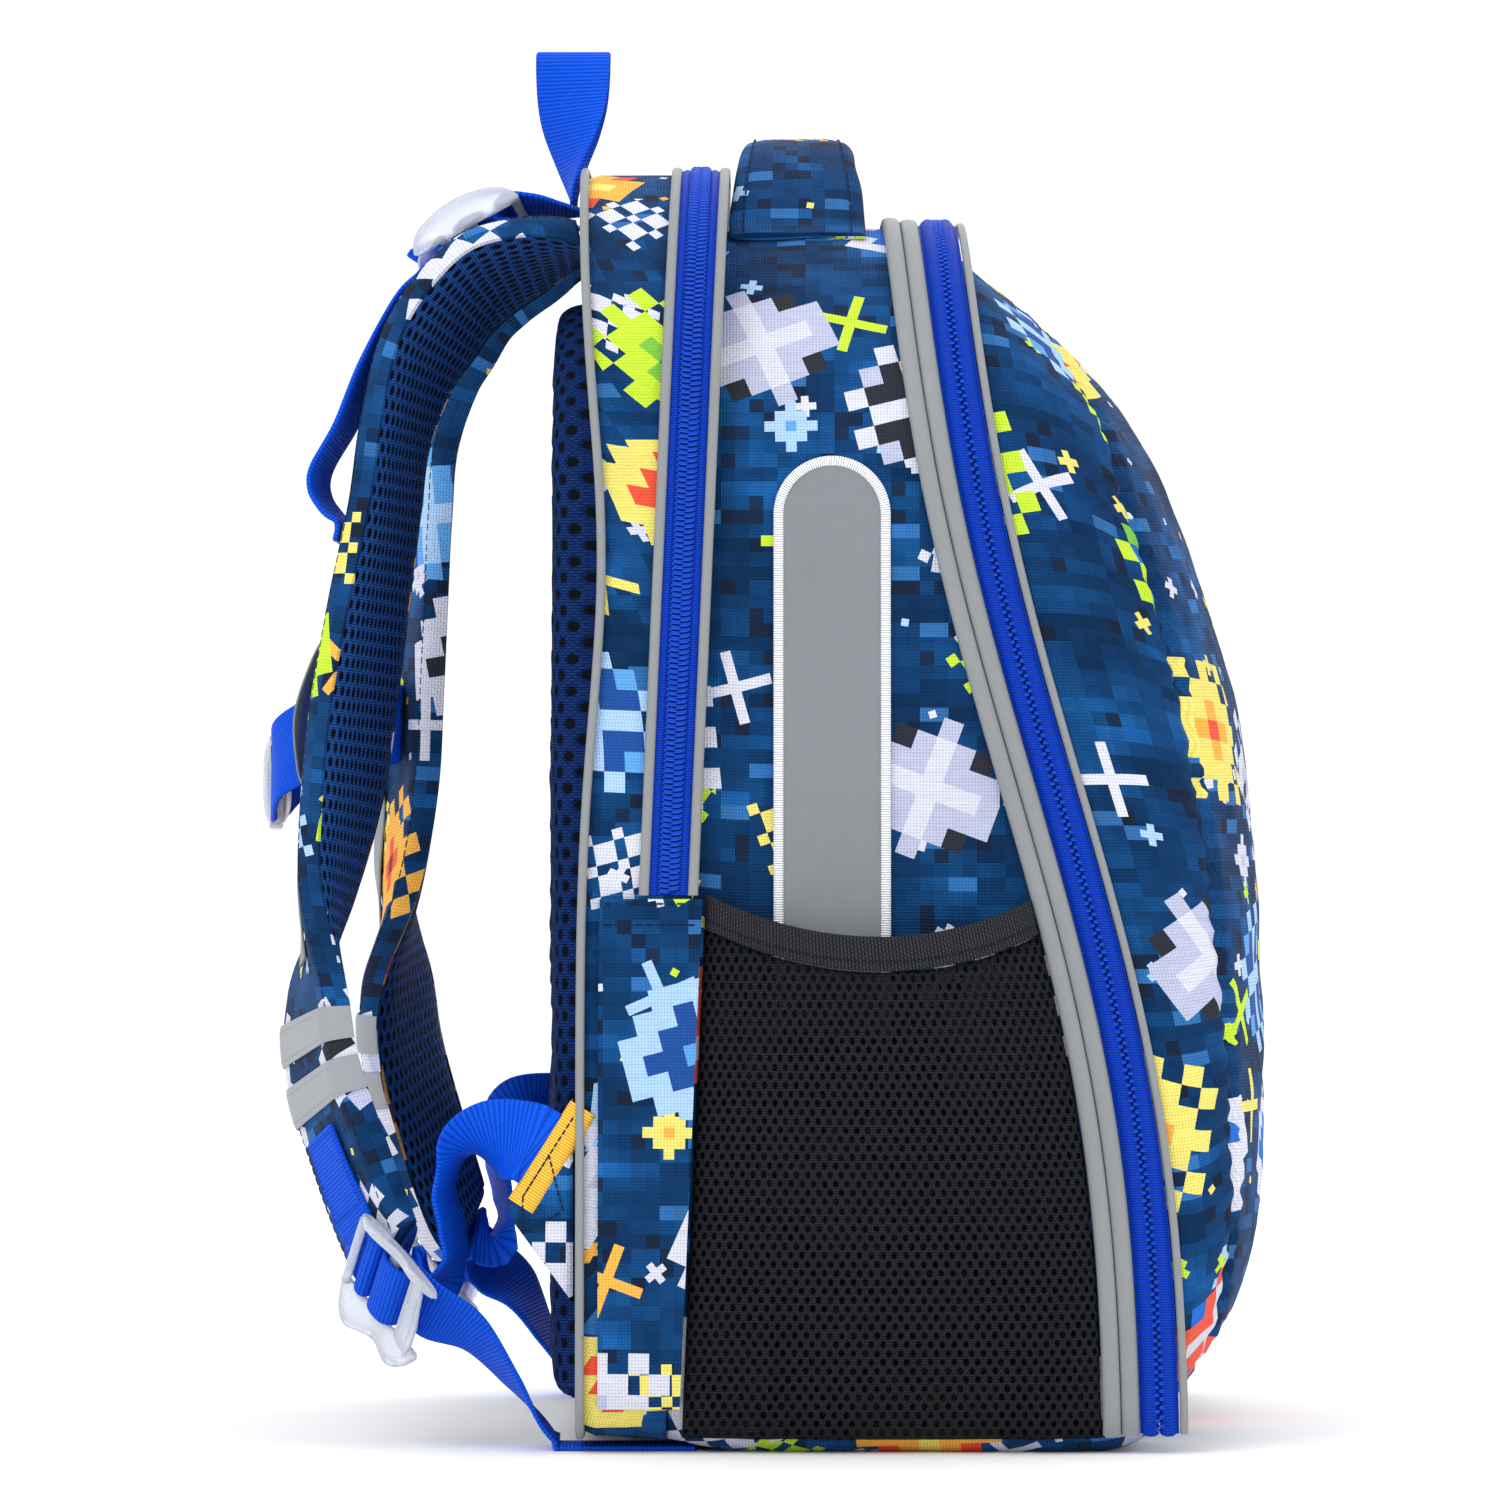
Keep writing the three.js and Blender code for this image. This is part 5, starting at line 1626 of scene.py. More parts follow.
    def middle(self) -> Piece:
        """The middle shell: one band of cloth from the rear lip to the front zip.

        Returns:
            The piece.
        """
        shares = np.linspace(0, len(self.stations) - 1, 58)
        rings = np.array([station(self.middle_outline(row).whole(), Lean(row[0], row[1], 0, row[2]))
                          for row in self.stations])
        flat = rings.reshape(len(self.stations), -1)
        points = catmull(flat, shares).reshape(len(shares), -1, 3)
        points[:, :, 0] += np.where(shares < 1, CLEAR * (1 - shares), 0)[:, None]
        run = np.broadcast_to(lengths(points[len(shares) // 2])[None], points.shape[:2])
        out = normals(points, wrap=True)
        centre = vector(float(points[:, :, 0].mean()), 0, BODY_HEIGHT / 2)
        out *= np.sign((out * (points - centre)).sum())
        share = np.linspace(0, 1, len(shares))[:, None]
        inside = np.sin(np.pi * share) ** 0.6
        upright = points[:, :, 2] / BODY_HEIGHT
        soft = 0.6 + 0.8 * np.clip(upright - 0.45, 0, 1)
        across = points[:, :, 0]
        amount = inside * soft * (self.wrinkle * ripple(across, run, 21, 11)
                                  + self.fine_wrinkle * ripple(across, run, 7, 12))
        depth = points[:, :, 0] - points[:1, :, 0]
        amount = amount + self.seam_pucker * 0.8 * pucker(depth, run, 9.0, 6.0, 13) * inside
        rest = points[-1:, :, 0] - points[:, :, 0]
        amount = amount + self.seam_pucker * pucker(rest, run, 9.5, 7.0, 14) * inside
        amount = np.where(points[:, :, 2] < 12, np.minimum(amount, 0) * 0.2, amount)
        surface = Surface()
        surface.grid(self.worked(points, out, amount), np.stack([across, run], -1))
        return self.hand_over_shell("middle", surface, PRINT)

    def front_at(self, y: Array, z: Array, outline: Outline) -> Array:
        """How far the front stands forward at each (y, z).

        Args:
            y: Distances from the middle.
            z: Heights.
            outline: The outline inside which it stands forward.

        Returns:
            Depths.
        """
        base = FRONT_ZIP_LINE.at(z)
        heights = np.array(self.front_profile)[:, 0]
        smooth_heights = np.linspace(heights[0], heights[-1], 160)
        index = np.interp(smooth_heights, heights, np.arange(len(heights)))
        smooth = catmull(np.array(self.front_profile), index)
        silhouette = BACK_X + BODY_DEPTH * np.interp(z / BODY_HEIGHT, smooth[:, 0], smooth[:, 1])
        u = np.clip(np.abs(y) / np.maximum(outline.half_width(z), 1), 0, 1)
        return base + np.maximum(silhouette - base, 0) * (1 - u**3) ** 0.25

    def front(self) -> Piece:
        """The front shell: a gusset from the zip to the panel seam, and the panel inside it.

        Returns:
            The piece.
        """
        outline = replace(MIDDLE, bottom=8.0)
        flat = outline.whole()
        middle_z = self.front_middle * BODY_HEIGHT
        # Each ring's size across and up, as shares of the outline
        ring_table = np.array([(0, 0), (0.34, 0.36), (0.6, 0.6), (0.8, 0.78), (0.91, 0.89),
                               (0.965, 0.95), (0.99, 0.985), (1, 1)])
        rim = 1 - np.linspace(0, 1, 34) ** 2.4 * (1 - self.panel_seam)
        inner = np.linspace(self.panel_seam, 0.01, 46)
        across = np.concatenate([rim, inner[1:]])
        up = np.interp(across, ring_table[:, 0], ring_table[:, 1])
        y = flat[None, :, 0] * across[:, None]
        z = middle_z + (flat[None, :, 1] - middle_z) * up[:, None]
        x = self.front_at(y, z, outline) + CLEAR
        x[0] = FRONT_ZIP_LINE.at(z[0]) + CLEAR
        points = np.stack([x, y, z], -1)
        down = column_lengths(points)
        run = np.broadcast_to(lengths(points[len(rim) // 2])[None], points.shape[:2])
        out = normals(points, wrap=True)
        out *= np.sign((out * (points - vector(0, 0, middle_z))).sum())
        seam = down[len(rim) - 1]
        distance = down - seam[None]
        deep = np.clip(seam / 14.0, 0, 1)[None]
        groove = -1.5 * np.exp(-((distance / 1.8) ** 2)) + 0.5 * np.exp(-(((distance - 5.0) / 3.0) ** 2))
        gather = self.seam_pucker * 1.5 * pucker(distance, run, 10.0, 8.0, 21)
        rim_gather = self.seam_pucker * pucker(down, run, 9.0, 6.0, 22)
        soft = (self.wrinkle * 1.3 * ripple(x + y * 0.6, run, 24, 23)
                + self.fine_wrinkle * ripple(x + y, z + x, 8, 24))
        hold = np.clip(down / 5.0, 0, 1) * np.clip(across[:, None] / 0.25, 0, 1)
        amount = (groove + gather) * deep + (rim_gather + soft) * hold
        points = self.worked(points, out, amount * np.clip(down / 3.0, 0, 1))
        points[:, :, 2] = np.maximum(points[:, :, 2], 0.6)
        surface = Surface()
        cut = len(rim)
        surface.grid(points[:cut], np.stack([down[:cut], run[:cut]], -1), 0)
        levels = np.arange(BODY_HEIGHT + 1)
        arc = lengths(np.column_stack([self.front_at(np.zeros(len(levels)), levels, outline), levels]))
        rise = np.interp(points[:, :, 2], levels, arc)
        surface.grid(points[cut - 1:], np.stack([points[cut - 1:, :, 1], rise[cut - 1:]], -1), 1)
        return self.hand_over_shell("front", surface, PRINT_FRONT, PRINT_PANEL)

    def build(self) -> None:
        """Makes the three shells."""
        self.rear()
        self.middle()
        self.front()


PAD_OUTLINE = replace(REAR.grown(-10), top=BODY_HEIGHT - 41, bottom=REAR_RISE + 10)


@dataclass
class BackPad:
    """The padded back that lies against the wearer."""

    thickness: float = 9.0
    edge: float = 4.0
    swell: float = 2.6
    seam_inset: float = 13.0
    middle_half: float = 120.0

    def build(self) -> Piece:
        """Makes the crowned pad with a sewn line inside its edge.

        Returns:
            The piece.
        """
        surface = Surface()
        flat = PAD_OUTLINE.whole()
        base = station(flat, BACK_FACE, -CLEAR)
        middle = vector(0, 0, BODY_HEIGHT / 2)
        rows, distances = [], []
        for t in np.linspace(0, 1, 9):
            turn = t * np.pi / 2
            inset = self.edge * 1.4 * (1 - math.cos(turn))
            stand = math.sin(turn)
            ring = PAD_OUTLINE.grown(-inset).whole()
            x_rear = BACK_X - self.thickness
            x = mix(base[:, 0], x_rear + self.edge * 0.3, stand)
            rows.append(np.column_stack([x, ring]))
            distances.append(inset + 2 * t)
        last = rows[-1]
        for share in np.linspace(0.97, 0.01, 52):
            ring = middle + (last - middle) * share
            ring[:, 0] = last[:, 0]
            distance = (1 - share) * self.middle_half
            push = self.swell * (1 - math.exp(-distance / 9.0)) * 0.5
            groove = 2.2 * math.exp(-(((distance - self.seam_inset) / 2.2) ** 2))
            ring[:, 0] += -push + groove
            rows.append(ring)
            distances.append(distance + 6)
        points = np.array(rows)
        run = np.broadcast_to(lengths(points[8])[None], points.shape[:2])
        amount = 0.5 * pucker(np.array(distances)[:, None] - self.seam_inset - 6, run, 12.0, 9.0, 31)
        amount = amount + 0.6 * ripple(points[:, :, 1], points[:, :, 2], 26, 32)
        amount[:4] = 0
        amount[:, -1] = amount[:, 0]
        points[:, :, 0] -= np.clip(amount, -0.9, 0.9)
        edge_cloth = np.stack([np.array(distances)[:, None] + 0 * run, run], -1)
        surface.grid(points[:9], edge_cloth[:9])
        surface.grid(points[8:], points[8:, :, 1:])
        rings = (middle[1:] + (flat - middle[1:]) * share for share in np.linspace(1, 0.01, 12))
        seat = np.array([np.column_stack([BACK_FACE.at(ring[:, 1]) - CLEAR, ring]) for ring in rings])
        surface.grid(seat, seat[:, :, 1:], flip=True)
        piece = surface.build("back_pad_cushion", [BACK_MESH])
        return hand_over(piece, BACK_MESH, "back_pad")


@dataclass
class Trim:
    """Zips and piping, each a band along an outline."""

    tape_width: float = 12.0
    coil_height: float = 2.8
    slim: float = 2.6
    wide: float = 5.4
    lift: float = 1.1
    rear_start: float = 172.0
    front_start: float = 7.0

    def band(self, outline: Outline, line: Lean, start: float | None) -> Path:
        """The path of a band: across runs along X and out off the cloth.

        Args:
            outline: The outline that it follows.
            line: The line of the side view.
            start: The height where an arch starts, or None for the whole outline.

        Returns:
            The path.
        """
        flat = outline.whole()[:-1] if start is None else outline.arch(start)
        at = station(flat, line)
        if start is None:
            steps = np.roll(flat, -1, 0) - np.roll(flat, 1, 0)
        else:
            steps = np.gradient(flat, axis=0)
        tangent = unit(steps)
        out = np.column_stack([np.zeros(len(flat)), -tangent[:, 1], tangent[:, 0]])
        return Path.plain(at, ALONG_X, out)

    def strip(self, name: str, node: str, path: Path, section: Array,
              closed: bool = False) -> Piece:
        """Makes one strip of piping.

        Args:
            name: The piece's name.
            node: The solid that it stands for.
            path: Its middle line.
            section: Its section.
            closed: Whether its ends meet.

        Returns:
            The piece.
        """
        surface = Surface()
        rings = path.rings(section)
        run = path.run
        if closed:
            rings = np.concatenate([rings, rings[:1]])
            run = np.append(run, run[-1] + 3)
        surface.sweep(rings, around(section), run, closed=closed)
        return sew(surface, name, node, PIPING)

    def folded(self, width: float, across: float, lift: float, height: float) -> Array:
        """The rounded section of folded piping.

        Args:
            width: Its whole width.
            across: Where its middle lies across the band.
            lift: Its underside.
            height: Its height.

        Returns:
            Closed points as [across, out].
        """
        turn = turns(14)
        rise = 1 + squared(np.sin(turn), 0.8)
        return np.column_stack([across + width / 2 * np.cos(turn), lift + height / 2 * rise])

    def zip(self, name: str, node: str, path: Path, lift: float, pitch: float,
            folded: bool) -> Piece:
        """Makes a zip: two tapes with rounded bands and two rows of teeth.

        Args:
            name: The piece's name.
            node: The solid that it stands for.
            path: Its middle line.
            lift: How far its tape stands off the cloth.
            pitch: Distance from tooth to tooth.
            folded: Whether the tape folds over the coil, so that only thin marks show.

        Returns:
            The piece.
        """
        surface = Surface()
        rise = self.coil_height if folded else 1.9
        share = np.linspace(0, 1, 12)
        width = mix(0.15, self.tape_width / 2, share)
        if folded:
            hump = np.sin(np.pi * np.clip(share * 1.15, 0, 1)) ** 0.6
            top = lift + 0.5 + hump * (rise - 0.6)
            tooth, gap, height, slant = Bead(1.9, 0.55, 0.9, 0.35), 0.75, lift + rise - 0.75, 0.0
        else:
            hump = np.exp(-(((share - 0.72) / 0.2) ** 2))
            top = lift + 0.75 + 0.75 * hump
            tooth, gap, height, slant = Bead(3.3, 0.62, 0.95, 0.4), 1.35, lift + rise, 0.12
        for side in (-1, 1):
            upper = np.column_stack([side * width, top])
            lower = np.column_stack([side * width[::-1], np.full(12, lift)])
            surface.tube(path, np.vstack([upper, lower]))
        run = path.run
        middles = np.arange(pitch, run[-1] - pitch, pitch)
        read = lambda values: np.column_stack([np.interp(middles, run, column) for column in values.T])
        at, out = read(path.at), unit(read(path.out))
        along = unit(read(path.along))
        for side in (-1, 1):
            place = at + ALONG_X * side * gap + out * height + along * side * pitch / 4
            surface.scatter(tooth, place, ALONG_X + along * side * slant, out, 1)
        for side in () if folded else (-1, 1):
            line = path.place(np.full(len(path.at), side * 2.9), np.full(len(path.at), lift + 1.75))
            stitches(surface, line, path.out, 1, pitch, pitch * 0.72, 0.36)
        return sew(surface, name, node, ZIP_TAPE, ZIP_TEETH)

    def build(self) -> None:
        """Makes both zips and all the piping."""
        back = replace(REAR.grown(-2), bottom=REAR_RISE + 1)
        turn = turns(12)
        round_section = np.column_stack([0.6 + 1.4 * np.cos(turn), 3 + 1.4 * np.sin(turn)])
        self.strip("back_piping_cord", "back_piping", self.band(back, BACK_FACE, None), round_section, True)
        gap = self.tape_width / 2 + CLEAR
        beside = lambda width: gap + width / 2
        rear = self.band(REAR, REAR_ZIP_LINE, self.rear_start)
        front = self.band(MIDDLE, FRONT_ZIP_LINE, self.front_start)
        self.zip("rear_zip_chain", "rear_zip", rear, CLEAR, 1.7, False)
        self.zip("front_zip_chain", "front_zip", front, self.lift, 2.4, True)
        for word, side in (("back", -1), ("front", 1)):
            self.strip(f"rear_zip_piping_{word}_fold", f"rear_zip_piping_{word}", rear,
                       self.folded(self.slim + 0.6, side * beside(self.slim), CLEAR, 2.2))
        wide = beside(self.wide)
        self.strip("front_zip_piping_middle_fold", "front_zip_piping_middle", front,
                   self.folded(self.wide + 0.3, -wide, self.lift - 0.6, 3.2))
        self.strip("front_zip_piping_back_fold", "front_zip_piping_back", front,
                   self.folded(self.wide + 0.2, -wide - self.wide - CLEAR, self.lift - 0.2, 3.4))
        self.strip("front_zip_piping_front_fold", "front_zip_piping_front", front,
                   self.folded(self.slim, beside(self.slim), self.lift - 0.6, 2.0))


@dataclass
class SideSet:
    """What is sewn to one side: panel, reflector and net pocket."""

    side: Side
    body: BagBody
    panel_top: float = 171.0
    pocket_top: float = 159.5
    pocket_dip: float = 12.0
    pocket_bulge: float = 16.0
    binding: float = 10.5
    reflector_width: float = 36.0
    reflector_top: float = 308.0
    reflector_bottom: float = 128.0
    border: float = 2.8

    def panel(self) -> Piece:
        """The lower side panel over the gusset, hemmed at its top.

        Returns:
            The piece.
        """
        surface = Surface()
        sign = self.side.value
        outline = replace(REAR, bottom=REAR_RISE - 2)
        z = np.concatenate([np.linspace(14, 24, 7), np.linspace(27, self.panel_top, 60)])
        u = np.linspace(0, 1, 22)
        zz, uu = np.meshgrid(z, u, indexing="ij")
        x = mix(BACK_EDGE.at(zz) + 1, REAR_END.at(zz) + 4, uu)
        soft = 0.35 * ripple(x, zz, 14, 41) * np.sin(np.pi * uu) + 0.25 * pucker(
            self.panel_top - zz, x, 7.0, 7.0, 42)

        def sheet(lift: float) -> Array:
            """One skin of the panel, at a distance off the gusset."""
            y = sign * (outline.half_width(zz) + lift + soft)
            return np.stack([x, y, zz], -1)

        surface.slab(sheet(2 * CLEAR + 1.9), sheet(2 * CLEAR), np.stack([x, zz + 40], -1))
        for drop in (1.5, 8.0):
            line = np.column_stack([np.linspace(x[-1, 0] + 1, x[-1, -1] - 1, 30), np.zeros(30),
                                    np.full(30, self.panel_top - drop)])
            line[:, 1] = sign * (outline.half_width(line[:, 2]) + 2 * CLEAR + 2.05)
            stitches(surface, line, vector(0, sign, 0), 1)
        return sew(surface, f"side_panel_cloth_{self.side.word}",
                   f"side_panel_{self.side.word}", PRINT_WING, NAVY_THREAD)

    def on_side(self, x: Array, z: Array, lift: float | Array) -> Array:
        """Points on the middle compartment's side, lifted off it."""
        return np.stack([x, self.side.value * (self.body.side_at(x, z) + lift), z], -1)

    def reflector(self) -> None:
        """The round-topped reflective panel and its satin-stitched border."""
        centre_x = BACK_X + 0.363 * BODY_DEPTH
        outer = self.reflector_width / 2
        arc = self.reflector_top - outer
        inner = outer - self.border / 2
        rise = np.linspace(self.reflector_bottom, arc, 60)
        cap = arc + inner * np.sin(np.linspace(0, 1, 24)[1:] * np.pi / 2 * 0.985)
        z = np.concatenate([rise, cap])
        half = np.where(z <= arc, inner, np.sqrt(np.maximum(inner**2 - np.maximum(z - arc, 0) ** 2, 0.01)))
        u = np.linspace(-1, 1, 19)
        x = centre_x + half[:, None] * u[None]
        zz = np.broadcast_to(z[:, None], x.shape)
        wave = 0.22 * ripple(x, zz, 16, 51)
        dome = 0.5 * (1 - u[None] ** 4) + wave
        surface = Surface()
        surface.slab(self.on_side(x, zz, 1.3 + dome), self.on_side(x, zz, 0.6), np.stack([x, zz], -1))
        sew(surface, f"side_reflector_film_{self.side.word}", f"side_reflector_{self.side.word}", FILM)
        left = np.column_stack([np.full(70, -inner), np.linspace(self.reflector_bottom, arc, 70)])
        turn = np.linspace(0, np.pi, 41)[1:-1]
        over = np.column_stack([-inner * np.cos(turn), arc + inner * np.sin(turn)])
        flat = np.vstack([left, over, left[::-1] * [-1, 1]])
        at = self.on_side(centre_x + flat[:, 0], flat[:, 1], 0.9)
        out = vector(0, self.side.value, 0)
        across = unit(np.cross(unit(np.gradient(at, axis=0)), out))
        bend = turns(12)
        section = np.column_stack([self.border * 0.56 * np.cos(bend), 0.7 + 0.95 * np.sin(bend)])
        surface = Surface()
        surface.tube(Path.plain(at, across, out), section)
        sew(surface, f"reflector_border_satin_{self.side.word}",
            f"reflector_border_{self.side.word}", SATIN)

    def top_line(self, u: Array) -> Array:
        """The height of the pocket's top edge."""
        return self.pocket_top + self.pocket_dip * (2 * u - 1.04) ** 2

    def pocket_point(self, z: Array, u: Array, lift: float | Array) -> Array:
        """A point on the pocket's sheet.

        Args:
            z: Heights.
            u: Shares of the way from the pocket's rear to its front.
            lift: Distance out of the sheet.

        Returns:
            Points.
        """
        rear = REAR_END.at(z) + 5
        front = FRONT_ZIP_LINE.at(z) - Trim.tape_width / 2 - 2 * Trim.wide - 4 * CLEAR
        x = mix(rear, front, u)
        share = np.clip(z / self.pocket_top, 0, 1)
        full = np.sin(np.pi / 2 * np.minimum(share * 1.35, 1)) ** 0.7
        bulge = self.pocket_bulge * np.sin(np.pi * np.clip(u, 0, 1)) ** 0.7 * full
        return np.stack([x, self.side.value * (self.body.side_at(x, z) + 2 * CLEAR + bulge + lift), z], -1)

    def pocket(self) -> None:
        """The net pocket with its pleats and its elastic binding."""
        u = np.concatenate([[0, 0.004, 0.012], np.linspace(0.024, 0.976, 84), [0.988, 0.996, 1]])
        v = np.linspace(0.03, 1, 52)
        vv, uu = np.meshgrid(v, u, indexing="ij")
        z = vv * (self.top_line(uu) - self.binding - CLEAR)
        pleat = np.zeros_like(uu)
        # Each pleat's place along the pocket and its width
        for middle, width in ((0.15, 0.02), (0.19, 0.014), (0.825, 0.02), (0.865, 0.014)):
            pleat += np.exp(-(((uu - middle - 0.02 * (1 - vv)) / width) ** 2))
        fall = np.clip(1.12 - vv * 1.25, 0, 1)
        low = 2.2 * pleat * fall - 0.6 * fall * np.exp(-(((uu - 0.5) / 0.3) ** 2))
        gather = 0.7 * np.sin(uu * 2 * np.pi * 13 + 2 * ripple(uu * 60, vv * 10, 9, 61)) * np.clip(
            vv * 1.6 - 0.75, 0, 1) ** 2
        hold = np.clip(np.sin(np.pi * np.clip(uu, 0, 1)) * 3, 0, 1)
        lift = (low + gather * 0.5 + 0.5 * ripple(uu * 120, z, 17, 62)) * hold
        points = self.pocket_point(z, uu, 0.8 + np.maximum(lift, -0.7))
        surface = Surface()
        flat_u = lengths(self.pocket_point(np.full(len(u), 80.0), u, 0.0))
        cloth = np.stack([np.broadcast_to(flat_u[None], uu.shape), z * 1.02], -1)
        surface.grid(points, cloth)
        piece = surface.build(f"pocket_net_{self.side.word}", [NET], outward=False)
        self.body.face_out(piece)
        thicken(piece, 0.7)
        hand_over(piece, NET, f"pocket_mesh_{self.side.word}")
        count = 150
        share = np.linspace(0, 1, count)
        wave = 0.35 * np.sin(share * 2 * np.pi * 13) * np.clip(np.sin(np.pi * share) * 3, 0, 1)
        height = self.binding
        # The binding's section: share of its height, and distance out
        steps = [(0.0, 0.0), (0.02, 2.3), (0.1, 2.7), (0.17, 2.2), (0.24, 1.9), (0.5, 2.3), (0.78, 2.2),
                 (0.93, 2.6), (1.0, 2.0), (1.02, 1.2), (1.0, 0.3), (0.5, 0.1)]
        rings = []
        for up, lift in steps:
            z = self.top_line(share) - (1 - up) * height
            rings.append(self.pocket_point(z, share, lift + wave + 0.1))
        rings = np.array(rings).transpose(1, 0, 2)
        along = lengths(rings[:, 5])
        section = np.array([(up * height, lift) for up, lift in steps])
        surface = Surface()
        surface.sweep(rings, around(section), along)
        for up in (0.3, 0.86):
            z = self.top_line(share) - (1 - up) * height
            line = self.pocket_point(z, share, 2.3 + wave)
            stitches(surface, line, vector(0, self.side.value, 0), 1, 2.6, 2.0, 0.28)
        sew(surface, f"pocket_binding_elastic_{self.side.word}",
            f"pocket_binding_{self.side.word}", ELASTIC, BLACK_THREAD)

    def build(self) -> None:
        """Makes everything on this side."""
        self.panel()
        self.reflector()
        self.pocket()


@dataclass
class TopFittings:
    """The grab handle and the hang loop."""

    rise: float = 31.0
    half_span: float = 70.0
    width: float = 43.0
    thickness: float = 8.0
    seam_inset: float = 4.5
    loop_rise: float = 50.0
    loop_spread: float = 14.0
    webbing: float = 24.0

    def handle(self) -> Piece:
        """The padded grab handle, folded at its edges and sewn flat at its ends.

        Returns:
            The piece.
        """
        # Share of the span, rise, width and thickness
        table = [(1, 0, 1, 0.35), (0.88, 0.02, 1, 0.5), (0.76, 0.2, 0.97, 0.85), (0.62, 0.5, 0.92, 1),
                 (0.46, 0.78, 0.86, 1), (0.26, 0.95, 0.8, 1), (0, 1, 0.78, 1)]
        x = BACK_X + 0.315 * BODY_DEPTH
        rows = []
        for side in (-1, 1):
            half = []
            for out, rise, width, thick in table:
                y = side * out * self.half_span
                thickness = thick * self.thickness
                lift = 3 * CLEAR + thickness / 2 + rise * (self.rise - self.thickness)
                z = mix(MIDDLE.top_at(y), MIDDLE.top, rise) + lift
                half.append((x, y, z, width, thick))
            rows += half if side < 0 else half[::-1][1:]
        rows = np.array(rows)
        path = Path.through(rows[:, :3], [ALONG_X] * len(rows), 1.6, rows[:, 3], rows[:, 4])
        turn = turns(40)
        across = squared(np.cos(turn), 0.55) * self.width / 2
        out = squared(np.sin(turn), 0.75) * self.thickness / 2
        section = np.column_stack([across, out])
        rings = path.rings(section)
        run = path.run
        soft = 0.45 * ripple(np.broadcast_to(across[None], rings.shape[:2]),
                             np.broadcast_to(run[:, None], rings.shape[:2]), 13, 71)
        away = unit(rings - path.at[:, None])
        seam = np.exp(-((np.abs(across) - self.width / 2 + self.seam_inset) ** 2)) * (np.abs(out) > 1)
        rings = rings + away * (soft - 0.8 * seam[None])[..., None]
        surface = Surface()
        surface.sweep(rings, around(section), run)
        for share in (-1, 1):
            for face in (-1, 1):
                line = path.place(path.width * share * (self.width / 2 - self.seam_inset),
                                  path.thickness * face * (self.thickness / 2 * 0.9))
                stitches(surface, line, path.out * face, 1, 3.4, 2.7, 0.3)
        piece = surface.build("grab_handle_pad", [PRINT_HANDLE, NAVY_THREAD])
        return hand_over(piece, PRINT_HANDLE, "grab_handle")

    def loop(self) -> Piece:
        """The hang loop of webbing, whose legs make a quarter turn into the seam.

        Returns:
            The piece.
        """
        # Share of the rise and the spread, quarter turn in degrees, and lean backwards
        table = [(0, 1, 90, 0.3), (0.1, 0.97, 86, 0.32), (0.3, 0.88, 66, 0.36), (0.5, 0.78, 42, 0.36),
                 (0.7, 0.62, 20, 0.34), (0.9, 0.48, 6, 0.32), (0.98, 0.3, 1, 0.31)]
        seam_z, lean, base = BODY_HEIGHT - 8, 8.0, BACK_X - 1.5
        points, across = [], []
        for side in (-1, 1):
            leg = []
            for rise, out, turn, back in table:
                angle = math.radians(turn)
                leg.append((vector(base - back * lean, side * out * self.loop_spread,
                                   seam_z + rise * self.loop_rise),
                            vector(math.cos(angle), side * math.sin(angle), 0)))
            if side < 0:
                leg.append((vector(base - 0.3 * lean, 0, seam_z + self.loop_rise), vector(1, 0, 0)))
            else:
                leg = leg[::-1]
            points += [row[0] for row in leg]
            across += [row[1] for row in leg]
        path = Path.through(points, across, 1.2)
        return webbing_band("hang_loop_webbing", "hang_loop", path, self.webbing, 1.5, 12)

    def build(self) -> None:
        """Makes both."""
        self.handle()
        self.loop()


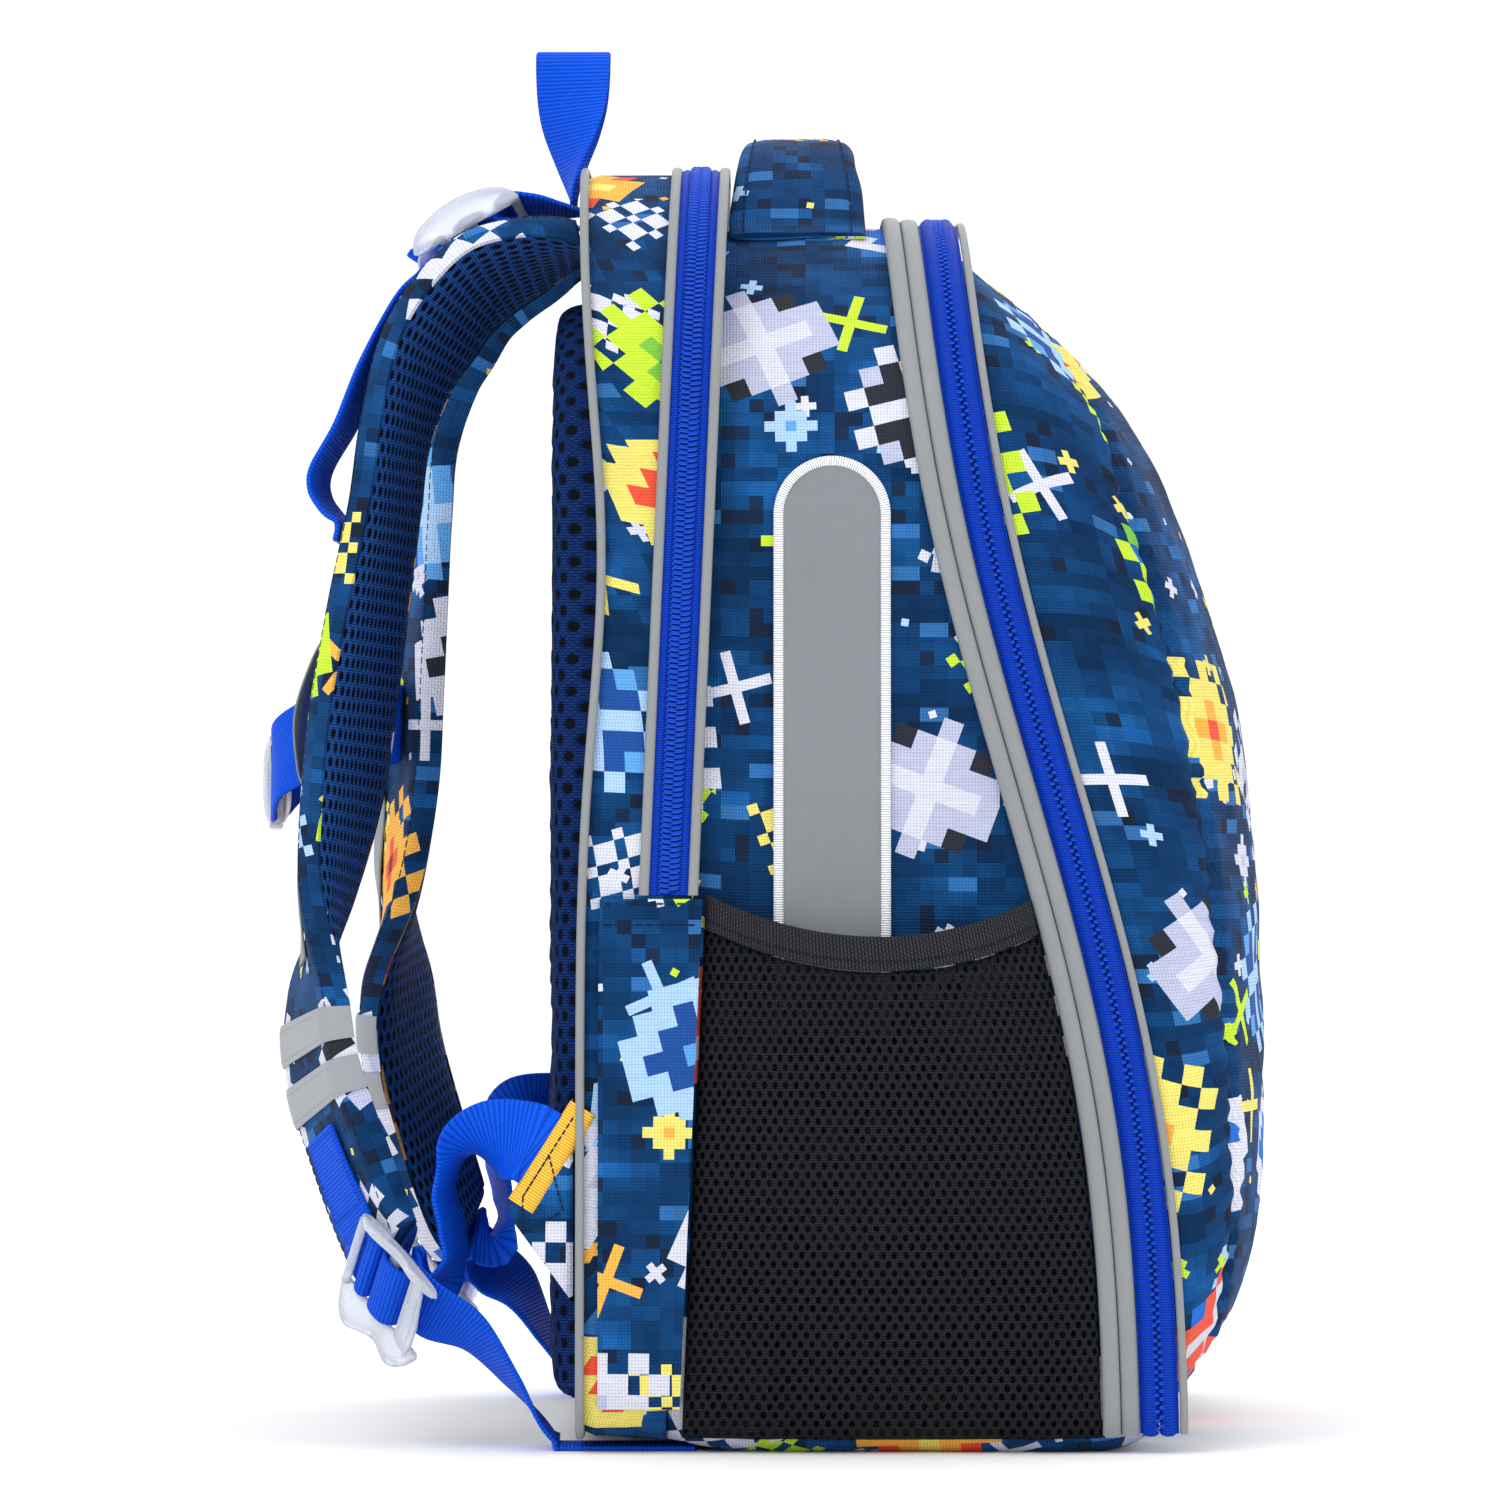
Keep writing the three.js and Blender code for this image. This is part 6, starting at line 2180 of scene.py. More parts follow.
@dataclass
class StrapLine:
    """The course of a shoulder strap, which everything on the strap follows."""

    side: Side
    reach: float = 83.0
    width: float = 64.0
    root_out: float = 48.0
    end_out: float = 106.0
    right_lean: float = 18.0
    pad: float = 8.5
    face: float = 2.0
    # Reach backwards, height, way out from root to end, roll in degrees, lean and width
    table: Table = (
        (0.012, 0.946, 0, 3, 0, 0.95), (0.1, 0.943, 0.02, 9, 0.1, 0.97), (0.21, 0.936, 0.04, 15, 0.2, 1),
        (0.363, 0.922, 0.08, 20, 0.2, 1), (0.477, 0.901, 0.12, 20, 0.2, 1),
        (0.572, 0.873, 0.16, 20, 0.25, 1), (0.649, 0.842, 0.2, 17, 0.3, 1),
        (0.718, 0.79, 0.27, 13, 0.35, 1), (0.752, 0.735, 0.34, 13, 0.4, 1),
        (0.802, 0.671, 0.41, 15, 0.5, 1), (0.859, 0.592, 0.48, 17, 0.62, 1),
        (0.905, 0.513, 0.56, 16, 0.75, 1), (0.963, 0.433, 0.65, 8, 0.9, 0.99),
        (1, 0.354, 0.75, -13, 1, 0.97), (0.973, 0.291, 0.84, -20, 0.97, 0.9),
        (0.875, 0.227, 0.93, -25, 0.88, 0.78), (0.76, 0.166, 1.03, -30, 0.78, 0.66),
        (0.7, 0.145, 1.1, -32, 0.75, 0.6))
    splay_start: float = 10.0
    splay_rows: float = 5.0

    @property
    def last(self) -> int:
        """The number of the last row."""
        return len(self.table) - 1

    @property
    def face_low(self) -> float:
        """Where the printed face begins, out of the strap's middle."""
        return self.pad * 0.3

    @property
    def face_high(self) -> float:
        """The top of the printed face."""
        return self.face_low + CLEAR + self.face

    def read(self, row: Array) -> Array:
        """The table's values at each row."""
        return catmull(np.array(self.table, float), np.atleast_1d(np.asarray(row, float)))

    def centre(self, row: Array) -> Array:
        """The strap's middle at each row.

        Args:
            row: Rows of the strap's table.

        Returns:
            Points.
        """
        values = self.read(row)
        lean = values[:, 4] * self.right_lean if self.side is Side.RIGHT else 0
        y = self.side.value * mix(self.root_out, self.end_out, values[:, 2])
        return np.column_stack([BACK_X - values[:, 0] * self.reach + lean, y, values[:, 1] * BODY_HEIGHT])

    def axes(self, row: Array) -> tuple[Array, Array, Array]:
        """The directions along the strap, across it to its outer edge and out of its face.

        Args:
            row: Rows of the strap's table.

        Returns:
            Three unit directions for each row.
        """
        row = np.atleast_1d(np.asarray(row, float))
        step = self.centre(np.minimum(row + 0.5, self.last)) - self.centre(np.maximum(row - 0.5, 0))
        step[:, 1] *= np.clip((row - self.splay_start) / self.splay_rows, 0, 1)
        along = unit(step)
        away = unit(np.column_stack([along[:, 2], np.zeros(len(row)), -along[:, 0]]))
        roll = np.radians(self.read(row)[:, 3])[:, None]
        rolled = vector(0, self.side.value, 0)[None] * np.cos(roll) + away * np.sin(roll)
        across = unit(rolled - along * (rolled * along).sum(1, keepdims=True))
        return along, across, np.cross(along, across) * -self.side.value

    def half(self, row: Array) -> Array:
        """Half the strap's width at each row."""
        return self.read(row)[:, 5] * self.width / 2

    def place(self, row: Array, across: Array, lift: Array) -> Array:
        """Points at distances across the strap and out of it.

        Args:
            row: Rows of the table.
            across: Distances across, one for each row or rows by columns.
            lift: Distances out, shaped as across is.

        Returns:
            Points, shaped as across is, by three.
        """
        row = np.atleast_1d(np.asarray(row, float))
        across, lift = np.asarray(across, float), np.asarray(lift, float)
        if across.ndim == 1 and len(across) != len(row):
            across = np.broadcast_to(across[None], (len(row), len(across)))
            lift = np.broadcast_to(lift[None], across.shape)
        centre, (_, side, out) = self.centre(row), self.axes(row)
        if across.ndim == 1:
            return centre + side * across[:, None] + out * lift[:, None]
        return centre[:, None] + side[:, None] * across[..., None] + out[:, None] * lift[..., None]


@dataclass
class ShoulderStrap:
    """A shoulder strap: spacer-mesh pad, printed face, reflective bars and runner."""

    line: StrapLine
    steps: int = 190
    wrap: float = 3.6
    chest_row: float = 10.35
    bars: tuple[tuple[str, float, float], ...] = (("upper", 13.31, 13.78), ("lower", 14.02, 14.46))

    @property
    def word(self) -> str:
        """The side's name."""
        return self.line.side.word

    def shell(self, shares: Array, top: Array, foot: Array, wrinkle: float, seed: int,
              inset: tuple[float, float] = (0.0, 0.0)) -> tuple:
        """Rings round the strap between an upper and a lower skin.

        Args:
            shares: Places across, from -1 to 1.
            top: The upper skin's distance out at each.
            foot: The lower skin's distance out at each.
            wrinkle: How deep the cloth's creases are.
            seed: Picks the creases.
            inset: How far the upper and the lower skin stop short of the strap's edges.

        Returns:
            The rings, the distance round them and the distance along.
        """
        rows = np.linspace(0, self.line.last, self.steps)
        half = self.line.half(rows)
        section_share = np.concatenate([shares, shares[::-1]])
        section_lift = np.concatenate([top, foot[::-1]])
        short = np.repeat(inset, len(shares)) * section_share
        across = half[:, None] * section_share[None] - short[None]
        run = lengths(self.line.centre(rows))
        crease = wrinkle * ripple(across, np.broadcast_to(run[:, None], across.shape), 12, seed)
        edge = np.clip((1 - np.abs(section_share)) * 6, 0, 1)[None]
        sign = np.concatenate([np.ones(len(shares)), -np.ones(len(shares))])[None]
        lift = section_lift[None] + crease * edge * np.where(sign > 0, 1, 0.6)
        rings = self.line.place(rows, across, lift)
        section = np.column_stack([section_share * self.line.width / 2, section_lift])
        return rings, around(section), run

    def fall(self, shares: Array, level: float, stop: float = 0.0) -> Array:
        """How the cloth lies at each share across: level, then down round the strap's edges."""
        return level - (level + self.wrap - stop) * np.abs(shares) ** 18

    def soft(self) -> None:
        """The pad and its printed face."""
        shares = np.sin(np.linspace(-1, 1, 41) * np.pi / 2)
        low, thick = self.line.face_low, self.line.pad
        top = self.fall(shares, low - 0.15, 0.3)
        foot = low - thick + 2.4 * np.abs(shares) ** 6
        rings, span, run = self.shell(shares, top, foot, 0.12, 81, (1.7, 1.7))
        surface = Surface()
        surface.sweep(rings, span, run)
        pad = surface.build(f"strap_pad_cushion_{self.word}", [MESH])
        hand_over(pad, MESH, f"strap_pad_{self.word}")
        high = self.line.face_high
        top = self.fall(shares, high)
        foot = self.fall(shares, low + CLEAR, -0.4)
        rings, span, run = self.shell(shares, top, foot, 0.3, 82, (0.0, 1.3))
        surface = Surface()
        surface.sweep(rings, span, run)
        rows = np.linspace(0.2, self.line.last - 0.1, 160)
        for edge in (-1, 1):
            half = self.line.half(rows)
            inner = half - 3.4
            line = self.line.place(rows, edge * inner, self.fall(inner / half, high) - 0.05)
            stitches(surface, line, self.line.axes(rows)[2], 1, 3.4, 2.7, 0.28)
        sew(surface, f"strap_face_cloth_{self.word}", f"strap_face_{self.word}", PRINT_STRAP, NAVY_THREAD)

    def bar(self, word: str, start: float, end: float) -> Piece:
        """A reflective bar round the strap's face, stitched along both edges.

        Args:
            word: Which bar.
            start: The row where it starts.
            end: The row where it ends.

        Returns:
            The piece.
        """
        rows = np.linspace(start, end, 14)
        shares = np.sin(np.linspace(-1, 1, 41) * np.pi / 2)
        high = self.line.face_high + CLEAR
        drop = high - self.fall(shares, high, 0.3)
        half = self.line.half(rows) + 0.5
        across = half[:, None] * shares[None]
        roll = 0.35 * np.abs(np.linspace(-1, 1, 14)) ** 6
        top = np.broadcast_to(high + 0.8 - drop[None], across.shape) - roll[:, None]
        foot = np.broadcast_to(high - 0.1 - drop[None], across.shape)
        upper, lower = self.line.place(rows, across, top), self.line.place(rows, across, foot)
        run = lengths(self.line.centre(rows))
        cloth = np.stack([across, np.broadcast_to(run[:, None], across.shape)], -1)
        surface = Surface()
        surface.slab(upper, lower, cloth)
        for row in (start + 0.07, end - 0.07):
            at = np.full(60, row)
            places = np.linspace(-0.94, 0.94, 60)
            lift = self.fall(places, high) + 0.85
            line = self.line.place(at, self.line.half(at) * places, lift)
            stitches(surface, line, self.line.axes(at)[2], 1, 2.7, 2.0, 0.22)
        return sew(surface, f"strap_bar_{word}_film_{self.word}",
                   f"strap_bar_{word}_{self.word}", BAR_FILM, GREY_THREAD)

    def strip(self, name: str, node: str, rows: Sequence[float], lifts: Sequence[float],
              low: float, high: float, thickness: float, finish: Finish,
              thread: Finish) -> Piece:
        """A flat strip along the strap's face, between two distances across it.

        Args:
            name: The piece's name.
            node: The solid that it stands for.
            rows: Rows of the strap's table.
            lifts: Its height at each.
            low: Its edge nearer the middle.
            high: Its outer edge.
            thickness: Its thickness.
            finish: Its finish.
            thread: Its thread's finish.

        Returns:
            The piece.
        """
        middle, width = (low + high) / 2, high - low
        points = self.line.place(np.array(rows), np.full(len(rows), middle), np.array(lifts))
        side = self.line.axes(np.array(rows))[1]
        path = Path.through(points, side, 1.2)
        surface = Surface()
        ribbon(surface, path, width, thickness, columns=6)
        for end in (3.0, path.run[-1] - 3.0):
            place = np.array([np.interp(end, path.run, column) for column in path.at.T])
            row = int(np.argmin(np.abs(path.run - end)))
            across = np.linspace(-width / 2 + 1.2, width / 2 - 1.2, 12)
            front = path.out[row] * (1 if (path.out[row] @ self.line.axes(rows[0])[2][0]) > 0 else -1)
            line = place[None] + path.across[row][None] * across[:, None] + front * (thickness / 2 + 0.1)
            stitches(surface, line, front, 1, 2.2, 1.8, 0.26)
        return sew(surface, name, node, finish, thread)

    def build(self) -> None:
        """Makes the whole strap."""
        self.soft()
        for word, start, end in self.bars:
            self.bar(word, start, end)
        high = self.line.face_high
        row = self.chest_row
        rows = [row - 0.85, row - 0.55, row, row + 0.55, row + 0.85, row + 1.6, row + 2.4]
        lifts = [high + CLEAR + bulge * 7.0 + 0.4 for bulge in (0, 0.55, 1, 0.55, 0, 0.06, 0.03)]
        self.strip(f"runner_film_{self.word}", f"runner_{self.word}", rows, lifts, 4, 18, 0.8, FILM,
                   GREY_THREAD)


@dataclass
class LadderLock:
    """A moulded ladder lock: two waved flanges, a thin top bar, a middle bar and a lifted thumb tab."""

    width: float = 33.0
    length: float = 38.0
    flange: float = 4.4
    flange_rise: float = 7.0
    bar: float = 3.2
    tab_lift: float = 6.0
    waves: float = 0.28
    flare: float = 0.8

    def flange_rings(self, side: int) -> Array:
        """The rings of one flange, along the lock.

        Args:
            side: -1 or 1, the edge that it stands on.

        Returns:
            Rings of [across, along, out].
        """
        share = np.linspace(0, 1, 36)
        waved = 1 - self.waves + self.waves * np.sin(3 * np.pi * share - 0.6)
        leaf = np.sin(np.pi * share) ** 0.5 * waved
        ends = np.sqrt(np.clip(1 - np.abs(2 * share - 1) ** 12, 0.04, 1))
        turn = turns(16)
        cos, sin = squared(np.cos(turn), 0.6), squared(np.sin(turn), 0.6)
        rings = []
        for t, rise, end in zip(share, leaf, ends):
            low, high = -1.4 * end, (1.0 + self.flange_rise * rise) * end
            z = (low + high) / 2 + sin * (high - low) / 2
            middle = self.width / 2 - self.flange / 2 + 1.4 - 1.1 * (t - 0.5) ** 2 * 4
            x = side * (middle + self.flare * np.maximum(z, 0)) + cos * self.flange / 2 * end
            rings.append(np.column_stack([x, np.full(16, (t - 0.5) * self.length), z]))
        return np.array(rings)

    def bar_rings(self, along: float, out: float, depth: float, height: float) -> Array:
        """The rings of a crossbar between the flanges.

        Args:
            along: Its place along the lock.
            out: Its height.
            depth: Its size along the lock.
            height: Its thickness.

        Returns:
            Rings of [across, along, out].
        """
        x = np.linspace(-1, 1, 16) * (self.width / 2 - 1.9)
        turn = turns(16)
        return np.array([np.column_stack([np.full(16, value), along + depth / 2 * np.cos(turn),
                                          out + height / 2 * np.sin(turn)]) for value in x])

    def tab_rings(self) -> Array:
        """The rings of the thumb tab, which curls out of the lower end.

        Returns:
            Rings of [across, along, out].
        """
        share = np.linspace(0, 1, 18)
        turn = turns(32)
        cos, sin = squared(np.cos(turn), 0.45), squared(np.sin(turn), 0.45)
        rings = []
        for t in share:
            half = (self.width / 2 - 1.2) * (1 - 0.3 * t**2.2) * math.sqrt(max(1 - t**9, 0.12))
            thick = 1.25 * (1 - 0.35 * t) * (0.3 if t in (0.0, 1.0) else 1.0)
            y = self.length * 0.235 + t * self.length * 0.3
            z = self.tab_lift * t**1.4 + 0.4 * math.sin(3 * math.pi * t) + sin * thick
            rings.append(np.column_stack([cos * half, np.full(32, y), z + 0.8 * np.abs(cos) ** 3 * t]))
        return np.array(rings)

    def build(self, name: str, node: str, centre: Array, across: Array, along: Array,
              out: Array) -> Piece:
        """Makes a lock.

        Args:
            name: The piece's name.
            node: The solid that it stands for.
            centre: Its middle.
            across: The direction of its width.
            along: The direction from its strap end to its free end.
            out: The direction that its tab curls to.

        Returns:
            The piece.
        """
        surface = Surface()
        length = self.length
        parts = [self.flange_rings(-1), self.flange_rings(1), self.tab_rings(),
                 self.bar_rings(-length * 0.455, 0.7, self.bar, self.bar * 0.85),
                 self.bar_rings(-length * 0.03, 0.0, self.bar * 1.4, self.bar * 0.8),
                 self.bar_rings(length * 0.25, 0.0, self.bar * 1.3, self.bar * 0.9)]
        for rings in parts:
            placed = centre + rings @ np.array([across, along, out])
            surface.sweep(placed, around(rings[3]), lengths(rings[:, 0]))
        return hand_over(surface.build(name, [PLASTIC], crease=55), PLASTIC, node)


def route(start: Array, end: Array, rows: Sequence[tuple[float, float, float]]) -> list[Array]:
    """A free length of webbing between two points.

    Args:
        start: Where it begins.
        end: Where it ends.
        rows: Share of the way, and shares of the length backwards and up.

    Returns:
        Its points.
    """
    length = float(np.linalg.norm(end - start))
    points = []
    for along, back, rise in rows:
        at = mix(start, end, along) + vector(-back * length, 0, rise * length)
        at[2] = max(at[2], ON_FLOOR)
        points.append(at)
    return points


@dataclass
class LowerAdjuster:
    """The wing tab, the adjuster webbing, the ladder lock and the hanging tail."""

    line: StrapLine
    webbing: float = 25.0
    thickness: float = 1.5
    wing_depth: float = 20.0
    wing_length: float = 63.0
    wing_middle: float = 78.0
    lock: LadderLock = field(default_factory=LadderLock)
    # Share of the way, backwards and up as shares of the length, and turn from the wing to the lock
    adjuster_rows: Table = (
        (0.25, 0.07, 0.2, 0.3), (0.45, 0.11, 0.265, 0.6), (0.58, 0.1, 0.157, 0.85), (0.68, 0, 0.04, 1),
        (0.77, -0.07, -0.05, 1.25), (0.9, -0.07, -0.1, 1.7), (1, 0, 0, 2))
    # Share of the way, backwards and up as shares of the length
    tail_rows: Table = (
        (0, 0, 0), (0.317, 0, 0.095), (0.602, 0, 0.054), (0.8, 0, 0), (0.93, 0, -0.02), (1, 0, 0))

    @property
    def word(self) -> str:
        """The side's name."""
        return self.line.side.word

    def wing(self) -> tuple[Array, Array, Array]:
        """Makes the wing tab and returns where the webbing leaves it, its edge and the way out.

        Returns:
            A point and two directions.
        """
        side = self.line.side.value
        y = float(REAR.half_width(self.wing_middle)) - 2
        x = BACK_X - 2 * CLEAR - 0.95
        top = vector(x, side * y, self.wing_middle + self.wing_length / 2)
        foot = vector(x, side * y, self.wing_middle - self.wing_length / 2)
        tip = vector(x - self.wing_depth, side * y, self.wing_middle)
        heel = vector(x - self.wing_depth * 0.94, side * y, self.wing_middle - 6)
        surface = Surface()
        s, t = np.meshgrid(np.linspace(0, 1, 30), np.linspace(0, 1, 18), indexing="ij")
        upper = mix(top[None, None], tip[None, None], t[..., None])
        lower = mix(foot[None, None], heel[None, None], t[..., None])
        flat = mix(upper, lower, s[..., None])
        puff = 1.5 * (1 - (2 * s - 1) ** 6) ** 0.5 * (1 - np.abs(2 * t - 1) ** 8) ** 0.5
        wave = 0.3 * ripple(flat[..., 0], flat[..., 2], 9, 91)
        for sign in (1, -1):
            skin = flat.copy()
            skin[..., 1] += sign * (puff + wave * puff / 1.5)
            surface.grid(skin, np.stack([flat[..., 0], flat[..., 2]], -1))
        edge = mix(top, tip, np.linspace(0.02, 0.98, 30)[:, None])
        inward = unit(np.cross(unit(tip - top), ALONG_Y))
        inward *= np.sign(inward @ (foot - top))
        surface.tube(Path.plain(edge + inward * 4.4, inward, ALONG_Y), flat_section(9.4, -1.9, 1.9, 6), 2)
        corners = [mix(top, tip, 0.12) + inward * 3.2, mix(top, tip, 0.9) + inward * 3.2,
                   mix(foot, heel, 0.82) - inward * 0.5, mix(top, foot, 0.55) + [-3.0, 0, 0],
                   mix(top, tip, 0.5) + inward * 3.2]
        for a, b in ((0, 1), (1, 2), (2, 3), (3, 4), (4, 1)):
            line = mix(corners[a], corners[b], np.linspace(0, 1, 40)[:, None])
            line[:, 1] = side * (y + 1.95)
            stitches(surface, line, vector(0, side, 0), 1, 2.3, 1.9, 0.3)
        sew(surface, f"wing_tab_cloth_{self.word}",
            f"wing_tab_{self.word}", PRINT_WING, NAVY_THREAD, YELLOW_HEM)
        middle = vector(x - self.wing_depth / 2, side * y, self.wing_middle + self.wing_length / 4)
        edge = unit(vector(-self.wing_depth, 0, -self.wing_length / 2))
        away = vector(edge[2], 0, -edge[0])
        return middle + away * CLEAR, edge, away

    def build(self) -> None:
        """Makes all of it."""
        side = self.line.side.value
        last = self.line.last
        along_0, across_0, face = (axis[0] for axis in self.line.axes(last))
        along = unit(along_0 + vector(0.1, 0, 0.07))
        across = unit(across_0 + vector(0, 0, 0.09))
        high = self.line.face_high
        centre = self.line.centre(last)[0] + face * (high + 2.7) + along * 9
        front = unit(np.cross(across, along)) * side
        across = np.cross(along, front) * side
        self.lock.build(f"ladder_lock_moulding_{self.word}", f"ladder_lock_{self.word}", centre, across,
                        along, front)
        self.end_webbing(centre, across, along, front)
        start, edge, leaving = self.wing()
        lock_end = centre - along * self.lock.length * 0.05 - front * 9.8
        level = vector(0.3, -side, 0)
        lock_side = -across
        points, widths = [start - leaving * 6, start, start + leaving * 4], [edge, edge, edge]
        free = route(start, lock_end, [row[:3] for row in self.adjuster_rows])
        for at, (_, _, _, turn) in zip(free, self.adjuster_rows):
            points.append(at)
            widths.append(mix(edge, level, turn) if turn < 1 else mix(level, lock_side, turn - 1))
        wrap = [(5.5, -5.0), (5.6, -1.0), (3.4, 2.2), (-0.6, 2.9), (-4.2, 2.0), (-5.6, -1.2), (-3.0, -4.0)]
        for down, out in wrap:
            points.append(centre + along * down + front * out)
            widths.append(lock_side)
        webbing_band(f"adjuster_webbing_band_{self.word}", f"adjuster_webbing_{self.word}",
                     Path.through(points, widths, 1.3), self.webbing, self.thickness)
        tail_start = centre + along * self.lock.length * 0.37 - front * 6
        touch_down = vector(BACK_X - 4, side * (self.line.end_out + 12), ON_FLOOR)
        tail = route(tail_start, touch_down, self.tail_rows)
        tail.append(touch_down * [0, 1, 1] + [BACK_X + 36, 0, 0])
        count = len(tail)
        inside = [centre - along * 3.0 - front * 4.6, centre + along * 5.0 - front * 5.2]
        turned = [mix(across, vector(0, side, 0), min(i / (count - 1) / 0.5, 1)) for i in range(count)]
        surface = Surface()
        path = Path.through([*inside, *tail], [across, across, *turned], 1.6)
        path.at[:, 2] = np.maximum(path.at[:, 2], ON_FLOOR)
        ribbon(surface, path, self.webbing, self.thickness, columns=10)
        surface.points = [np.maximum(points, [-np.inf, -np.inf, 0.02]) for points in surface.points]
        sew(surface, f"tail_webbing_band_{self.word}", f"tail_webbing_{self.word}", WEBBING)

    def end_webbing(self, centre: Array, across: Array, along: Array, front: Array) -> None:
        """The webbing that is sewn to the strap's end and holds the lock.

        Args:
            centre: The lock's middle.
            across: The direction of the lock's width.
            along: The direction along the lock.
            front: The direction out of the lock's front.
        """
        high = self.line.face_high
        rows = np.array([14.7, 15.1, 15.5, 15.9])
        lifts = np.array([1.65, 1.65, 1.4, 1.1]) + high
        points = list(self.line.place(rows, np.zeros(4), lifts))
        side = list(self.line.axes(rows)[1])
        for down, out in ((-17.4, -1.8), (-14.6, -1.4), (-12.6, 0.7), (-10.4, 1.9), (-8.2, 0.8),
                          (-8.0, -2.2)):
            points.append(centre + along * down + front * out)
            side.append(across)
        surface = Surface()
        path = Path.through(points, side, 1.2)
        ribbon(surface, path, self.webbing, self.thickness, columns=10)
        faces = self.line.axes(rows)[2]
        corners = [(14.76, -1), (14.76, 1), (15.62, 1), (15.62, -1), (14.76, -1)]
        for (row_a, side_a), (row_b, side_b) in zip(corners, corners[1:]):
            at = np.linspace(row_a, row_b, 24)
            offset = np.linspace(side_a, side_b, 24) * (self.webbing / 2 - 1.6)
            line = self.line.place(at, offset, np.full(24, lifts[0] + 0.85))
            stitches(surface, line, faces[0], 1, 2.2, 1.8, 0.26)
        sew(surface, f"strap_end_webbing_band_{self.word}",
            f"strap_end_webbing_{self.word}", WEBBING, BLUE_THREAD)


@dataclass
class LoadLifter:
    """The short webbing above the strap with its lock and its sewn tail."""

    line: StrapLine
    webbing: float = 25.0
    thickness: float = 1.5
    lock_row: float = 2.9
    lock_lift: float = 11.5
    # The tail on the strap: row of the strap, share of its half width and lift
    rows: Table = (
        (3.9, 0.1, 8.6), (4.4, 0.2, 8), (5, 0.3, 8), (6.2, 0.45, 8.5), (7, 0.5, 12), (7.6, 0.5, 17.5),
        (7.95, 0.5, 17), (8.2, 0.5, 12), (8.35, 0.5, 6.6), (8.6, 0.5, 6.1))

    def build(self) -> None:
        """Makes the lock, the webbing and the tail."""
        word, side = self.line.side.word, self.line.side.value
        along, across, front = (axis[0] for axis in self.line.axes(self.lock_row))
        centre = self.line.place([self.lock_row], [0.0], [self.lock_lift])[0]
        lock = LadderLock(flange_rise=7.5, tab_lift=-2.0, waves=0.0, flare=0.2)
        lock.build(f"lifter_lock_moulding_{word}", f"lifter_lock_{word}", centre, across, along, front)
        seam = vector(BACK_X - CLEAR / 2, centre[1], BODY_HEIGHT * 0.97)
        rear = centre - along * (lock.length / 2 + 2.6)
        outward = vector(0, side, 0)
        points = [seam, mix(seam, rear, 0.5), rear, centre - along * 17 + front * 3.2,
                  centre - along * 12 + front * 3.0, centre - along * 9 - front * 1.5,
                  centre - along * 12.5 - front * 4.2]
        widths = [outward, mix(outward, across, 0.5), *[across] * 5]
        webbing_band(f"lifter_webbing_band_{word}", f"lifter_webbing_{word}",
                     Path.through(points, widths, 1.2), self.webbing, self.thickness)
        numbers, shares, lifts = np.array(self.rows).T
        tail = list(self.line.place(numbers, self.line.half(numbers) * shares, lifts))
        sides = list(self.line.axes(numbers)[1])
        wrap = [(-8.4, -1.0), (-6.0, 2.4), (-1.2, 3.3), (3.6, 2.4), (5.9, -0.5), (9.0, -3.6), (15.0, -4.4)]
        inside = [centre + along * down + front * lift for down, lift in wrap]
        surface = Surface()
        path = Path.through([*inside, *tail], [across] * len(inside) + sides, 1.3)
        ribbon(surface, path, self.webbing, self.thickness, columns=10)
        width = self.webbing / 2 - 2
        for row in (8.45, 8.5, 8.55):
            at = np.full(16, row)
            place = self.line.half(at) * 0.5 + np.linspace(-width, width, 16)
            line = self.line.place(at, place, np.full(16, 6.95))
            stitches(surface, line, self.line.axes(at)[2], 1, 1.4, 1.4, 0.32)
        sew(surface, f"lifter_tail_band_{word}", f"lifter_tail_{word}", WEBBING, WHITE_THREAD)


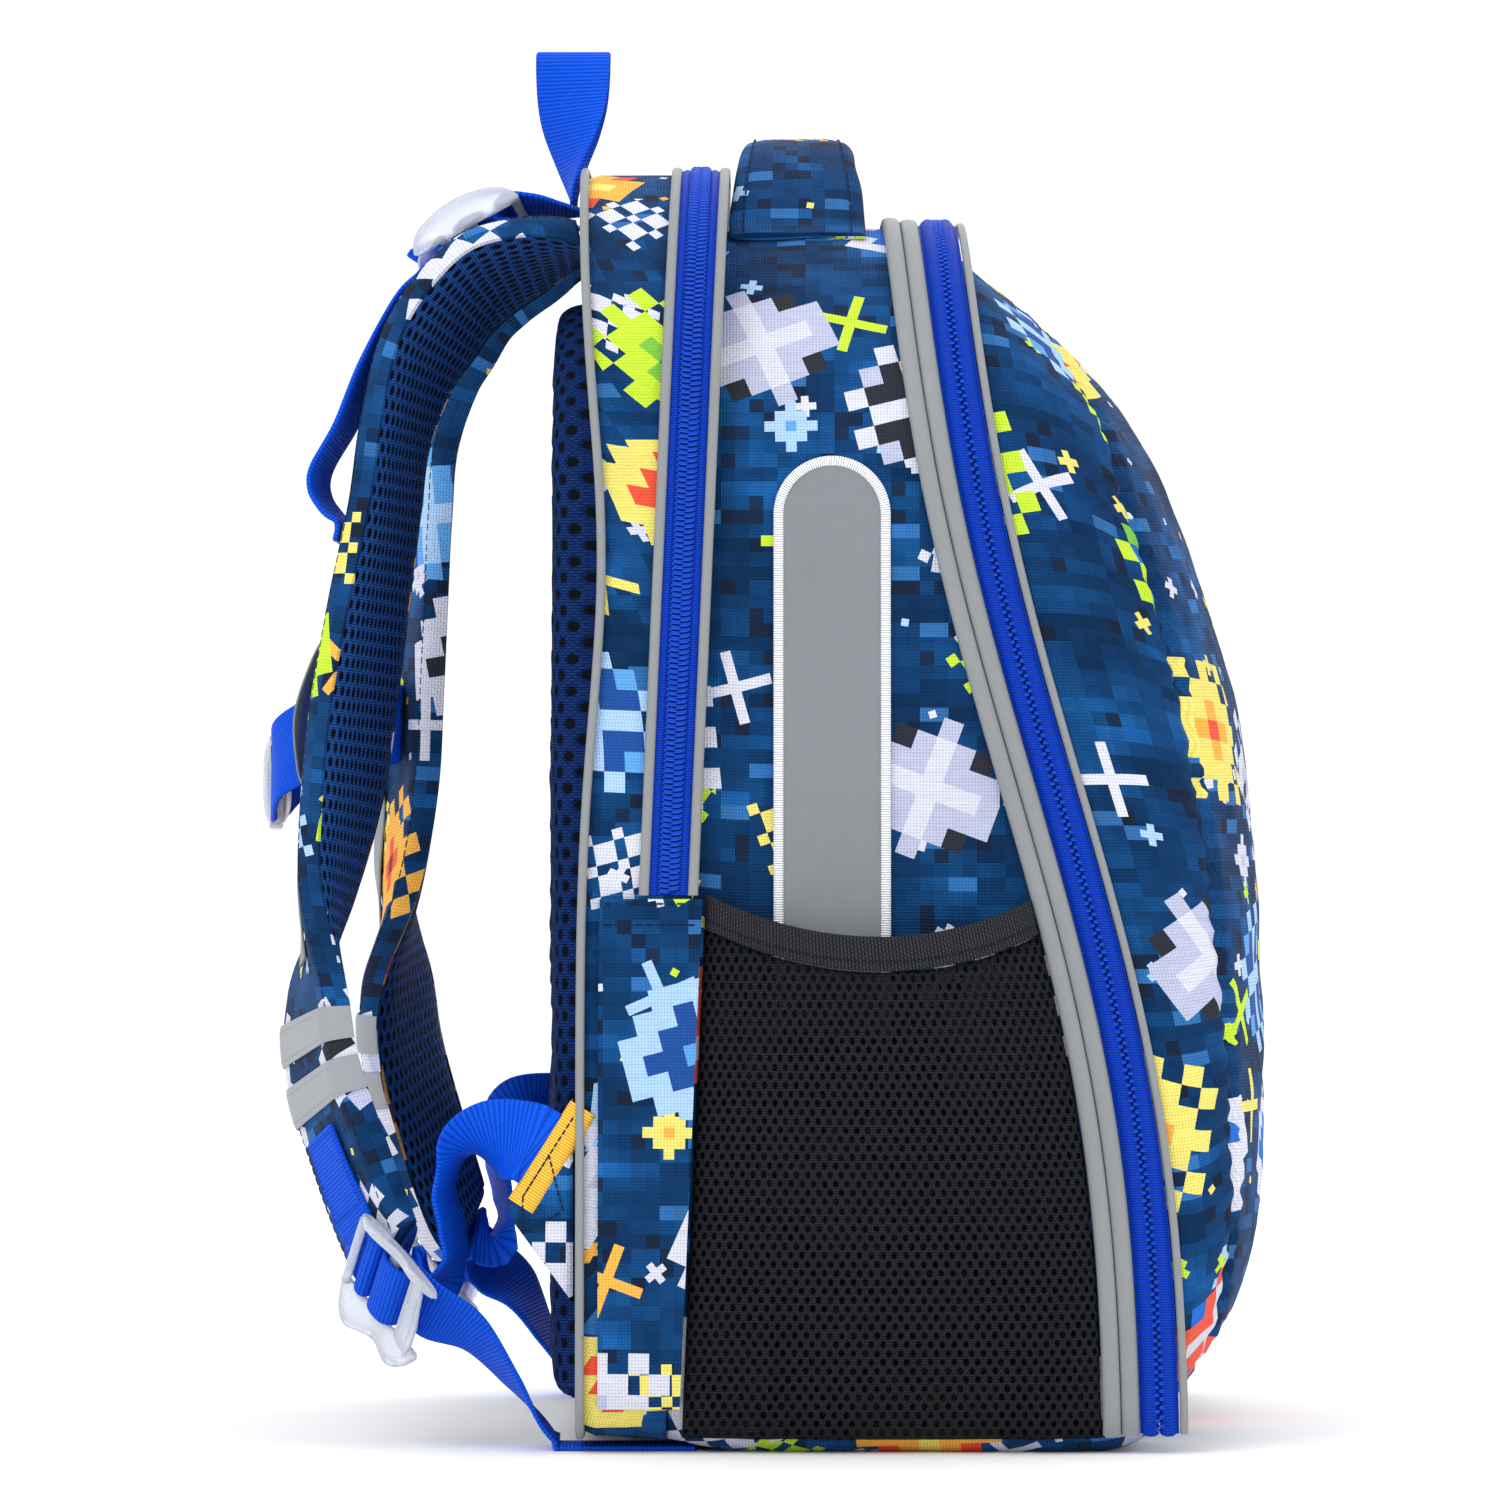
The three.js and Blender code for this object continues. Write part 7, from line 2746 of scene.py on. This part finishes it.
@dataclass
class ChestStrap:
    """The fastened chest strap: a side-release buckle and webbing to each runner."""

    lines: dict[Side, StrapLine]
    webbing: float = 25.0
    thickness: float = 1.5
    row: float = 10.35
    sag: float = 19.0
    length: float = 42.0
    width: float = 28.0
    depth: float = 8.0

    def build(self) -> None:
        """Makes the webbing and the buckle."""
        left = self.lines[Side.LEFT]
        middle = vector(BACK_X - 1.2 * left.reach, 0, left.centre(self.row)[0][2] - self.sag)
        for side, line in self.lines.items():
            along = line.axes(self.row)[0][0]
            lift = line.face_high + 4 * CLEAR + self.thickness / 2
            points = [line.place([self.row], [distance], [lift + step * 0.8])[0]
                      for step, distance in enumerate((14.0, 0.0, -20.0))]
            sign = vector(0, side.value, 0)
            end = middle + sign * (self.length / 2 + CLEAR)
            before = end + sign * 5
            points += route(points[2], before, ((0.3, 0.14, 0), (0.62, 0.16, 0), (1, 0, 0)))
            points.append(end)
            count = len(points)
            widths = [mix(along, vector(0, 0, -1), i / (count - 1)) for i in range(count)]
            webbing_band(f"chest_webbing_band_{side.word}", f"chest_webbing_{side.word}",
                         Path.through(points, widths, 1.5), self.webbing, self.thickness)
        self.buckle(middle)

    def buckle(self, middle: Array) -> Piece:
        """The buckle: a hollow socket and a plug whose two arms show at its sides.

        Args:
            middle: The buckle's middle.

        Returns:
            The piece.
        """
        surface = Surface()
        # Share of the length, width and thickness
        sections = [(0, 0.66, 0.6), (0.04, 0.86, 0.82), (0.1, 0.94, 0.96), (0.2, 1, 1), (0.42, 1, 1),
                    (0.47, 0.98, 0.95), (0.49, 0.86, 0.8), (0.51, 0.84, 0.78), (0.53, 0.9, 0.9),
                    (0.72, 0.92, 0.96), (0.84, 0.9, 0.92), (0.94, 0.84, 0.8), (1, 0.66, 0.6)]
        dense = catmull(np.array(sections, float), np.linspace(0, len(sections) - 1, 70))
        turn = turns(32)
        thick = squared(np.cos(turn), 0.6) * self.depth / 2
        wide = squared(np.sin(turn), 0.6) * self.width / 2
        rings = np.array([[middle + vector(a * t, (share - 0.5) * self.length, b * w)
                           for a, b in zip(thick, wide)] for share, w, t in dense])
        surface.sweep(rings, around(np.column_stack([thick, wide])), dense[:, 0] * self.length)
        for side in (-1, 1):
            places = np.linspace(0.12, 0.42, 16)
            at = np.array([middle + vector(0, (p - 0.5) * self.length, side * (
                self.width / 2 + 0.6 * math.sin((p - 0.12) / 0.3 * math.pi))) for p in places])
            surface.tube(Path.plain(at, ALONG_X, vector(0, 0, side)),
                         flat_section(self.depth * 0.5, -1.0, 0.9, 3))
        return sew(surface, "chest_buckle_moulding", "chest_buckle", PLASTIC)


@dataclass
class ZipSlider:
    """A plain zip slider with a bridge and a hanging puller."""

    name: str
    outline: Outline
    line: Lean
    top: float
    lift: float
    length: float = 11.0
    puller: float = 26.0

    def build(self) -> Piece:
        """Makes the slider on the right side.

        Returns:
            The piece.
        """
        surface = Surface()

        def path(start: float, end: float, lift: float, count: int) -> Path:
            """A path down the zip's middle, off the gusset.

            Args:
                start: Distance of its start below the slider's top.
                end: Distance of its end.
                lift: How far it stands off the slider's seat.
                count: How many rows it has.

            Returns:
                The path.
            """
            z = np.linspace(self.top - start, self.top - end, count)
            y = self.outline.half_width(z) + self.lift + lift
            at = np.column_stack([self.line.at(z), y, z])
            tangent = unit(np.gradient(at, axis=0))
            return Path.plain(at, ALONG_X, unit(np.cross(ALONG_X, tangent)))

        body = path(0, self.length, 1.4, 18)
        share = np.linspace(0, 1, 18)
        body.width = 0.72 + 0.28 * np.cos((share - 0.3) * np.pi * 0.9)
        body.thickness = np.minimum(1, np.sin(np.pi * np.clip(share, 0.06, 0.94)) * 2.4)
        bridge = path(2.5, 8.5, 2.8, 14)
        bridge.at[:, 1] += np.sin(np.linspace(0, np.pi, 14)) * 2.2
        pull = path(self.length - 3.5, self.length + self.puller, 2.4, 40)
        share = np.linspace(0, 1, 40)
        pull.width = 0.55 + 0.1 * np.cos(share * 2 * np.pi) + 0.4 * np.clip(share - 0.45, 0, 1)
        surface.tube(body, flat_section(9.0, -1.4, 1.6, 8, 0.3))
        surface.tube(bridge, flat_section(2.4, -0.6, 0.6, 2))
        surface.tube(pull, flat_section(8.0, -0.8, 0.8, 6, 0.15))
        piece = surface.build(f"{self.name}_metal", [ENAMEL])
        return hand_over(piece, ENAMEL, self.name)


@dataclass
class Studio:
    """The floor, the lights and the camera."""

    distance: float = 3.0
    view_width: float = 0.4755
    centre_x: float = -0.0436
    centre_z: float = 0.217

    def camera(self) -> None:
        """Places a long lens level with the middle of the bag, square to its side."""
        data = bpy.data.cameras.new("side_view")
        data.sensor_width = 36
        data.lens = 36 * (self.distance - 0.06) / self.view_width
        data.clip_end = 30
        camera = bpy.data.objects.new("side_view", data)
        camera.location = (self.centre_x, -self.distance, self.centre_z)
        camera.rotation_euler = (math.radians(90), 0, 0)
        bpy.context.scene.collection.objects.link(camera)
        bpy.context.scene.camera = camera

    def floor(self) -> None:
        """Lays a plain pale floor."""
        mesh = bpy.data.meshes.new("studio_floor")
        size = 12.0
        mesh.from_pydata([(-size, -size, 0), (size, -size, 0), (size, size, 0), (-size, size, 0)], [],
                         [(0, 1, 2, 3)])
        floor = bpy.data.objects.new("studio_floor", mesh)
        material = bpy.data.materials.new("studio_floor")
        material.use_nodes = True
        shader = material.node_tree.nodes["Principled BSDF"]
        graph = Graph(material.node_tree)
        grain = graph.noise(graph.node("ShaderNodeTexCoord").outputs["Object"], 3.0)
        graph.feed(shader.inputs["Base Color"], graph.colour(grain, shade("F9F9F9"), shade("FCFCFC")))
        shader.inputs["Roughness"].default_value = 0.9
        mesh.materials.append(material)
        bpy.context.scene.collection.objects.link(floor)

    def lights(self) -> None:
        """Hangs large soft lights on both sides and gives the room a white light."""
        world = bpy.data.worlds.new("studio")
        world.use_nodes = True
        background = world.node_tree.nodes["Background"]
        background.inputs["Color"].default_value = (1, 1, 1, 1)
        background.inputs["Strength"].default_value = 1.08
        bpy.context.scene.world = world
        # Name, place and size in metres, and power in watts
        table = [("key", (-1.1, -1.6, 1.7), 1.3, 14.0), ("fill", (1.5, -1.5, 0.9), 1.6, 5.0),
                 ("top", (0.1, 0.2, 2.2), 1.6, 8.0), ("behind", (0.2, 1.9, 1.2), 1.8, 9.0)]
        for name, place, size, power in table:
            data = bpy.data.lights.new(name, "AREA")
            data.size = size
            data.energy = power
            light = bpy.data.objects.new(name, data)
            light.location = place
            aim = np.array([-0.04, 0, 0.2]) - np.array(place)
            flat = math.hypot(aim[0], aim[1])
            light.rotation_euler = (math.atan2(flat, -aim[2]), 0, math.atan2(aim[1], aim[0]) - math.pi / 2)
            bpy.context.scene.collection.objects.link(light)

    def build(self) -> None:
        """Sets up the studio."""
        self.camera()
        self.floor()
        self.lights()
        bpy.context.scene.view_settings.view_transform = "Standard"


def main() -> None:
    """Builds the studio and every piece of the backpack."""
    logging.basicConfig(level=logging.INFO, format="%(name)s: %(message)s")
    Studio().build()
    body = BagBody()
    body.build()
    BackPad().build()
    Trim().build()
    TopFittings().build()
    lines = {side: StrapLine(side) for side in Side}
    for side, line in lines.items():
        SideSet(side, body).build()
        ShoulderStrap(line).build()
        LowerAdjuster(line).build()
        LoadLifter(line).build()
    ChestStrap(lines).build()
    ZipSlider("rear_zip_slider", REAR, REAR_ZIP_LINE, 300.0, 3.4).build()
    ZipSlider("front_zip_slider", MIDDLE, FRONT_ZIP_LINE, 240.0, 4.2).build()
    bpy.context.view_layer.update()


if __name__ == "__main__":
    main()
